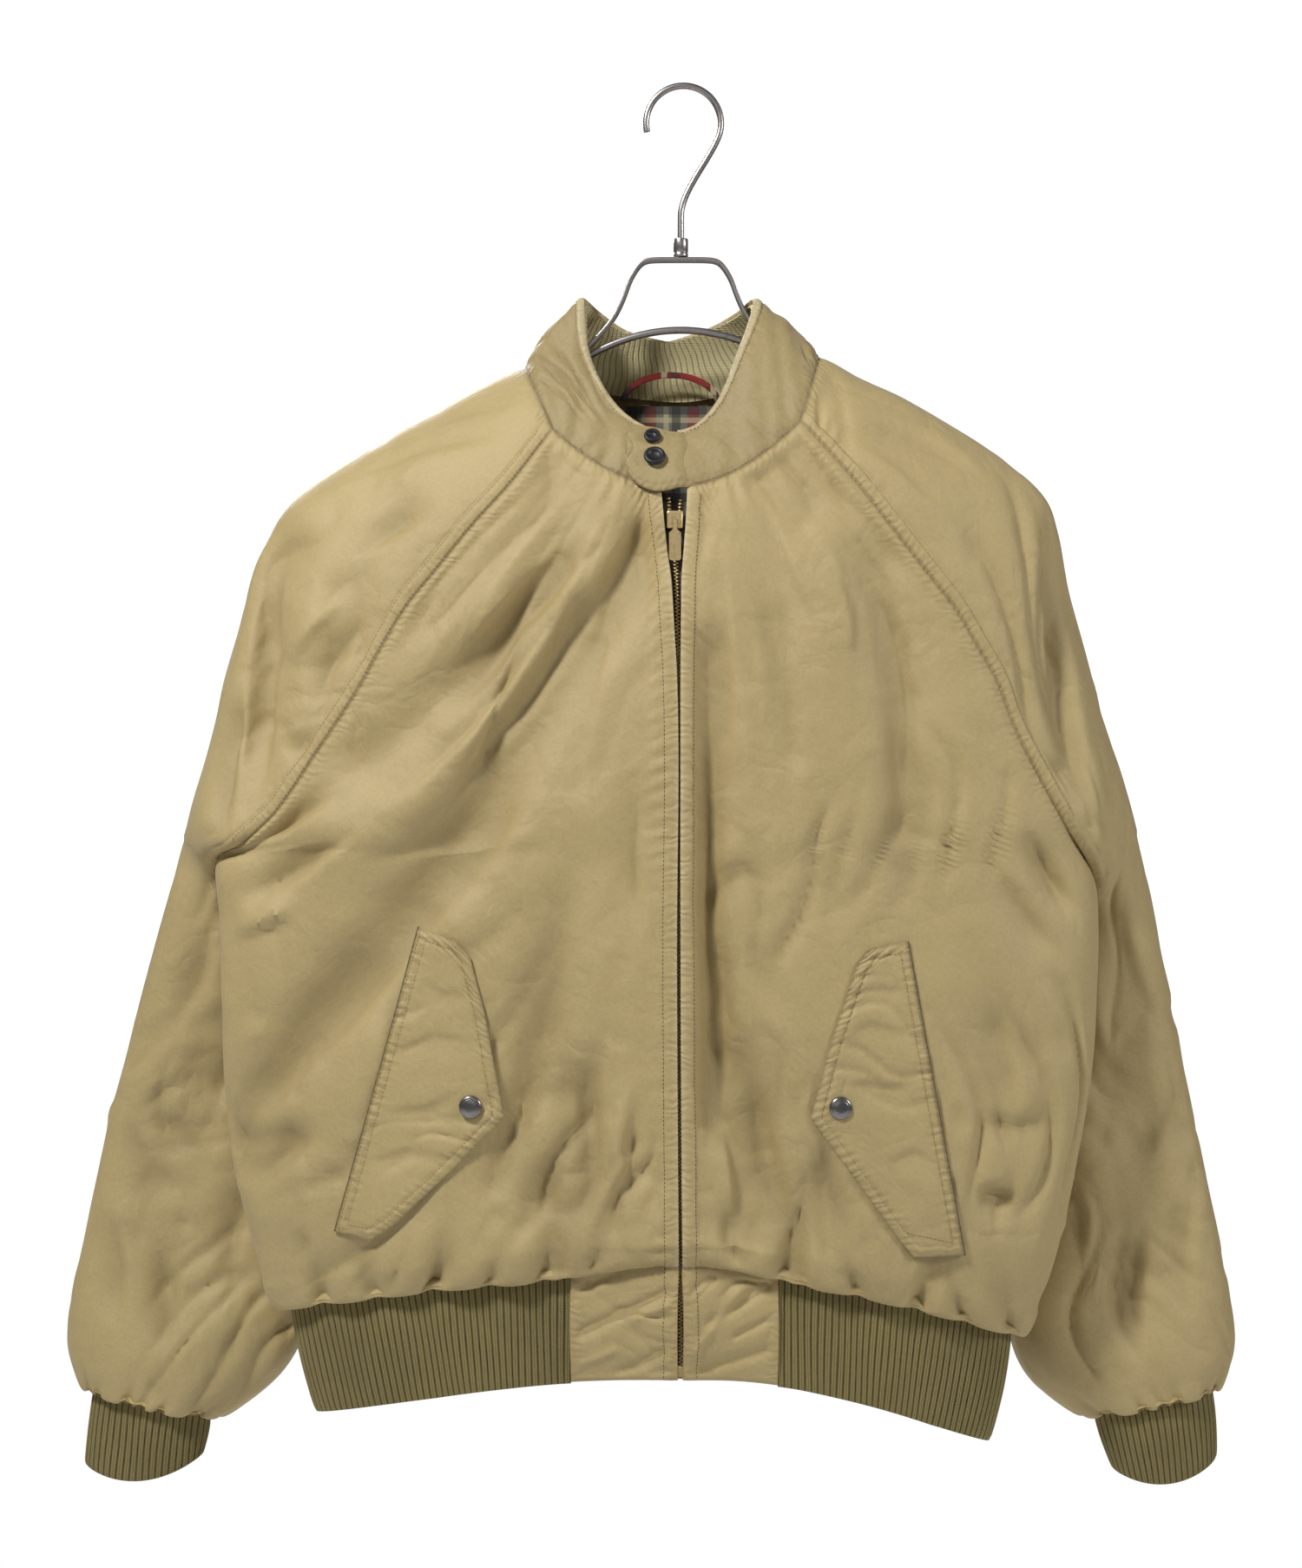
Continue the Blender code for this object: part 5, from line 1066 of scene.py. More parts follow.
sleeves, sleeve_normals = {}, {}
for side, sign in SIDES.items():
    grid = refine(sleeve_grid(side), ROW_PARTS, 8, ROW_ENDS, (18, 18))
    grid[ARMPIT_ROW:, -1] = grid[ARMPIT_ROW:, 0]
    normals = grid_normals(grid, unit(grid - grid.mean(axis=1, keepdims=True)))
    meeting = unit(normals[ARMPIT_ROW:, 0] + normals[ARMPIT_ROW:, -1])
    normals[ARMPIT_ROW:, 0] = meeting
    normals[ARMPIT_ROW:, -1] = meeting
    up, around = run_in_rows(grid)
    down = up[:1] - up
    is_raglan = np.arange(len(grid))[:, None] <= ARMPIT_ROW
    away = np.minimum(around, around[:, -1:] - around)
    seam_away = np.where(is_raglan, away, 1.0)
    x, drop = grid[..., 0], -grid[..., 2]
    facing = ease(-normals[..., 1], 0.0, 0.6)
    free = np.where(is_raglan, ease(away, 0.002, 0.016), 1.0) * ease(down, 0.002, 0.014)
    push = 1.6 * creases(SLEEVE_CREASES[side], x, drop) * free * facing * ease(up, 0.01, 0.035)
    flat_on = ease(np.abs(normals[..., 1]), 0.25, 0.75)
    long_folds = drag_folds(grid, 341 + 10 * sign, 0.22 * sign, 0.042, 6.0, 0.0047)
    slanting = drag_folds(grid, 345 + 10 * sign, 0.85 * sign, 0.034, 3.2, 0.0036)
    push += long_folds * free * flat_on * ease(up, 0.01, 0.04)
    push += slanting * free * flat_on * ease(up, 0.01, 0.03) * (0.25 + 0.75 * ease(drop, 0.55, 0.75))
    strewn = (small_creases(231 + sign, 20, (sign * 0.26, 0.56), (sign * 0.4, 0.86), 0.6 * sign, 0.8)
              + small_creases(235 + sign, 8, (sign * 0.2, 0.34), (sign * 0.3, 0.52), 0.3 * sign, 0.5)
              + small_creases(239 + sign, 8, (sign * 0.1, 0.22), (sign * 0.24, 0.34), 1.3 * sign, 0.4,
                              length=(0.02, 0.05), depth=(0.0006, 0.0014)))
    push += creases(strewn, x, drop) * free * ease(up, 0.004, 0.02)
    # the hidden back of the sleeve has creases of the same kind, mirrored and a little lower
    behind = ease(normals[..., 1], 0.0, 0.6)
    push += creases(SLEEVE_CREASES[side], x, drop - 0.018) * free * behind * ease(up, 0.01, 0.035) * 1.2
    push += crumple(grid, 61 + sign, 0.062, 0.001) * free
    # the fell: a raised band beside the raglan seam, sewn down along its far edge
    band = ease(seam_away, 0.0, 0.0016) * (1 - ease(seam_away, 0.0082, 0.0102))
    push -= 0.0008 * band + np.where(is_raglan, 0.001, 0.0) * ease(np.minimum(seam_away, down), 0.0, 0.006)
    push += 0.0007 * bell(seam_away - 0.0092, 0.0011)
    push += pucker(up, seam_away - 0.012, 45 + sign, 0.009, 0.007, 0.0007)
    # gathers into the cuff
    share = around / around[:, -1:]
    for n in range(CUFF_TUCK_COUNT):
        centre = (n + 0.5 + 0.28 * sin(n * 2.3)) / CUFF_TUCK_COUNT
        length = 0.034 + 0.012 * sin(n * 1.9)
        s = np.clip((up - 0.006) / length, 0, 1)
        width = 0.012 + 0.012 * s
        gather = (0.0046 + 0.002 * sin(n * 3.1)) * np.exp(-np.abs((share - centre) / width)**1.5)
        push += gather * (1 - s)**1.2 * ease(up, 0.001, 0.009)
    push *= np.where(is_raglan, ease(away, 0.0, 0.0015), 1.0) * ease(down, 0.0, 0.0015)
    sleeves[side] = grid - normals * push[..., None]
    sleeve_normals[side] = normals
    # a dark line of dirt and painted shade along the sleeve's seams
    # painted shade down in the sleeve's creases
    marks = {"in_crease": ease(push, *CREASE_SHADE_DEPTHS), "seam_line": bell(least(seam_away, down, up), SEAM_LINE),
             **nearest_seam((seam_away, up), (down, around), (up, around + 1))}
    piece = wall_object("poplin_sleeve_" + side, sleeves[side], sleeves[side] - normals * WALL, shell,
                        joined_from=ARMPIT_ROW, marks=marks)
    dress(piece, ["sleeve_" + side])

# --- Collar: a standing band of poplin that leans in from the neck seam, with a rolled top edge ---
NECK_MIDDLE = (-0.008, -0.012)
NECK_REACH = (0.1, 0.06)
COLLAR_MIDDLE = (-0.01, -0.009)
COLLAR_TOP = (0.058, 0.041)
COLLAR_EDGE_COLUMNS = ("degrees", "right", "left")
COLLAR_EDGE = ((-90, 0.1673, 0.1673), (-60, 0.16, 0.158), (-35, 0.149, 0.149), (-12, 0.143, 0.143),
               (2, 0.146, 0.146), (15, 0.17, 0.155), (36, 0.2, 0.181), (56, 0.2228, 0.217),
               (73, 0.2345, 0.2345), (90, 0.2394, 0.2394))
COLLAR_ROWS = 44
COLLAR_STITCHED = 0.0062          # from the top edge
COLLAR_SWELL = 0.004
# Soft folds of the collar: place along it (x on the front), lean up to the edge, half width, depth.
COLLAR_FOLDS = (
    (-0.088, 0.012, 0.006, 0.0028), (-0.074, 0.01, 0.005, 0.0024), (-0.052, 0.006, 0.007, 0.0016),
    (0.058, -0.01, 0.006, 0.0022), (0.07, -0.012, 0.005, 0.003), (0.08, -0.01, 0.006, 0.0022),
    (0.034, -0.004, 0.006, 0.0016))


def collar_top(points):
    """The collar's top edge over points of the neck seam."""
    across_neck = (points[:, 0] - NECK_MIDDLE[0]) / NECK_REACH[0]
    forward = -(points[:, 1] - NECK_MIDDLE[1]) / NECK_REACH[1]
    way = np.arctan2(forward, np.abs(across_neck))
    x = COLLAR_MIDDLE[0] + np.sign(across_neck) * COLLAR_TOP[0] * np.cos(way)
    y = COLLAR_MIDDLE[1] - COLLAR_TOP[1] * np.sin(way)
    knots = column(COLLAR_EDGE, COLLAR_EDGE_COLUMNS, "degrees")
    right, left = (curve(knots, column(COLLAR_EDGE, COLLAR_EDGE_COLUMNS, name), np.degrees(way))
                   for name in ("right", "left"))
    return np.stack([x, y, -np.where(across_neck < 0, right, left)], axis=-1)


def smooth_line(line, times):
    """A line of points with its kinks eased and its ends kept."""
    line = line.copy()
    for _ in range(times):
        line[1:-1] = (line[:-2] + 2 * line[1:-1] + line[2:]) / 4
    return line


neck_line = np.concatenate([fronts["left"][0], sleeves["left"][0, 1:], back[0, ::-1][1:],
                            sleeves["right"][0, ::-1][1:], fronts["right"][0, ::-1][1:]])
foot = smooth_line(neck_line, 6)
collar_edge = smooth_line(collar_top(foot), 10)
collar_out = unit(np.cross(np.gradient(foot, axis=0), collar_edge - foot))
collar_out *= np.sign(np.sum(collar_out * (foot - np.array([*NECK_MIDDLE, -0.22])), axis=1))[:, None]
collar_out = unit(smooth_line(collar_out, 30))
shares = np.linspace(0, 1, COLLAR_ROWS)
collar = np.array([foot + (collar_edge - foot) * s + collar_out * COLLAR_SWELL * sin(pi * s) for s in shares])
run = steps_along(collar[-1])[None, :] * np.ones((COLLAR_ROWS, 1))
height = np.linalg.norm(collar_edge - foot, axis=1)[None, :]
rise = shares[:, None] * height
from_edge = height - rise
x = collar[..., 0]
push = np.zeros(collar.shape[:2])
for fold_x, lean, width, depth in COLLAR_FOLDS:
    line_x = fold_x + lean * shares[:, None]
    push += depth * bell(x - line_x, width) * (collar_out[None, :, 1] < 0.2) * np.sin(
        pi * np.clip(shares[:, None] * 0.9 + 0.12, 0, 1))
push += crumple(collar, 81, 0.03, 0.0009) * np.sin(pi * shares[:, None])
push += drag_folds(collar, 361, 0.15, 0.022, 3.0, 0.0046) * np.sin(pi * shares[:, None])
push += pucker(run, from_edge - 0.005, 83, 0.0085, 0.005, 0.00035)
push += pucker(run, rise - 0.004, 84, 0.01, 0.008, 0.0006)
push -= 0.0012 * ease(rise, 0.0, 0.006)                          # swells out above the neck seam
push += 0.0007 * bell(from_edge - COLLAR_STITCHED, 0.0011)        # the groove of the edge stitching
push -= 0.0006 * bell(from_edge - 0.003, 0.0026)                 # and the soft roll above it
push *= ease(rise, 0.0, 0.0015)
collar_inside = collar - collar_out[None] * WALL
collar = collar - collar_out[None] * push[..., None]
# the top edge turns over in a round lip
lip = ease(from_edge, 0.0, 0.0022)[..., None]
middle = (collar + collar_inside) / 2
collar_outer = middle + (collar - middle) * (0.25 + 0.75 * lip)
collar_inner = middle + (collar_inside - middle) * (0.25 + 0.75 * lip)
# a dark line of dirt and painted shade along the neck seam and the edge stitching
# painted shade down in the collar's creases
marks = {"in_crease": ease(push, CREASE_SHADE_DEPTHS[0], 0.005),
         "seam_away": np.minimum(rise, from_edge), "seam_run": run,
         "seam_line": bell(rise, 0.0016) + 0.35 * bell(from_edge - COLLAR_STITCHED, 0.0008),
         "rubbed": 1 - ease(from_edge, 0.003, COLLAR_STITCHED)}
# painted shade: the collar and its tab take a darker copy of the tan poplin, standing for the shade they lie
# in
collar_shaded_shell = poplin("tan_poplin_collar", (0.35, 0.255, 0.092, 1), (0.225, 0.152, 0.045, 1))
piece = wall_object("poplin_collar", collar_outer, collar_inner, collar_shaded_shell, marks=marks)
dress(piece, ["collar"])

# --- Ribbed knit inside the collar: a soft fine rib, sewn in below the rolled edge ---
LINING_DEPTH = WALL + 3 * SEAM_GAP + 0.0017
LINING_THICKNESS = 0.001
LINING_PITCH = 0.0035
RIB_STEPS = 12


def rib_profile(lengths, pitch, split):
    """Height from 0 to 1 of knitted ribs across their run; split is how deep each rib's own groove is."""
    turn = (lengths / pitch) % 1.0
    bead = np.abs(np.sin(pi * turn))**0.55
    return bead * (1 - split * bell(turn - 0.5, 0.085))


def rib_knit(name, colour, valley):
    """Knitted cotton and wool rib: raised wales in a fuzzy yarn, with painted shade between them."""
    made, tree, shader = new_material(name)
    raised = mark(tree, "rib_height")
    place = own_place(tree)
    stretch = put(tree, "ShaderNodeMapping", [("Vector", place), ("Scale", (1.0, 1.0, 0.45))])
    yarn = noise(tree, 1100, 3, place=stretch.outputs[0])
    # valley is both the stain colour and the painted shade in the hollows between the wales
    worn = put(tree, "ShaderNodeGroup", [("Colour", colour), ("Soiled", valley)], node_tree=handled)
    tone = mix(tree, calc(tree, "POWER", raised, 1.5), valley, worn.outputs["Colour"])
    axes = put(tree, "ShaderNodeSeparateXYZ", [(0, place)])
    courses = calc(tree, "SINE", product(tree, axes.outputs["Z"], 2 * pi / 0.0013))
    loops = calc(tree, "ADD", product(tree, courses, 0.5), yarn)
    feed(tree, shader, [
        ("Roughness", 0.85), ("Sheen Weight", 0.12), ("Sheen Roughness", 0.5), ("Specular IOR Level", 0.2),
        ("Base Color", mix(tree, product(tree, yarn, raised, 0.16), tone, (0.74, 0.66, 0.36, 1))),
        ("Normal", bump(tree, loops, 0.5, 0.00035))])
    return made


# the second colour of each knit is its stains and the painted shade between its wales
knit = rib_knit("olive_rib_knit", (0.33, 0.265, 0.098, 1), (0.022, 0.015, 0.004, 1))
neck_knit = rib_knit("pale_neck_knit", (0.93, 0.83, 0.5, 1), (0.4, 0.33, 0.15, 1))
inside = slice(3, -3)
lining_out = unit(smooth_line(collar_out[inside], 40))
lining_base = np.array([foot + (collar_edge - foot) * s + collar_out * COLLAR_SWELL * sin(pi * s)
                        for s in np.linspace(0.06, 0.965, 26)])[:, inside]
lining_base = np.array([smooth_line(row, 60) for row in lining_base])
ribs = int(round(steps_along(lining_base[-1])[-1] / LINING_PITCH))
places = np.linspace(0, 1, ribs * RIB_STEPS + 1)
outer_rows, inner_rows, heights = [], [], []
for n, row in enumerate(lining_base):
    steps = steps_along(row)
    point = read_at(places * steps[-1], steps, row)
    out = unit(read_at(places * steps[-1], steps, lining_out))
    wander = 0.0005 * np.sin(n * 0.45 + places * 40)
    raised = rib_profile(places * ribs * LINING_PITCH + wander, LINING_PITCH, 0.35)
    heights.append(raised)
    outer_rows.append(point - out * (LINING_DEPTH - 0.0009 + 0.0009 * raised[:, None] + LINING_THICKNESS))
    inner_rows.append(point - out * (WALL + 3 * SEAM_GAP))
piece = wall_object("knit_collar_lining", np.array(outer_rows), np.array(inner_rows), neck_knit,
                    marks={"rib_height": np.array(heights)})
dress(piece, ["collar_lining"])

# --- Collar tab: a short rounded strap that crosses the collar's opening, with two buttons ---
TAB_LIFT = 0.0022
TAB_THICKNESS = 0.0022
TAB_ROUNDING = 0.004
TAB_STITCHED = 0.005
TAB_OUTLINE_COLUMNS = ("x", "low", "high")
TAB_OUTLINE = ((-0.0385, 0.3, 0.62), (-0.0375, 0.1, 0.8), (-0.0345, -0.02, 0.91),
               (-0.029, -0.1, 0.97), (-0.02, -0.14, 0.98), (-0.011, -0.12, 0.94),
               (-0.003, -0.06, 0.9), (0.006, -0.02, 0.84), (0.015, 0.0, 0.78))
tab_x, tab_low, tab_high = (column(TAB_OUTLINE, TAB_OUTLINE_COLUMNS, name) for name in TAB_OUTLINE_COLUMNS)
front_half = foot[(np.abs(foot[:, 0] - NECK_MIDDLE[0]) < 0.075) & (foot[:, 1] < -0.03)]
front_half = front_half[np.argsort(front_half[:, 0])]
tab_foot = read_at(tab_x, front_half[:, 0], front_half)
tab_foot[:, 0] = tab_x
tab_edge = collar_top(tab_foot)
tab_out = unit(np.cross(tab_edge - tab_foot, np.array([1.0, 0, 0])))
tab_out *= -np.sign(tab_out[:, 1])[:, None]
rows = []
for s in np.linspace(0, 1, 5):
    level = (tab_low + (tab_high - tab_low) * s)[:, None]
    rounded = TAB_ROUNDING * np.interp(level, (0, 1 / 3, 2 / 3, 1), (0, 0.866, 0.866, 0))
    row = tab_foot + (tab_edge - tab_foot) * level
    row[:, 0] = tab_x
    # towards the viewer's right the tab runs into the collar that it is part of
    laid = 1 - ease(tab_x, -0.006, 0.013)[:, None]
    rows.append(row + tab_out * ((TAB_LIFT + rounded + 0.0034) * laid - 0.0034))
tab = refine(np.array(rows), 10, 8)
tab_normals = grid_normals(tab, np.array([0, -1.0, 0]))
up, along = run_in_rows(tab)
edge_away = least(up, up[:1] - up, along, along[:, -1:] - along)
full = ease(edge_away, -0.0008, 0.0026)
quilt = TAB_THICKNESS * (0.35 + 0.65 * full) + crumple(tab, 85, 0.016, 0.0004) * full
quilt -= 0.0004 * bell(edge_away - TAB_STITCHED, 0.0009)
free_edge = least(up, up[:1] - up, along)
# a dark outline of painted shadow round the tab's free edge, and a fainter line of dirt and painted shade
# along its stitching
marks = {**nearest_seam((up, along), (up[:1] - up, along + 1), (along, up + 2),
                        (along[:, -1:] - along, up + 3)),
         "seam_line": 0.8 * bell(free_edge, 0.001) + 0.4 * bell(free_edge - TAB_STITCHED, 0.0007)}
# the tab takes the collar's darker copy of the poplin, painted shade
piece = wall_object("poplin_collar_tab", tab + tab_normals * quilt[..., None], tab, collar_shaded_shell,
                    marks=marks)
dress(piece, ["collar_tab"])


def plastic(name, colour, rough):
    """Moulded button plastic, faintly mottled and scuffed."""
    made, tree, shader = new_material(name)
    mottle = noise(tree, 260, 4)
    feed(tree, shader, [
        ("Base Color", mix(tree, product(tree, mottle, 0.5), colour, (0.022, 0.022, 0.025, 1))),
        ("Roughness", remap(tree, mottle, rough - 0.08, rough + 0.15, "To")),
        ("Normal", bump(tree, mottle, 0.2, 0.0001))])
    return made


button_plastic = plastic("black_button", (0.008, 0.008, 0.009, 1), 0.42)
BUTTONS = (("collar_button_lower", 0.0072), ("collar_button_upper", 0.0056))
BUTTON_HEIGHT = 0.0026
BUTTON_PROFILE = ((0.0, 0.3), (0.42, 0.32), (0.52, 0.5), (0.62, 0.92), (0.8, 1.0), (0.94, 0.86), (1.0, 0.45),
                  (0.97, 0.12), (0.88, 0.0))


def turned_piece(name, centre, axis, radius, height, profile, finish):
    """A round turned piece standing on centre along axis; profile is (share of radius, share of height)."""
    shape, rings, around = bmesh.new(), [], 40
    for share, level in profile:
        if share == 0.0:
            rings.append([shape.verts.new((0, 0, level * height))])
        else:
            rings.append([shape.verts.new((radius * share * cos(a), radius * share * sin(a), level * height))
                          for a in np.linspace(0, 2 * pi, around, endpoint=False)])
    for first, second in zip(rings[:-1], rings[1:]):
        for n in range(around):
            m = (n + 1) % around
            if len(first) == 1:
                shape.faces.new((first[0], second[n], second[m]))
            else:
                shape.faces.new((first[n], second[n], second[m], first[m]))
    shape.faces.new(rings[-1])
    shape.transform(Vector(axis).to_track_quat("Z", "Y").to_matrix().to_4x4())
    bmesh.ops.translate(shape, vec=Vector(centre), verts=shape.verts[:])
    mesh = bpy.data.meshes.new(name)
    shape.to_mesh(mesh)
    shape.free()
    return whole_object(name, mesh, finish)


for name, radius in BUTTONS:
    low, high = (np.array(corner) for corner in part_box(name))
    centre = (low + high) / 2
    outward = unit(read_at(centre[0], tab_x, tab_out))
    button = turned_piece("turned_" + name, centre - outward * BUTTON_HEIGHT / 2, outward, radius,
                          BUTTON_HEIGHT, BUTTON_PROFILE, button_plastic)
    dress(button, [name])

# --- Check lining below the back collar, and the hanging loop of the same cloth ---
# A plain generic check in grey, cream, red and near-black; the loop is a folded strip of it.
CHECK_HALF_WIDTH = 0.08
CHECK_SPAN = (0.212, 0.3)
CHECK_BANDS = (   # middle and half width as shares of the check, colour, strength
    (0.25, 0.14, (0.32, 0.012, 0.014, 1), 0.74),
    (0.62, 0.06, (0.7, 0.6, 0.36, 1), 0.62),
    (0.85, 0.1, (0.02, 0.02, 0.025, 1), 0.66),
)


def check_cloth(name, ground, scale):
    """Woven check: bands of cream, red and near-black crossing on a ground, over a plain weave."""
    made, tree, shader = new_material(name)
    axes = put(tree, "ShaderNodeSeparateXYZ", [(0, own_place(tree))])
    colour = ground
    for middle, half, tint, amount in CHECK_BANDS:
        for axis in "XZ":
            turns = calc(tree, "ADD", calc(tree, "DIVIDE", axes.outputs[axis], scale), 40.0)
            off = calc(tree, "ABSOLUTE", calc(tree, "SUBTRACT", calc(tree, "FRACT", turns), middle))
            colour = mix(tree, product(tree, calc(tree, "LESS_THAN", off, half), amount), colour, tint)
    threads = put(tree, "ShaderNodeGroup", [("Pitch", 0.0007)], node_tree=weave)
    colour = mix(tree, product(tree, threads.outputs["Shade"], 0.16), colour, (0.22, 0.16, 0.12, 1))
    feed(tree, shader, [("Roughness", 0.8), ("Base Color", colour),
                        ("Normal", bump(tree, threads.outputs["Height"], 0.4, 0.00012))])
    return made


lining_check = check_cloth("check_lining", (0.2, 0.21, 0.17, 1), 0.03)
loop_check = check_cloth("check_loop", (0.11, 0.006, 0.01, 1), 0.034)
x, drop = np.broadcast_arrays(np.linspace(-CHECK_HALF_WIDTH, CHECK_HALF_WIDTH, 65)[None, :] + NECK_MIDDLE[0],
                              np.linspace(*CHECK_SPAN, 40)[:, None])
check = np.stack([x, back_y(x, drop) - WALL - 0.0035, -drop], axis=-1)
wave = crumple(check, 87, 0.028, 0.0009)
check = check + np.stack([0 * wave, wave, 0 * wave], axis=-1)
piece = wall_object("check_back_neck", check, check - np.array([0, 0.001, 0]), lining_check)
dress(piece, ["back_neck_lining"])

LOOP_WIDTH = 0.0042
LOOP_MIDDLE = np.array([-0.0085, 0.0195, -0.2125])
LOOP_REACH = np.array([0.033, 1.0, 0.0205])
angles = np.radians(np.linspace(8, 172, 61))[:, None]
round_loop = np.cos(angles) * np.array([-1, 0, 0]) + np.sin(angles) * np.array([0, 0, 1])
loop_middle = LOOP_MIDDLE + round_loop * LOOP_REACH
loop_out = unit(round_loop / LOOP_REACH)
belly = np.linspace(-1, 1, 9)[:, None, None]
loop_grid = loop_middle[None] - loop_out[None] * LOOP_WIDTH / 2 * belly
thick = 0.0004 + 0.00045 * np.sqrt(np.clip(1 - belly**2, 0, 1))
toward = np.array([0, 1.0, 0])
middle = loop_grid + toward * 0.00055
piece = wall_object("check_hanging_loop", middle - toward * thick, middle + toward * thick, loop_check)
dress(piece, ["hanger_loop"])

# --- Hem: two cloth panels beside the zip, and a deep knitted rib round the rest ---
# The panels are double poplin, sewn to the fronts, with slanting drag wrinkles. The rib is a
# doubled band of knit whose lower edge is a soft fold.
HEM_INSET = 0.0004
HEM_DRAWN_IN = 0.93
HEM_RIB_LENGTH = 0.077
HEM_PANEL_END = {"right": 0.0749, "left": 0.0619}
HEM_PANEL_WIDTH = 0.072
PANEL_WRINKLES = {    # start and end as (share of the panel's width, drop), half width, depth
    "right": (((0.95, 0.836), (0.1, 0.806), 0.0045, 0.003), ((0.7, 0.868), (0.05, 0.842), 0.0045, 0.0026),
              ((0.95, 0.806), (0.55, 0.792), 0.0035, 0.0022), ((0.35, 0.822), (0.02, 0.812), 0.003, -0.0018),
              ((0.98, 0.858), (0.6, 0.846), 0.003, -0.0016), ((0.25, 0.862), (0.02, 0.856), 0.003, 0.0018)),
    "left": (((0.98, 0.8), (0.3, 0.826), 0.0045, 0.0028), ((0.9, 0.846), (0.2, 0.858), 0.0045, 0.0024),
             ((0.6, 0.806), (0.1, 0.846), 0.0035, -0.002), ((0.96, 0.824), (0.55, 0.836), 0.003, 0.002),
             ((0.3, 0.796), (0.06, 0.806), 0.003, 0.0018)),
}
RIB_PITCH = 0.0046
RIB_HEIGHT = 0.0013
RIB_THICKNESS = 0.0016


def below_hem(points):
    """The lower edge of the rib: drawn in a little and hanging down."""
    lower = points + np.array([0, 0, -HEM_RIB_LENGTH])
    beside_panel = np.clip((np.abs(points[:, 0]) - 0.075) / 0.1, 0, 1)
    drawn_in = np.where(points[:, 1] < -0.03, beside_panel, 1)
    lower[:, 0] *= 1 - 0.065 * drawn_in
    lower[:, 1] *= HEM_DRAWN_IN
    return lower


plain_fronts = {side: refine(body_panel(side, True), 1, 10)[-1] for side in SIDES}
plain_back = [refine(body_panel(side, False), 1, 10)[-1] for side in ("right", "left")]
hem_line = np.concatenate([plain_fronts["right"], plain_back[0][::-1][1:], plain_back[1][1:],
                           plain_fronts["left"][::-1][1:]])
hem_steps = steps_along(hem_line)
hem_ends = []
for side in SIDES:
    near = hem_steps < 0.2 if side == "right" else hem_steps > hem_steps[-1] - 0.2
    order = np.argsort(SIDES[side] * hem_line[near, 0])
    hem_ends.append(float(np.interp(HEM_PANEL_END[side], SIDES[side] * hem_line[near, 0][order],
                                    hem_steps[near][order])))


def hem_part(start, end, count):
    """Points of the hem seam between two lengths along it, and the directions out of it."""
    at = np.linspace(start, end, count)
    points = read_at(at, hem_steps, hem_line)
    out = unit(np.cross(np.array([0, 0, 1.0]), np.gradient(points, axis=0)))
    return points, unit(smooth_line(out, 12))


hem_panels = {}
hem_spans = {"right": (0.0, hem_ends[0] - SEAM_GAP), "left": (hem_ends[1] + SEAM_GAP, hem_steps[-1])}
for side, span in hem_spans.items():
    seam, out = hem_part(*span, 80)
    seam = seam - out * HEM_INSET
    seam[:, 2] -= SEAM_GAP
    lower = below_hem(seam)
    lower[:, 0] = seam[:, 0]
    lower[0 if side == "right" else -1, 0] += SIDES[side] * 0.0008
    lower[:, 2] += 0.001
    shares = np.linspace(0, 1, 90)[:, None, None]
    grid = seam[None] * (1 - shares) + lower[None] * shares + out[None] * 0.004 * np.sin(pi * shares)
    from_zip = HEM_PANEL_WIDTH * (np.linspace(0, 1, 80) if side == "right" else np.linspace(1, 0, 80))
    push = fold_depth([([(share * HEM_PANEL_WIDTH, drop) for share, drop in path], width, depth)
                       for *path, width, depth in PANEL_WRINKLES[side]], from_zip[None, :], -grid[..., 2])
    up, across = run_in_rows(grid)
    edge = least(up, up[:1] - up, across, across[:, -1:] - across)
    push += drag_folds(grid, 381 + SIDES[side], -1.1 * SIDES[side], 0.02, 2.6, 0.0024)
    push *= ease(edge, 0.001, 0.009)
    off_zip = across if side == "right" else across[:, -1:] - across
    push -= 0.001 * placket(off_zip)
    turned = ease(up, 0.0, 0.0025)[..., None]
    outer = grid - out[None] * push[..., None]
    inner = grid - out[None] * WALL
    middle = (outer + inner) / 2
    # a dark line of dirt and painted shade along the seam at the panel's top
    marks = {"seam_line": bell(up[:1] - up, SEAM_LINE),
             **nearest_seam((up[:1] - up, across), (across, up + 1), (across[:, -1:] - across, up + 2))}
    piece = wall_object("poplin_hem_panel_" + side, middle + (outer - middle) * (0.3 + 0.7 * turned),
                        middle + (inner - middle) * (0.3 + 0.7 * turned), shell, marks=marks)
    hem_panels[side] = (outer, np.repeat(out[None], len(outer), axis=0))
    dress(piece, ["hem_panel_" + side])


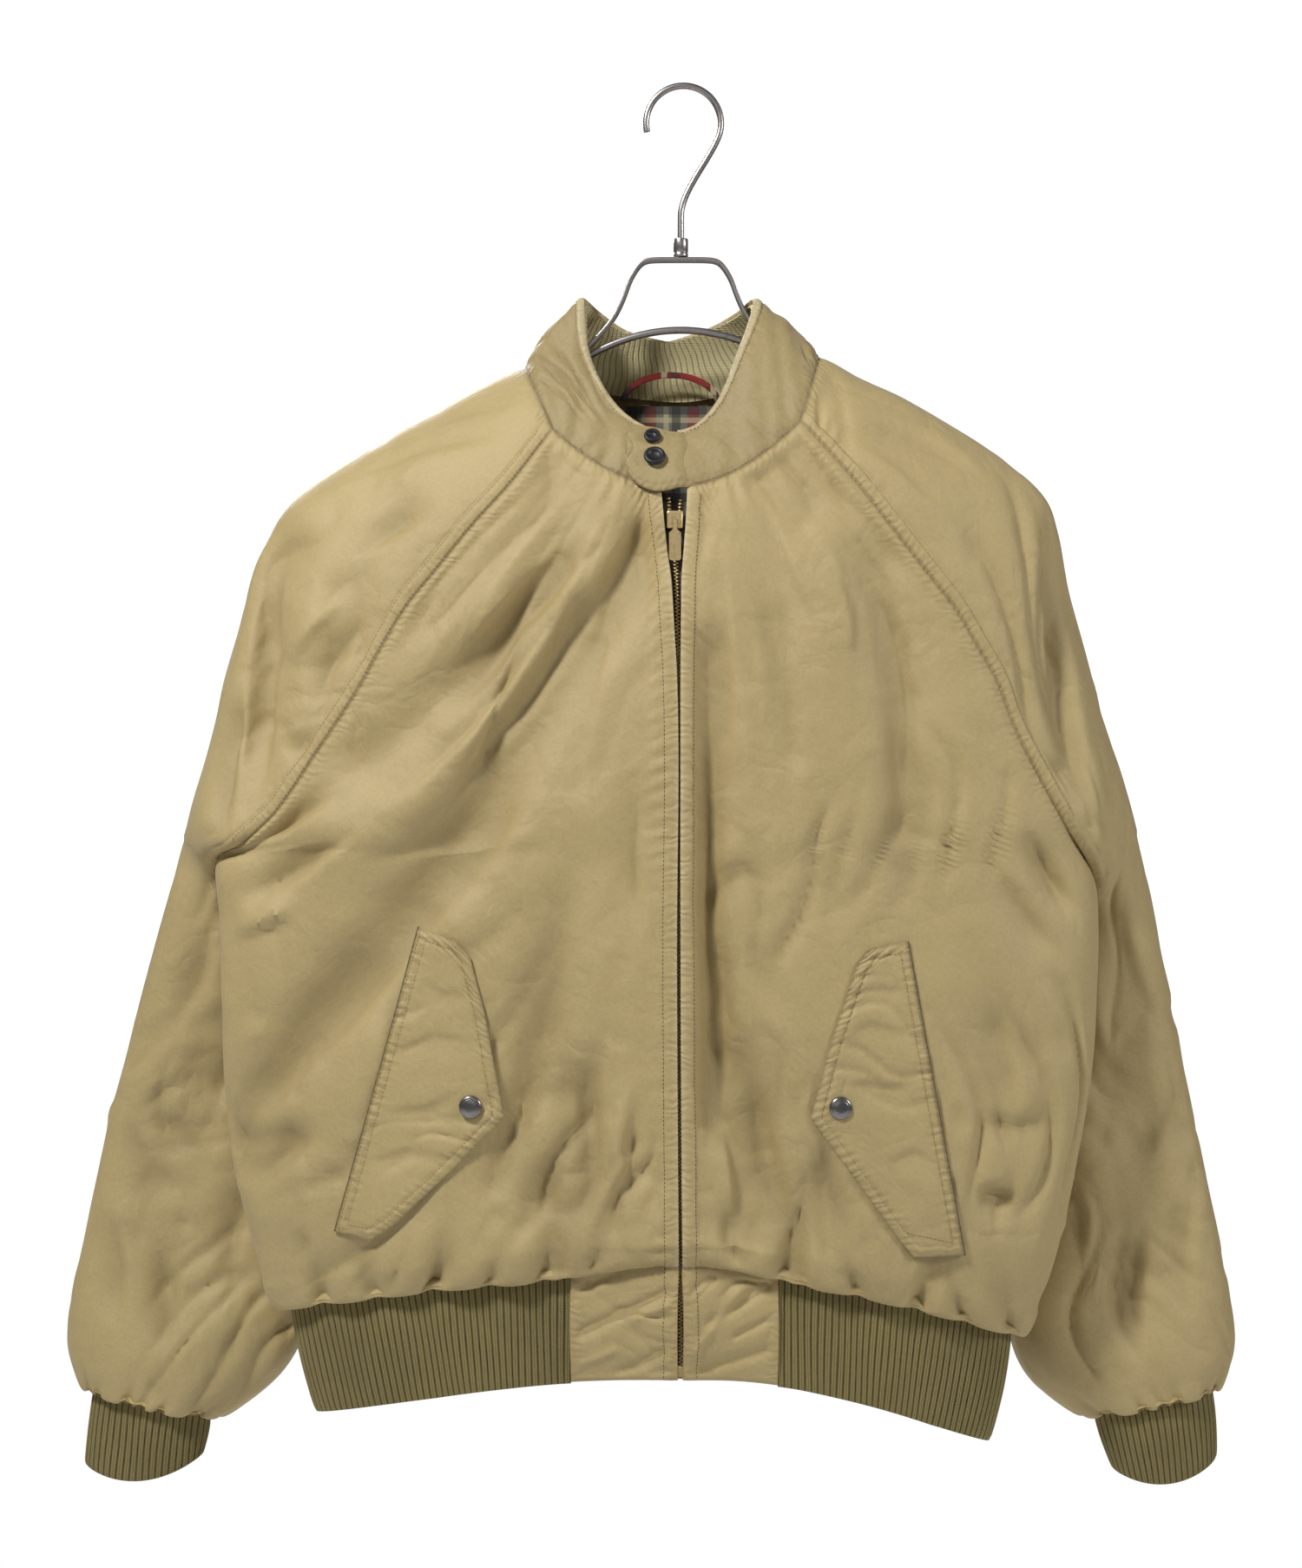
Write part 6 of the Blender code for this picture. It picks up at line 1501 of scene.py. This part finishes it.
def ribbed_band(name, top, bottom, out, bulge, closed, rows, seed):
    """A doubled knitted band between two lines: ribs raised on a plain back, a folded lower edge."""
    steps = steps_along(top)
    length = steps[-1]
    ribs = int(round(length / RIB_PITCH))
    at = np.linspace(0, length, ribs * RIB_STEPS + 1)
    if closed:
        at = at[:-1]
    top, bottom, out = (read_at(at, steps, values) for values in (top, bottom, out))
    out = unit(out)
    outer, inner, heights = [], [], []
    back_face = -(RIB_HEIGHT + RIB_THICKNESS)
    centre = back_face / 2
    wobble = uneven(at, seed, 0.021)
    for share in np.linspace(0, 1, rows):
        # ribs drift sideways a little on their way down, and stand prouder in the middle
        drift = 0.22 * wobble * sin(pi * share) + 0.05 * np.sin(5.0 * share + at * 170.0)
        raised = rib_profile(at / length * ribs + drift, 1.0, 0.42)
        level = RIB_HEIGHT * (0.75 + 0.25 * sin(pi * share))
        fold = float(np.interp(share, (0, 0.02, 0.9, 0.97, 1.0), (0.55, 1, 1, 0.8, 0.3)))
        ripple = 0.0009 * uneven(at, seed + 2, 0.034) * sin(pi * share * 0.9 + 0.2)
        middle = top * (1 - share) + bottom * share + out * (bulge * sin(pi * share) + ripple)[:, None]
        outer.append(middle + out * (centre + ((raised - 1) * level - centre) * fold)[:, None])
        inner.append(middle + out * (centre + (back_face - centre) * fold))
        heights.append(raised)
    return wall_object(name, np.array(outer), np.array(inner), knit, closed=closed,
                       marks={"rib_height": np.array(heights)})


seam, out = hem_part(hem_ends[0], hem_ends[1], 700)
seam = seam - out * HEM_INSET
seam[:, 2] -= SEAM_GAP
piece = ribbed_band("knit_hem_rib", seam, below_hem(seam), out, 0.002, False, rows=27, seed=101)
dress(piece, ["hem_rib"])

# --- Cuffs: closed knitted tubes sewn under the gathered sleeve ends ---
CUFF_END = {   # lower edge of each cuff: outer corner, lowest middle, inner corner
    "right": {"outer": (0.415, 0.944), "middle": 0.953, "inner": (0.332, 0.938)},
    "left": {"outer": (0.3705, 0.94), "middle": 0.955, "inner": (0.2975, 0.948)},
}
CUFF_HALF_DEPTH = 0.0215
for side, sign in SIDES.items():
    seam = refine(sleeve_grid(side)[-1:].repeat(2, axis=0), 1, 12)[-1]
    seam[-1] = seam[0]
    centre = seam[:-1].mean(axis=0)
    tangents = np.roll(seam[:-1], -1, axis=0) - np.roll(seam[:-1], 1, axis=0)
    tangents = np.vstack([tangents, tangents[:1]])
    out = unit(np.cross(tangents, np.array([0, 0, 1.0])))
    out *= np.sign(np.sum(out * (seam - centre), axis=1))[:, None]
    seam = seam - out * HEM_INSET
    seam[:, 2] -= SEAM_GAP
    ends = CUFF_END[side]
    x_outer, x_inner = sign * ends["outer"][0], sign * ends["inner"][0]
    share = (seam[:, 0] - seam[:, 0].min()) / np.ptp(seam[:, 0])
    share = share if sign > 0 else 1 - share
    lower = seam.copy()
    lower[:, 0] = x_inner + (x_outer - x_inner) * share
    depth = seam[:, 1] - centre[1]
    lower[:, 1] = centre[1] + depth * CUFF_HALF_DEPTH / np.abs(depth).max()
    straight = ends["inner"][1] + (ends["outer"][1] - ends["inner"][1]) * share
    sag = ends["middle"] - (ends["inner"][1] + ends["outer"][1]) / 2
    lower[:, 2] = -(straight + sag * 4 * share * (1 - share))
    piece = ribbed_band("knit_cuff_" + side, seam, lower, out, 0.001, True, rows=26, seed=121 + sign)
    dress(piece, ["cuff_" + side])

# --- Pocket flaps: padded poplin sewn on along the slanting outer edge, closed by a snap ---
FLAP_LIFT = 0.0022
FLAP_THICKNESS = 0.0024
FLAP_STITCHED = 0.0066
FLAPS = {   # straight sewn edge (top, bottom), then the free edge from top to bottom, as (x, drop)
    "right": {"sewn": ((-0.1738, 0.5672), (-0.2297, 0.7675)),
              "free": ((-0.1481, 0.5763), (-0.14, 0.586), (-0.1303, 0.6231), (-0.1184, 0.6916),
                       (-0.154, 0.728), (-0.1904, 0.7626), (-0.205, 0.7722)),
              "snap": (-0.1395, 0.6842),
              "creases": folds_in_mm(
                  ((-200, 652), (-160, 640), (-124, 646), 6, 2.6),
                  ((-206, 690), (-170, 688), (-136, 672), 5.5, 3),
                  ((-176, 600), (-158, 612), (-134, 612), 5, 1.8),
                  ((-214, 724), (-180, 716), (-160, 722), 5, 2.4))},
    "left": {"sewn": ((0.1465, 0.5763), (0.1838, 0.7828)),
             "free": ((0.1208, 0.5814), (0.1123, 0.592), (0.096, 0.64), (0.082, 0.6916),
                      (0.112, 0.733), (0.14, 0.772), (0.1494, 0.7828)),
             "snap": (0.1014, 0.6848),
             "creases": folds_in_mm(
                  ((102, 668), (130, 674), (158, 668), 5.5, 3.6),
                  ((100, 640), (124, 632), (150, 642), 6, 2.2),
                  ((120, 600), (134, 610), (148, 604), 4.5, 1.8),
                  ((124, 726), (150, 716), (172, 728), 5.5, 2.6))},
}


def on_front(x, drop, lift):
    """Points of the front's own surface moved out along its normal."""
    small = 0.002
    slope_x = (front_y(x + small, drop) - front_y(x - small, drop)) / (2 * small)
    slope_z = -(front_y(x, drop + small) - front_y(x, drop - small)) / (2 * small)
    normal = unit(np.stack([slope_x, -np.ones_like(slope_x), slope_z], axis=-1))
    return np.stack([x, front_y(x, drop), -drop], axis=-1) + normal * lift, normal


for side, flap in FLAPS.items():
    free = np.array(flap["free"])
    share = np.linspace(0, 1, 121)
    free_x, free_drop = read_at(share * steps_along(free)[-1], steps_along(free), free).T
    (top_x, top_drop), (low_x, low_drop) = flap["sewn"]
    across = np.linspace(0, 1, 61)[None, :]
    sewn_x, sewn_drop = top_x + (low_x - top_x) * share, top_drop + (low_drop - top_drop) * share
    x = sewn_x[:, None] * (1 - across) + free_x[:, None] * across
    drop = sewn_drop[:, None] * (1 - across) + free_drop[:, None] * across
    under, normal = on_front(x, drop, FLAP_LIFT)
    rim = [*zip(free_x, free_drop), (low_x, low_drop), (top_x, top_drop), (free_x[0], free_drop[0])]
    edge_away = path_distance(rim, x, drop)
    up = run_in_rows(under)[0]
    full = ease(edge_away, -0.001, 0.0045)
    puff = FLAP_THICKNESS * (0.45 + 0.75 * full)
    puff -= 0.0006 * bell(edge_away - FLAP_STITCHED, 0.0012)
    puff += pucker(up, edge_away - 0.005, 131, 0.006, 0.005, 0.0006)
    puff -= creases(flap["creases"], x, drop) * ease(edge_away, 0.002, 0.016) * 0.7
    puff -= drag_folds(under, 371 + SIDES[side], 1.3 * SIDES[side], 0.022, 3.0, 0.0018) * full
    puff = np.maximum(puff, 0.0006)
    from_sewn = np.hypot(x - sewn_x[:, None], drop - sewn_drop[:, None])
    # painted shadow along the flap's sewn edge and round its rim
    marks = {"seam_away": edge_away, "seam_run": up,
             "seam_line": 1.7 * bell(from_sewn, 0.0014) + 0.9 * bell(edge_away, 0.001)}
    piece = wall_object("poplin_pocket_flap_" + side, under + normal * puff[..., None], under, shell,
                        marks=marks)
    dress(piece, ["pocket_flap_" + side])


def metal(name, colour, rough, scratch=0.12):
    """Plated metal with fine scuffs."""
    made, tree, shader = new_material(name)
    grain = noise(tree, 320, 5)
    feed(tree, shader, [
        ("Metallic", 1.0), ("Roughness", remap(tree, grain, rough, rough + scratch, "To")),
        ("Base Color", mix(tree, remap(tree, grain, 0.5, 0.8), colour, darker(colour, 0.72))),
        ("Normal", bump(tree, grain, 0.12, 0.0001))])
    return made


snap_metal = metal("gunmetal_snap", (0.3, 0.29, 0.28, 1), 0.2)
SNAP_RADIUS, SNAP_HEIGHT = 0.0076, 0.003
SNAP_PROFILE = ((0.0, 0.98), (0.3, 0.97), (0.52, 0.93), (0.66, 0.84), (0.72, 0.74), (0.78, 0.76), (0.9, 0.62),
                (0.98, 0.36), (1.0, 0.16), (0.96, 0.0))
for side, flap in FLAPS.items():
    seat, normal = on_front(*np.array(flap["snap"]), FLAP_LIFT + FLAP_THICKNESS + 0.0004)
    snap = turned_piece("turned_snap_" + side, seat, normal, SNAP_RADIUS, SNAP_HEIGHT, SNAP_PROFILE,
                        snap_metal)
    dress(snap, ["snap_" + side])

# --- Zip: dark woven tape, brass teeth from the slider down, slider, pull tab and box ---
brass_worn = metal("worn_brass", (0.8, 0.62, 0.32, 1), 0.26, 0.2)
tape_cloth = poplin("brown_zip_tape", (0.03, 0.02, 0.013, 1), (0.05, 0.034, 0.022, 1), 0.7)
for solid in bpy.data.objects:
    name = solid.name
    finish = tape_cloth if name.startswith("zip_tape") else brass_worn if name.startswith("zip_") else None
    if finish and solid.type == "MESH" and solid.material_slots:
        for place in solid.material_slots:
            place.material = finish

# --- Teeth of the zip: brass, clamped on the tapes' edges, meshed below the slider and open above ---
TOOTH_PITCH = 0.0024
TOOTH_SIZE = (0.0026, 0.0022, 0.00115)
SLIDER_DROP = 0.3003
ZIP_SPAN = (0.286, 0.856)


def row_tree(name, shape_node, shape_settings):
    """Geometry nodes that set one small shape at even steps along curves, turned to follow them."""
    tree = bpy.data.node_groups.new(name, "GeometryNodeTree")
    for label, kind in (("Geometry", "NodeSocketGeometry"), ("Pitch", "NodeSocketFloat"),
                        ("Size", "NodeSocketVector"), ("Finish", "NodeSocketMaterial")):
        tree.interface.new_socket(name=label, in_out="INPUT", socket_type=kind)
    tree.interface.new_socket(name="Geometry", in_out="OUTPUT", socket_type="NodeSocketGeometry")
    ins = put(tree, "NodeGroupInput").outputs
    steps = put(tree, "GeometryNodeResampleCurve", [("Curve", ins["Geometry"]), ("Length", ins["Pitch"])],
                mode="LENGTH")
    shape = put(tree, shape_node, shape_settings)
    sized = put(tree, "GeometryNodeTransform", [("Geometry", shape.outputs["Mesh"]), ("Scale", ins["Size"])])
    along = put(tree, "GeometryNodeInputTangent")
    turn = put(tree, "FunctionNodeAlignEulerToVector", [("Vector", along.outputs[0])], axis="X")
    spread = put(tree, "GeometryNodeInstanceOnPoints", [
        ("Points", steps.outputs["Curve"]), ("Instance", sized.outputs["Geometry"]),
        ("Rotation", turn.outputs[0])])
    real = put(tree, "GeometryNodeRealizeInstances", [(0, spread.outputs[0])])
    smooth = put(tree, "GeometryNodeSetShadeSmooth", [("Geometry", real.outputs[0])])
    finish = put(tree, "GeometryNodeSetMaterial", [
        ("Geometry", smooth.outputs[0]), ("Material", ins["Finish"])])
    put(tree, "NodeGroupOutput", [(0, finish.outputs[0])])
    return tree


def along_lines(name, lines, tree, pitch, size, finish):
    """A mesh of small shapes set along lines of points by a geometry nodes tree."""
    data = bpy.data.curves.new(name + "_line", "CURVE")
    data.dimensions = "3D"
    for line in lines:
        spline = data.splines.new("POLY")
        spline.points.add(len(line) - 1)
        spline.points.foreach_set("co", np.hstack([line, np.ones((len(line), 1))]).ravel())
    guide = add_object(name + "_line", data)
    nodes = guide.modifiers.new("set", "NODES")
    nodes.node_group = tree
    for item in tree.interface.items_tree:
        if item.in_out == "INPUT" and item.name in ("Pitch", "Size", "Finish"):
            nodes[item.identifier] = {"Pitch": pitch, "Size": size, "Finish": finish}[item.name]
    ready = guide.evaluated_get(bpy.context.evaluated_depsgraph_get())
    mesh = bpy.data.meshes.new_from_object(ready)
    mesh.name = name
    bpy.data.objects.remove(guide)
    return add_object(name, mesh)


tooth_tree = row_tree("zip_tooth_row", "GeometryNodeMeshCube", [("Size", (1.0, 1.0, 1.0))])
chains = []
for side, sign in SIDES.items():
    start = ZIP_SPAN[0] + (0.5 * TOOTH_PITCH if side == "left" else 0.0)
    drop = np.arange(start, ZIP_SPAN[1], TOOTH_PITCH)
    apart = np.where(drop < SLIDER_DROP - 0.004, zip_at("half_gap", drop) - 0.0042, 0.0003)
    low = np.clip((drop - 0.735) / 0.035, 0, 1)
    hem_y = float(hem_line[0, 1])
    behind_hem = np.interp(drop, (0.788, 0.865), (hem_y, hem_y * HEM_DRAWN_IN))
    x = zip_at("middle_x", drop) + sign * (np.maximum(apart, 0.0) + 0.0004)
    y = front_y(x, np.minimum(drop, 0.77)) * (1 - low) + behind_hem * low + WALL + 0.0022
    chains.append(np.stack([x, y, -drop], axis=-1))
teeth = along_lines("brass_zip_teeth", chains, tooth_tree, TOOTH_PITCH,
                    (TOOTH_SIZE[2], TOOTH_SIZE[1], TOOTH_SIZE[0]), brass_worn)
dress(teeth, [])

# The box at the zip's foot: a pressed brass shoe with a slot, round the last teeth.
BOX_WIDTH, BOX_DEPTH = 0.0066, 0.003
box_low, box_high = (np.array(corner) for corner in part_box("zip_box"))
last_tooth = chains[0][-1]
shoe = bmesh.new()
bmesh.ops.create_cube(shoe, size=1.0)
bmesh.ops.scale(shoe, vec=(BOX_WIDTH, BOX_DEPTH, box_high[2] - box_low[2]), verts=shoe.verts[:])
bmesh.ops.bevel(shoe, geom=shoe.edges[:], offset=0.0007, segments=3, affect="EDGES")
face = min(shoe.faces, key=lambda f: f.calc_center_median().y)
bmesh.ops.inset_individual(shoe, faces=[face], thickness=0.0012, depth=-0.0006)
shoe_place = (box_low + box_high) / 2
shoe_place[1] = last_tooth[1] + 0.0006
bmesh.ops.translate(shoe, vec=Vector(shoe_place), verts=shoe.verts[:])
shoe_mesh = bpy.data.meshes.new("pressed_zip_box")
shoe.to_mesh(shoe_mesh)
shoe.free()
shoe_mesh.materials.append(brass_worn)
dress(add_object("pressed_zip_box", shoe_mesh), ["zip_box"])

# --- Hanger: plated steel wire hook, turned ferrule, bent flat strip and the arched shoulder rod ---
# The hook turns in its ferrule on a real one. The strip's ends and the rod are welded inside the neck.
HANGER_X = -0.0016
HOOK_WIRE, HOOK_RADIUS, HOOK_MIDDLE = 0.0023, 0.0255, (0.0002, -0.0231)
STEM_DROPS = (0.086, 0.094, 0.1015)
FERRULE_RADIUS, FERRULE_LENGTH, FERRULE_TOP_DROP = 0.005, 0.0128, 0.1018
FERRULE_PROFILE = ((0.0, 1.0), (0.5, 1.0), (0.95, 0.98), (1.0, 0.92), (1.0, 0.3), (0.93, 0.27), (0.93, 0.23),
                   (1.0, 0.2), (1.0, 0.07), (0.96, 0.02), (0.86, 0.0))
STRIP_THICKNESS, STRIP_DEPTH = 0.003, 0.009
STRIP_HALF = ((0.0, -0.1164), (0.021, -0.1164), (0.0262, -0.1182), (0.03, -0.1225), (0.0345, -0.13),
              (0.0385, -0.142), (0.045, -0.156), (0.057, -0.17), (0.0645, -0.1772))
ROD_RADIUS, ROD_TOP_DROP, ROD_BELOW_SHOULDER, ROD_ENDS = 0.0025, 0.164, 0.0058, (-0.228, 0.214)
ROD_ARCH, ARCHED_UNTIL, SHOULDERS_FROM = 4.4, 0.08, 0.13      # an arch at the neck, then along the shoulders
chrome = metal("hanger_chrome", (0.46, 0.425, 0.41, 1), 0.3, 0.06)


def rounded_section(width, depth, corner):
    """A rounded oblong outline; a full round one when the corner is half of both sides."""
    around = []
    for turn, (sx, sy) in enumerate(((1, 1), (-1, 1), (-1, -1), (1, -1))):
        for a in np.linspace(turn * pi / 2, (turn + 1) * pi / 2, 5, endpoint=False):
            around.append((sx * (width / 2 - corner) + corner * cos(a),
                           sy * (depth / 2 - corner) + corner * sin(a)))
    return np.array(around)


def bent_bar(name, path, section):
    """A bar of one section bent along a path that lies in the hanger's own plane."""
    depthwise = np.array([0, 1.0, 0])
    across = unit(np.cross(np.gradient(path, axis=0), depthwise))
    grid = path[:, None] + across[:, None] * section[None, :, :1] + depthwise * section[None, :, 1:]
    rows, columns = grid.shape[:2]
    numbers = np.arange(rows * columns).reshape(rows, columns)
    after = np.roll(numbers, -1, axis=1)
    faces = np.stack([numbers[:-1], after[:-1], after[1:], numbers[1:]], -1).reshape(-1, 4).tolist()
    faces += [numbers[0].tolist(), numbers[-1][::-1].tolist()]
    mesh = bpy.data.meshes.new(name)
    mesh.from_pydata(grid.reshape(-1, 3).tolist(), [], faces)
    return whole_object(name, mesh, chrome)


bend = np.radians(np.linspace(193, -22, 60))
hook = np.stack([HOOK_MIDDLE[0] + HOOK_RADIUS * np.cos(bend), 0 * bend,
                 HOOK_MIDDLE[1] + HOOK_RADIUS * np.sin(bend)], -1)
heading = np.array([sin(bend[-1]), 0, -cos(bend[-1])])
straight = [np.array([HANGER_X, 0, -drop]) for drop in STEM_DROPS]
stem = arc(hook[-1], heading * 0.018, np.array([0, 0, -0.016]), straight[0], 30)
hook = np.vstack([hook, stem[1:], *straight[1:]])
wire = rounded_section(2 * HOOK_WIRE, 2 * HOOK_WIRE, HOOK_WIRE)
dress(bent_bar("wire_hook", hook, wire), ["hanger_hook"])
ferrule = turned_piece("turned_ferrule", (HANGER_X, 0, -FERRULE_TOP_DROP - FERRULE_LENGTH), (0, 0, 1),
                       FERRULE_RADIUS, FERRULE_LENGTH, FERRULE_PROFILE, chrome)
dress(ferrule, ["hanger_ferrule"])
corners = np.array(STRIP_HALF)
corners = np.vstack([corners[::-1] * [-1, 1], corners[1:]])
at = np.linspace(0, len(corners) - 1, 8 * (len(corners) - 1) + 1)
strip_x, strip_z = read_at(at, np.arange(len(corners)), corners).T
strip = np.stack([strip_x + HANGER_X, 0 * at, strip_z], axis=-1)
dress(bent_bar("bent_bracket", smooth_line(strip, 14), rounded_section(STRIP_THICKNESS, STRIP_DEPTH, 0.0008)),
      ["hanger_bracket"])
x = np.linspace(*ROD_ENDS, 161)
shoulder, slope = np.zeros(len(x)), np.zeros(len(x))
for side, sign in SIDES.items():
    outer = [column(RAGLAN[side], RAGLAN_COLUMNS, name) for name in ("outer_x", "outer_drop")]
    here = x * sign > 0
    shoulder[here] = np.interp(np.abs(x[here]), *outer)
    slope[here] = (np.interp(np.abs(x[here]) + 0.01, *outer) - shoulder[here]) / 0.01
share = ease(np.abs(x), ARCHED_UNTIL, SHOULDERS_FROM)
under_shoulder = shoulder + ROD_BELOW_SHOULDER * np.sqrt(1 + slope**2)
rod_drop = (ROD_TOP_DROP + ROD_ARCH * (x - HANGER_X)**2) * (1 - share) + under_shoulder * share
rod = smooth_line(np.stack([x, 0 * x, -rod_drop], axis=-1), 12)
round_rod = rounded_section(2 * ROD_RADIUS, 2 * ROD_RADIUS, ROD_RADIUS)
dress(bent_bar("arched_rod", rod, round_rod), ["hanger_rod"])

# --- Sewing: single threads along the raglan seams, the plackets, the collar and the pocket flaps, laid in the grooves that they pull ---
# Tan cotton thread on the panels, dark brown on the placket beside the zip.
THREAD_LIFT = 0.00025
RAGLAN_STITCHED = (0.0019, 0.009)     # two rows on the sleeve, along the seam and along the fell's edge
PLACKET_WIDTH = 0.0094
EDGE_STITCHED = 0.0016                # beside the collar's foot and the flaps' sewn edge
STITCH_PITCH = 0.0027
STITCH_SIZE = (0.0021, 0.00048, 0.00045)


def thread(name, colour):
    """Twisted cotton thread, a little fuzzy."""
    made, tree, shader = new_material(name)
    twist = noise(tree, 1400, 2)
    feed(tree, shader, [("Roughness", 0.65), ("Sheen Weight", 0.2),
                        ("Base Color", mix(tree, twist, colour, darker(colour, 0.55))),
                        ("Normal", bump(tree, twist, 0.5, 0.0001))])
    return made


def beside_edge(grid, normals, offset, from_last, rows):
    """The line on a grid that keeps one distance from its first or last column, row by row."""
    line = []
    for row, out in zip(grid[rows], normals[rows]):
        if from_last:
            row, out = row[::-1], out[::-1]
        steps = steps_along(row)
        line.append(read_at(offset, steps, row) + unit(read_at(offset, steps, out)) * THREAD_LIFT)
    return np.array(line)


stitch_tree = row_tree("sewn_line", "GeometryNodeMeshIcoSphere", [("Radius", 0.5), ("Subdivisions", 1)])
tan_thread = thread("tan_thread", (0.4, 0.285, 0.115, 1))
brown_thread = thread("brown_thread", (0.085, 0.045, 0.022, 1))


def sew(name, lines, yarn):
    """A piece of short stitches of one yarn along lines of points."""
    dress(along_lines(name, lines, stitch_tree, STITCH_PITCH, STITCH_SIZE, yarn), [])


lines = []
for side in SIDES:
    rows = slice(4, ARMPIT_ROW - 8)
    for from_last in (False, True):
        for offset in RAGLAN_STITCHED:
            lines.append(beside_edge(sleeves[side], sleeve_normals[side], offset, from_last, rows))
sew("raglan_stitches", lines, tan_thread)

lines = []
for side in SIDES:
    lines.append(beside_edge(fronts[side], front_normals[side], PLACKET_WIDTH, False, slice(6, None)))
    lines.append(beside_edge(*hem_panels[side], PLACKET_WIDTH, side == "left", slice(2, -3)))
sew("placket_stitches", lines, brown_thread)

columns = collar_outer.transpose(1, 0, 2)[:, ::-1]
column_out = np.repeat(collar_out[:, None], COLLAR_ROWS, axis=1)
sew("collar_stitches", [beside_edge(columns, column_out, COLLAR_STITCHED, False, slice(4, -4)),
                        beside_edge(columns, column_out, EDGE_STITCHED, True, slice(4, -4))], tan_thread)


def inset(outline, distance):
    """A closed outline of (x, drop) points moved inwards by a distance."""
    outline = np.array(outline, float)
    step = unit(np.roll(outline, -1, axis=0) - outline)
    side_way = np.stack([-step[:, 1], step[:, 0]], axis=-1)
    middle = outline.mean(axis=0)
    side_way *= np.sign(np.sum(side_way * (middle - outline), axis=1))[:, None]
    corners = []
    for n, place in enumerate(outline):
        cross = step[n - 1][0] * step[n][1] - step[n - 1][1] * step[n][0]
        if abs(cross) < 0.05:
            corners.append(place + unit(side_way[n - 1] + side_way[n]) * distance)
        else:
            first = outline[n - 1] + side_way[n - 1] * distance
            way = place + side_way[n] * distance - first
            corners.append(first + step[n - 1] * (way[0] * step[n][1] - way[1] * step[n][0]) / cross)
    return np.array(corners + corners[:1])


def laid_on(piece, path):
    """Points of a path of (x, drop) laid on a piece from a place well in front of it."""
    mesh = piece.data
    tree = BVHTree.FromPolygons([v.co[:] for v in mesh.vertices], [p.vertices[:] for p in mesh.polygons])
    path = np.array(path, float)
    steps = steps_along(path)
    line = []
    for x, drop in read_at(np.linspace(0, steps[-1], int(steps[-1] / 0.0015) + 1), steps, path):
        hit, normal, _, _ = tree.ray_cast(Vector((x, -0.4, -drop)), Vector((0, 1, 0)))
        if hit is not None:
            line.append(np.array(hit) + np.array(normal) * THREAD_LIFT)
    return np.array(line)


lines = []
for side, flap in FLAPS.items():
    piece = bpy.data.objects["poplin_pocket_flap_" + side]
    sewn_top, sewn_low = flap["sewn"]
    # the left flap's lowest free point lies too near its sewn corner for an even inset
    free = flap["free"][:-1] if side == "left" else flap["free"]
    lines.append(laid_on(piece, inset([*free, sewn_low, sewn_top], FLAP_STITCHED)))
    lines.append(laid_on(piece, np.array([sewn_top, sewn_low]) - [SIDES[side] * EDGE_STITCHED, 0]))
sew("flap_stitches", lines, tan_thread)
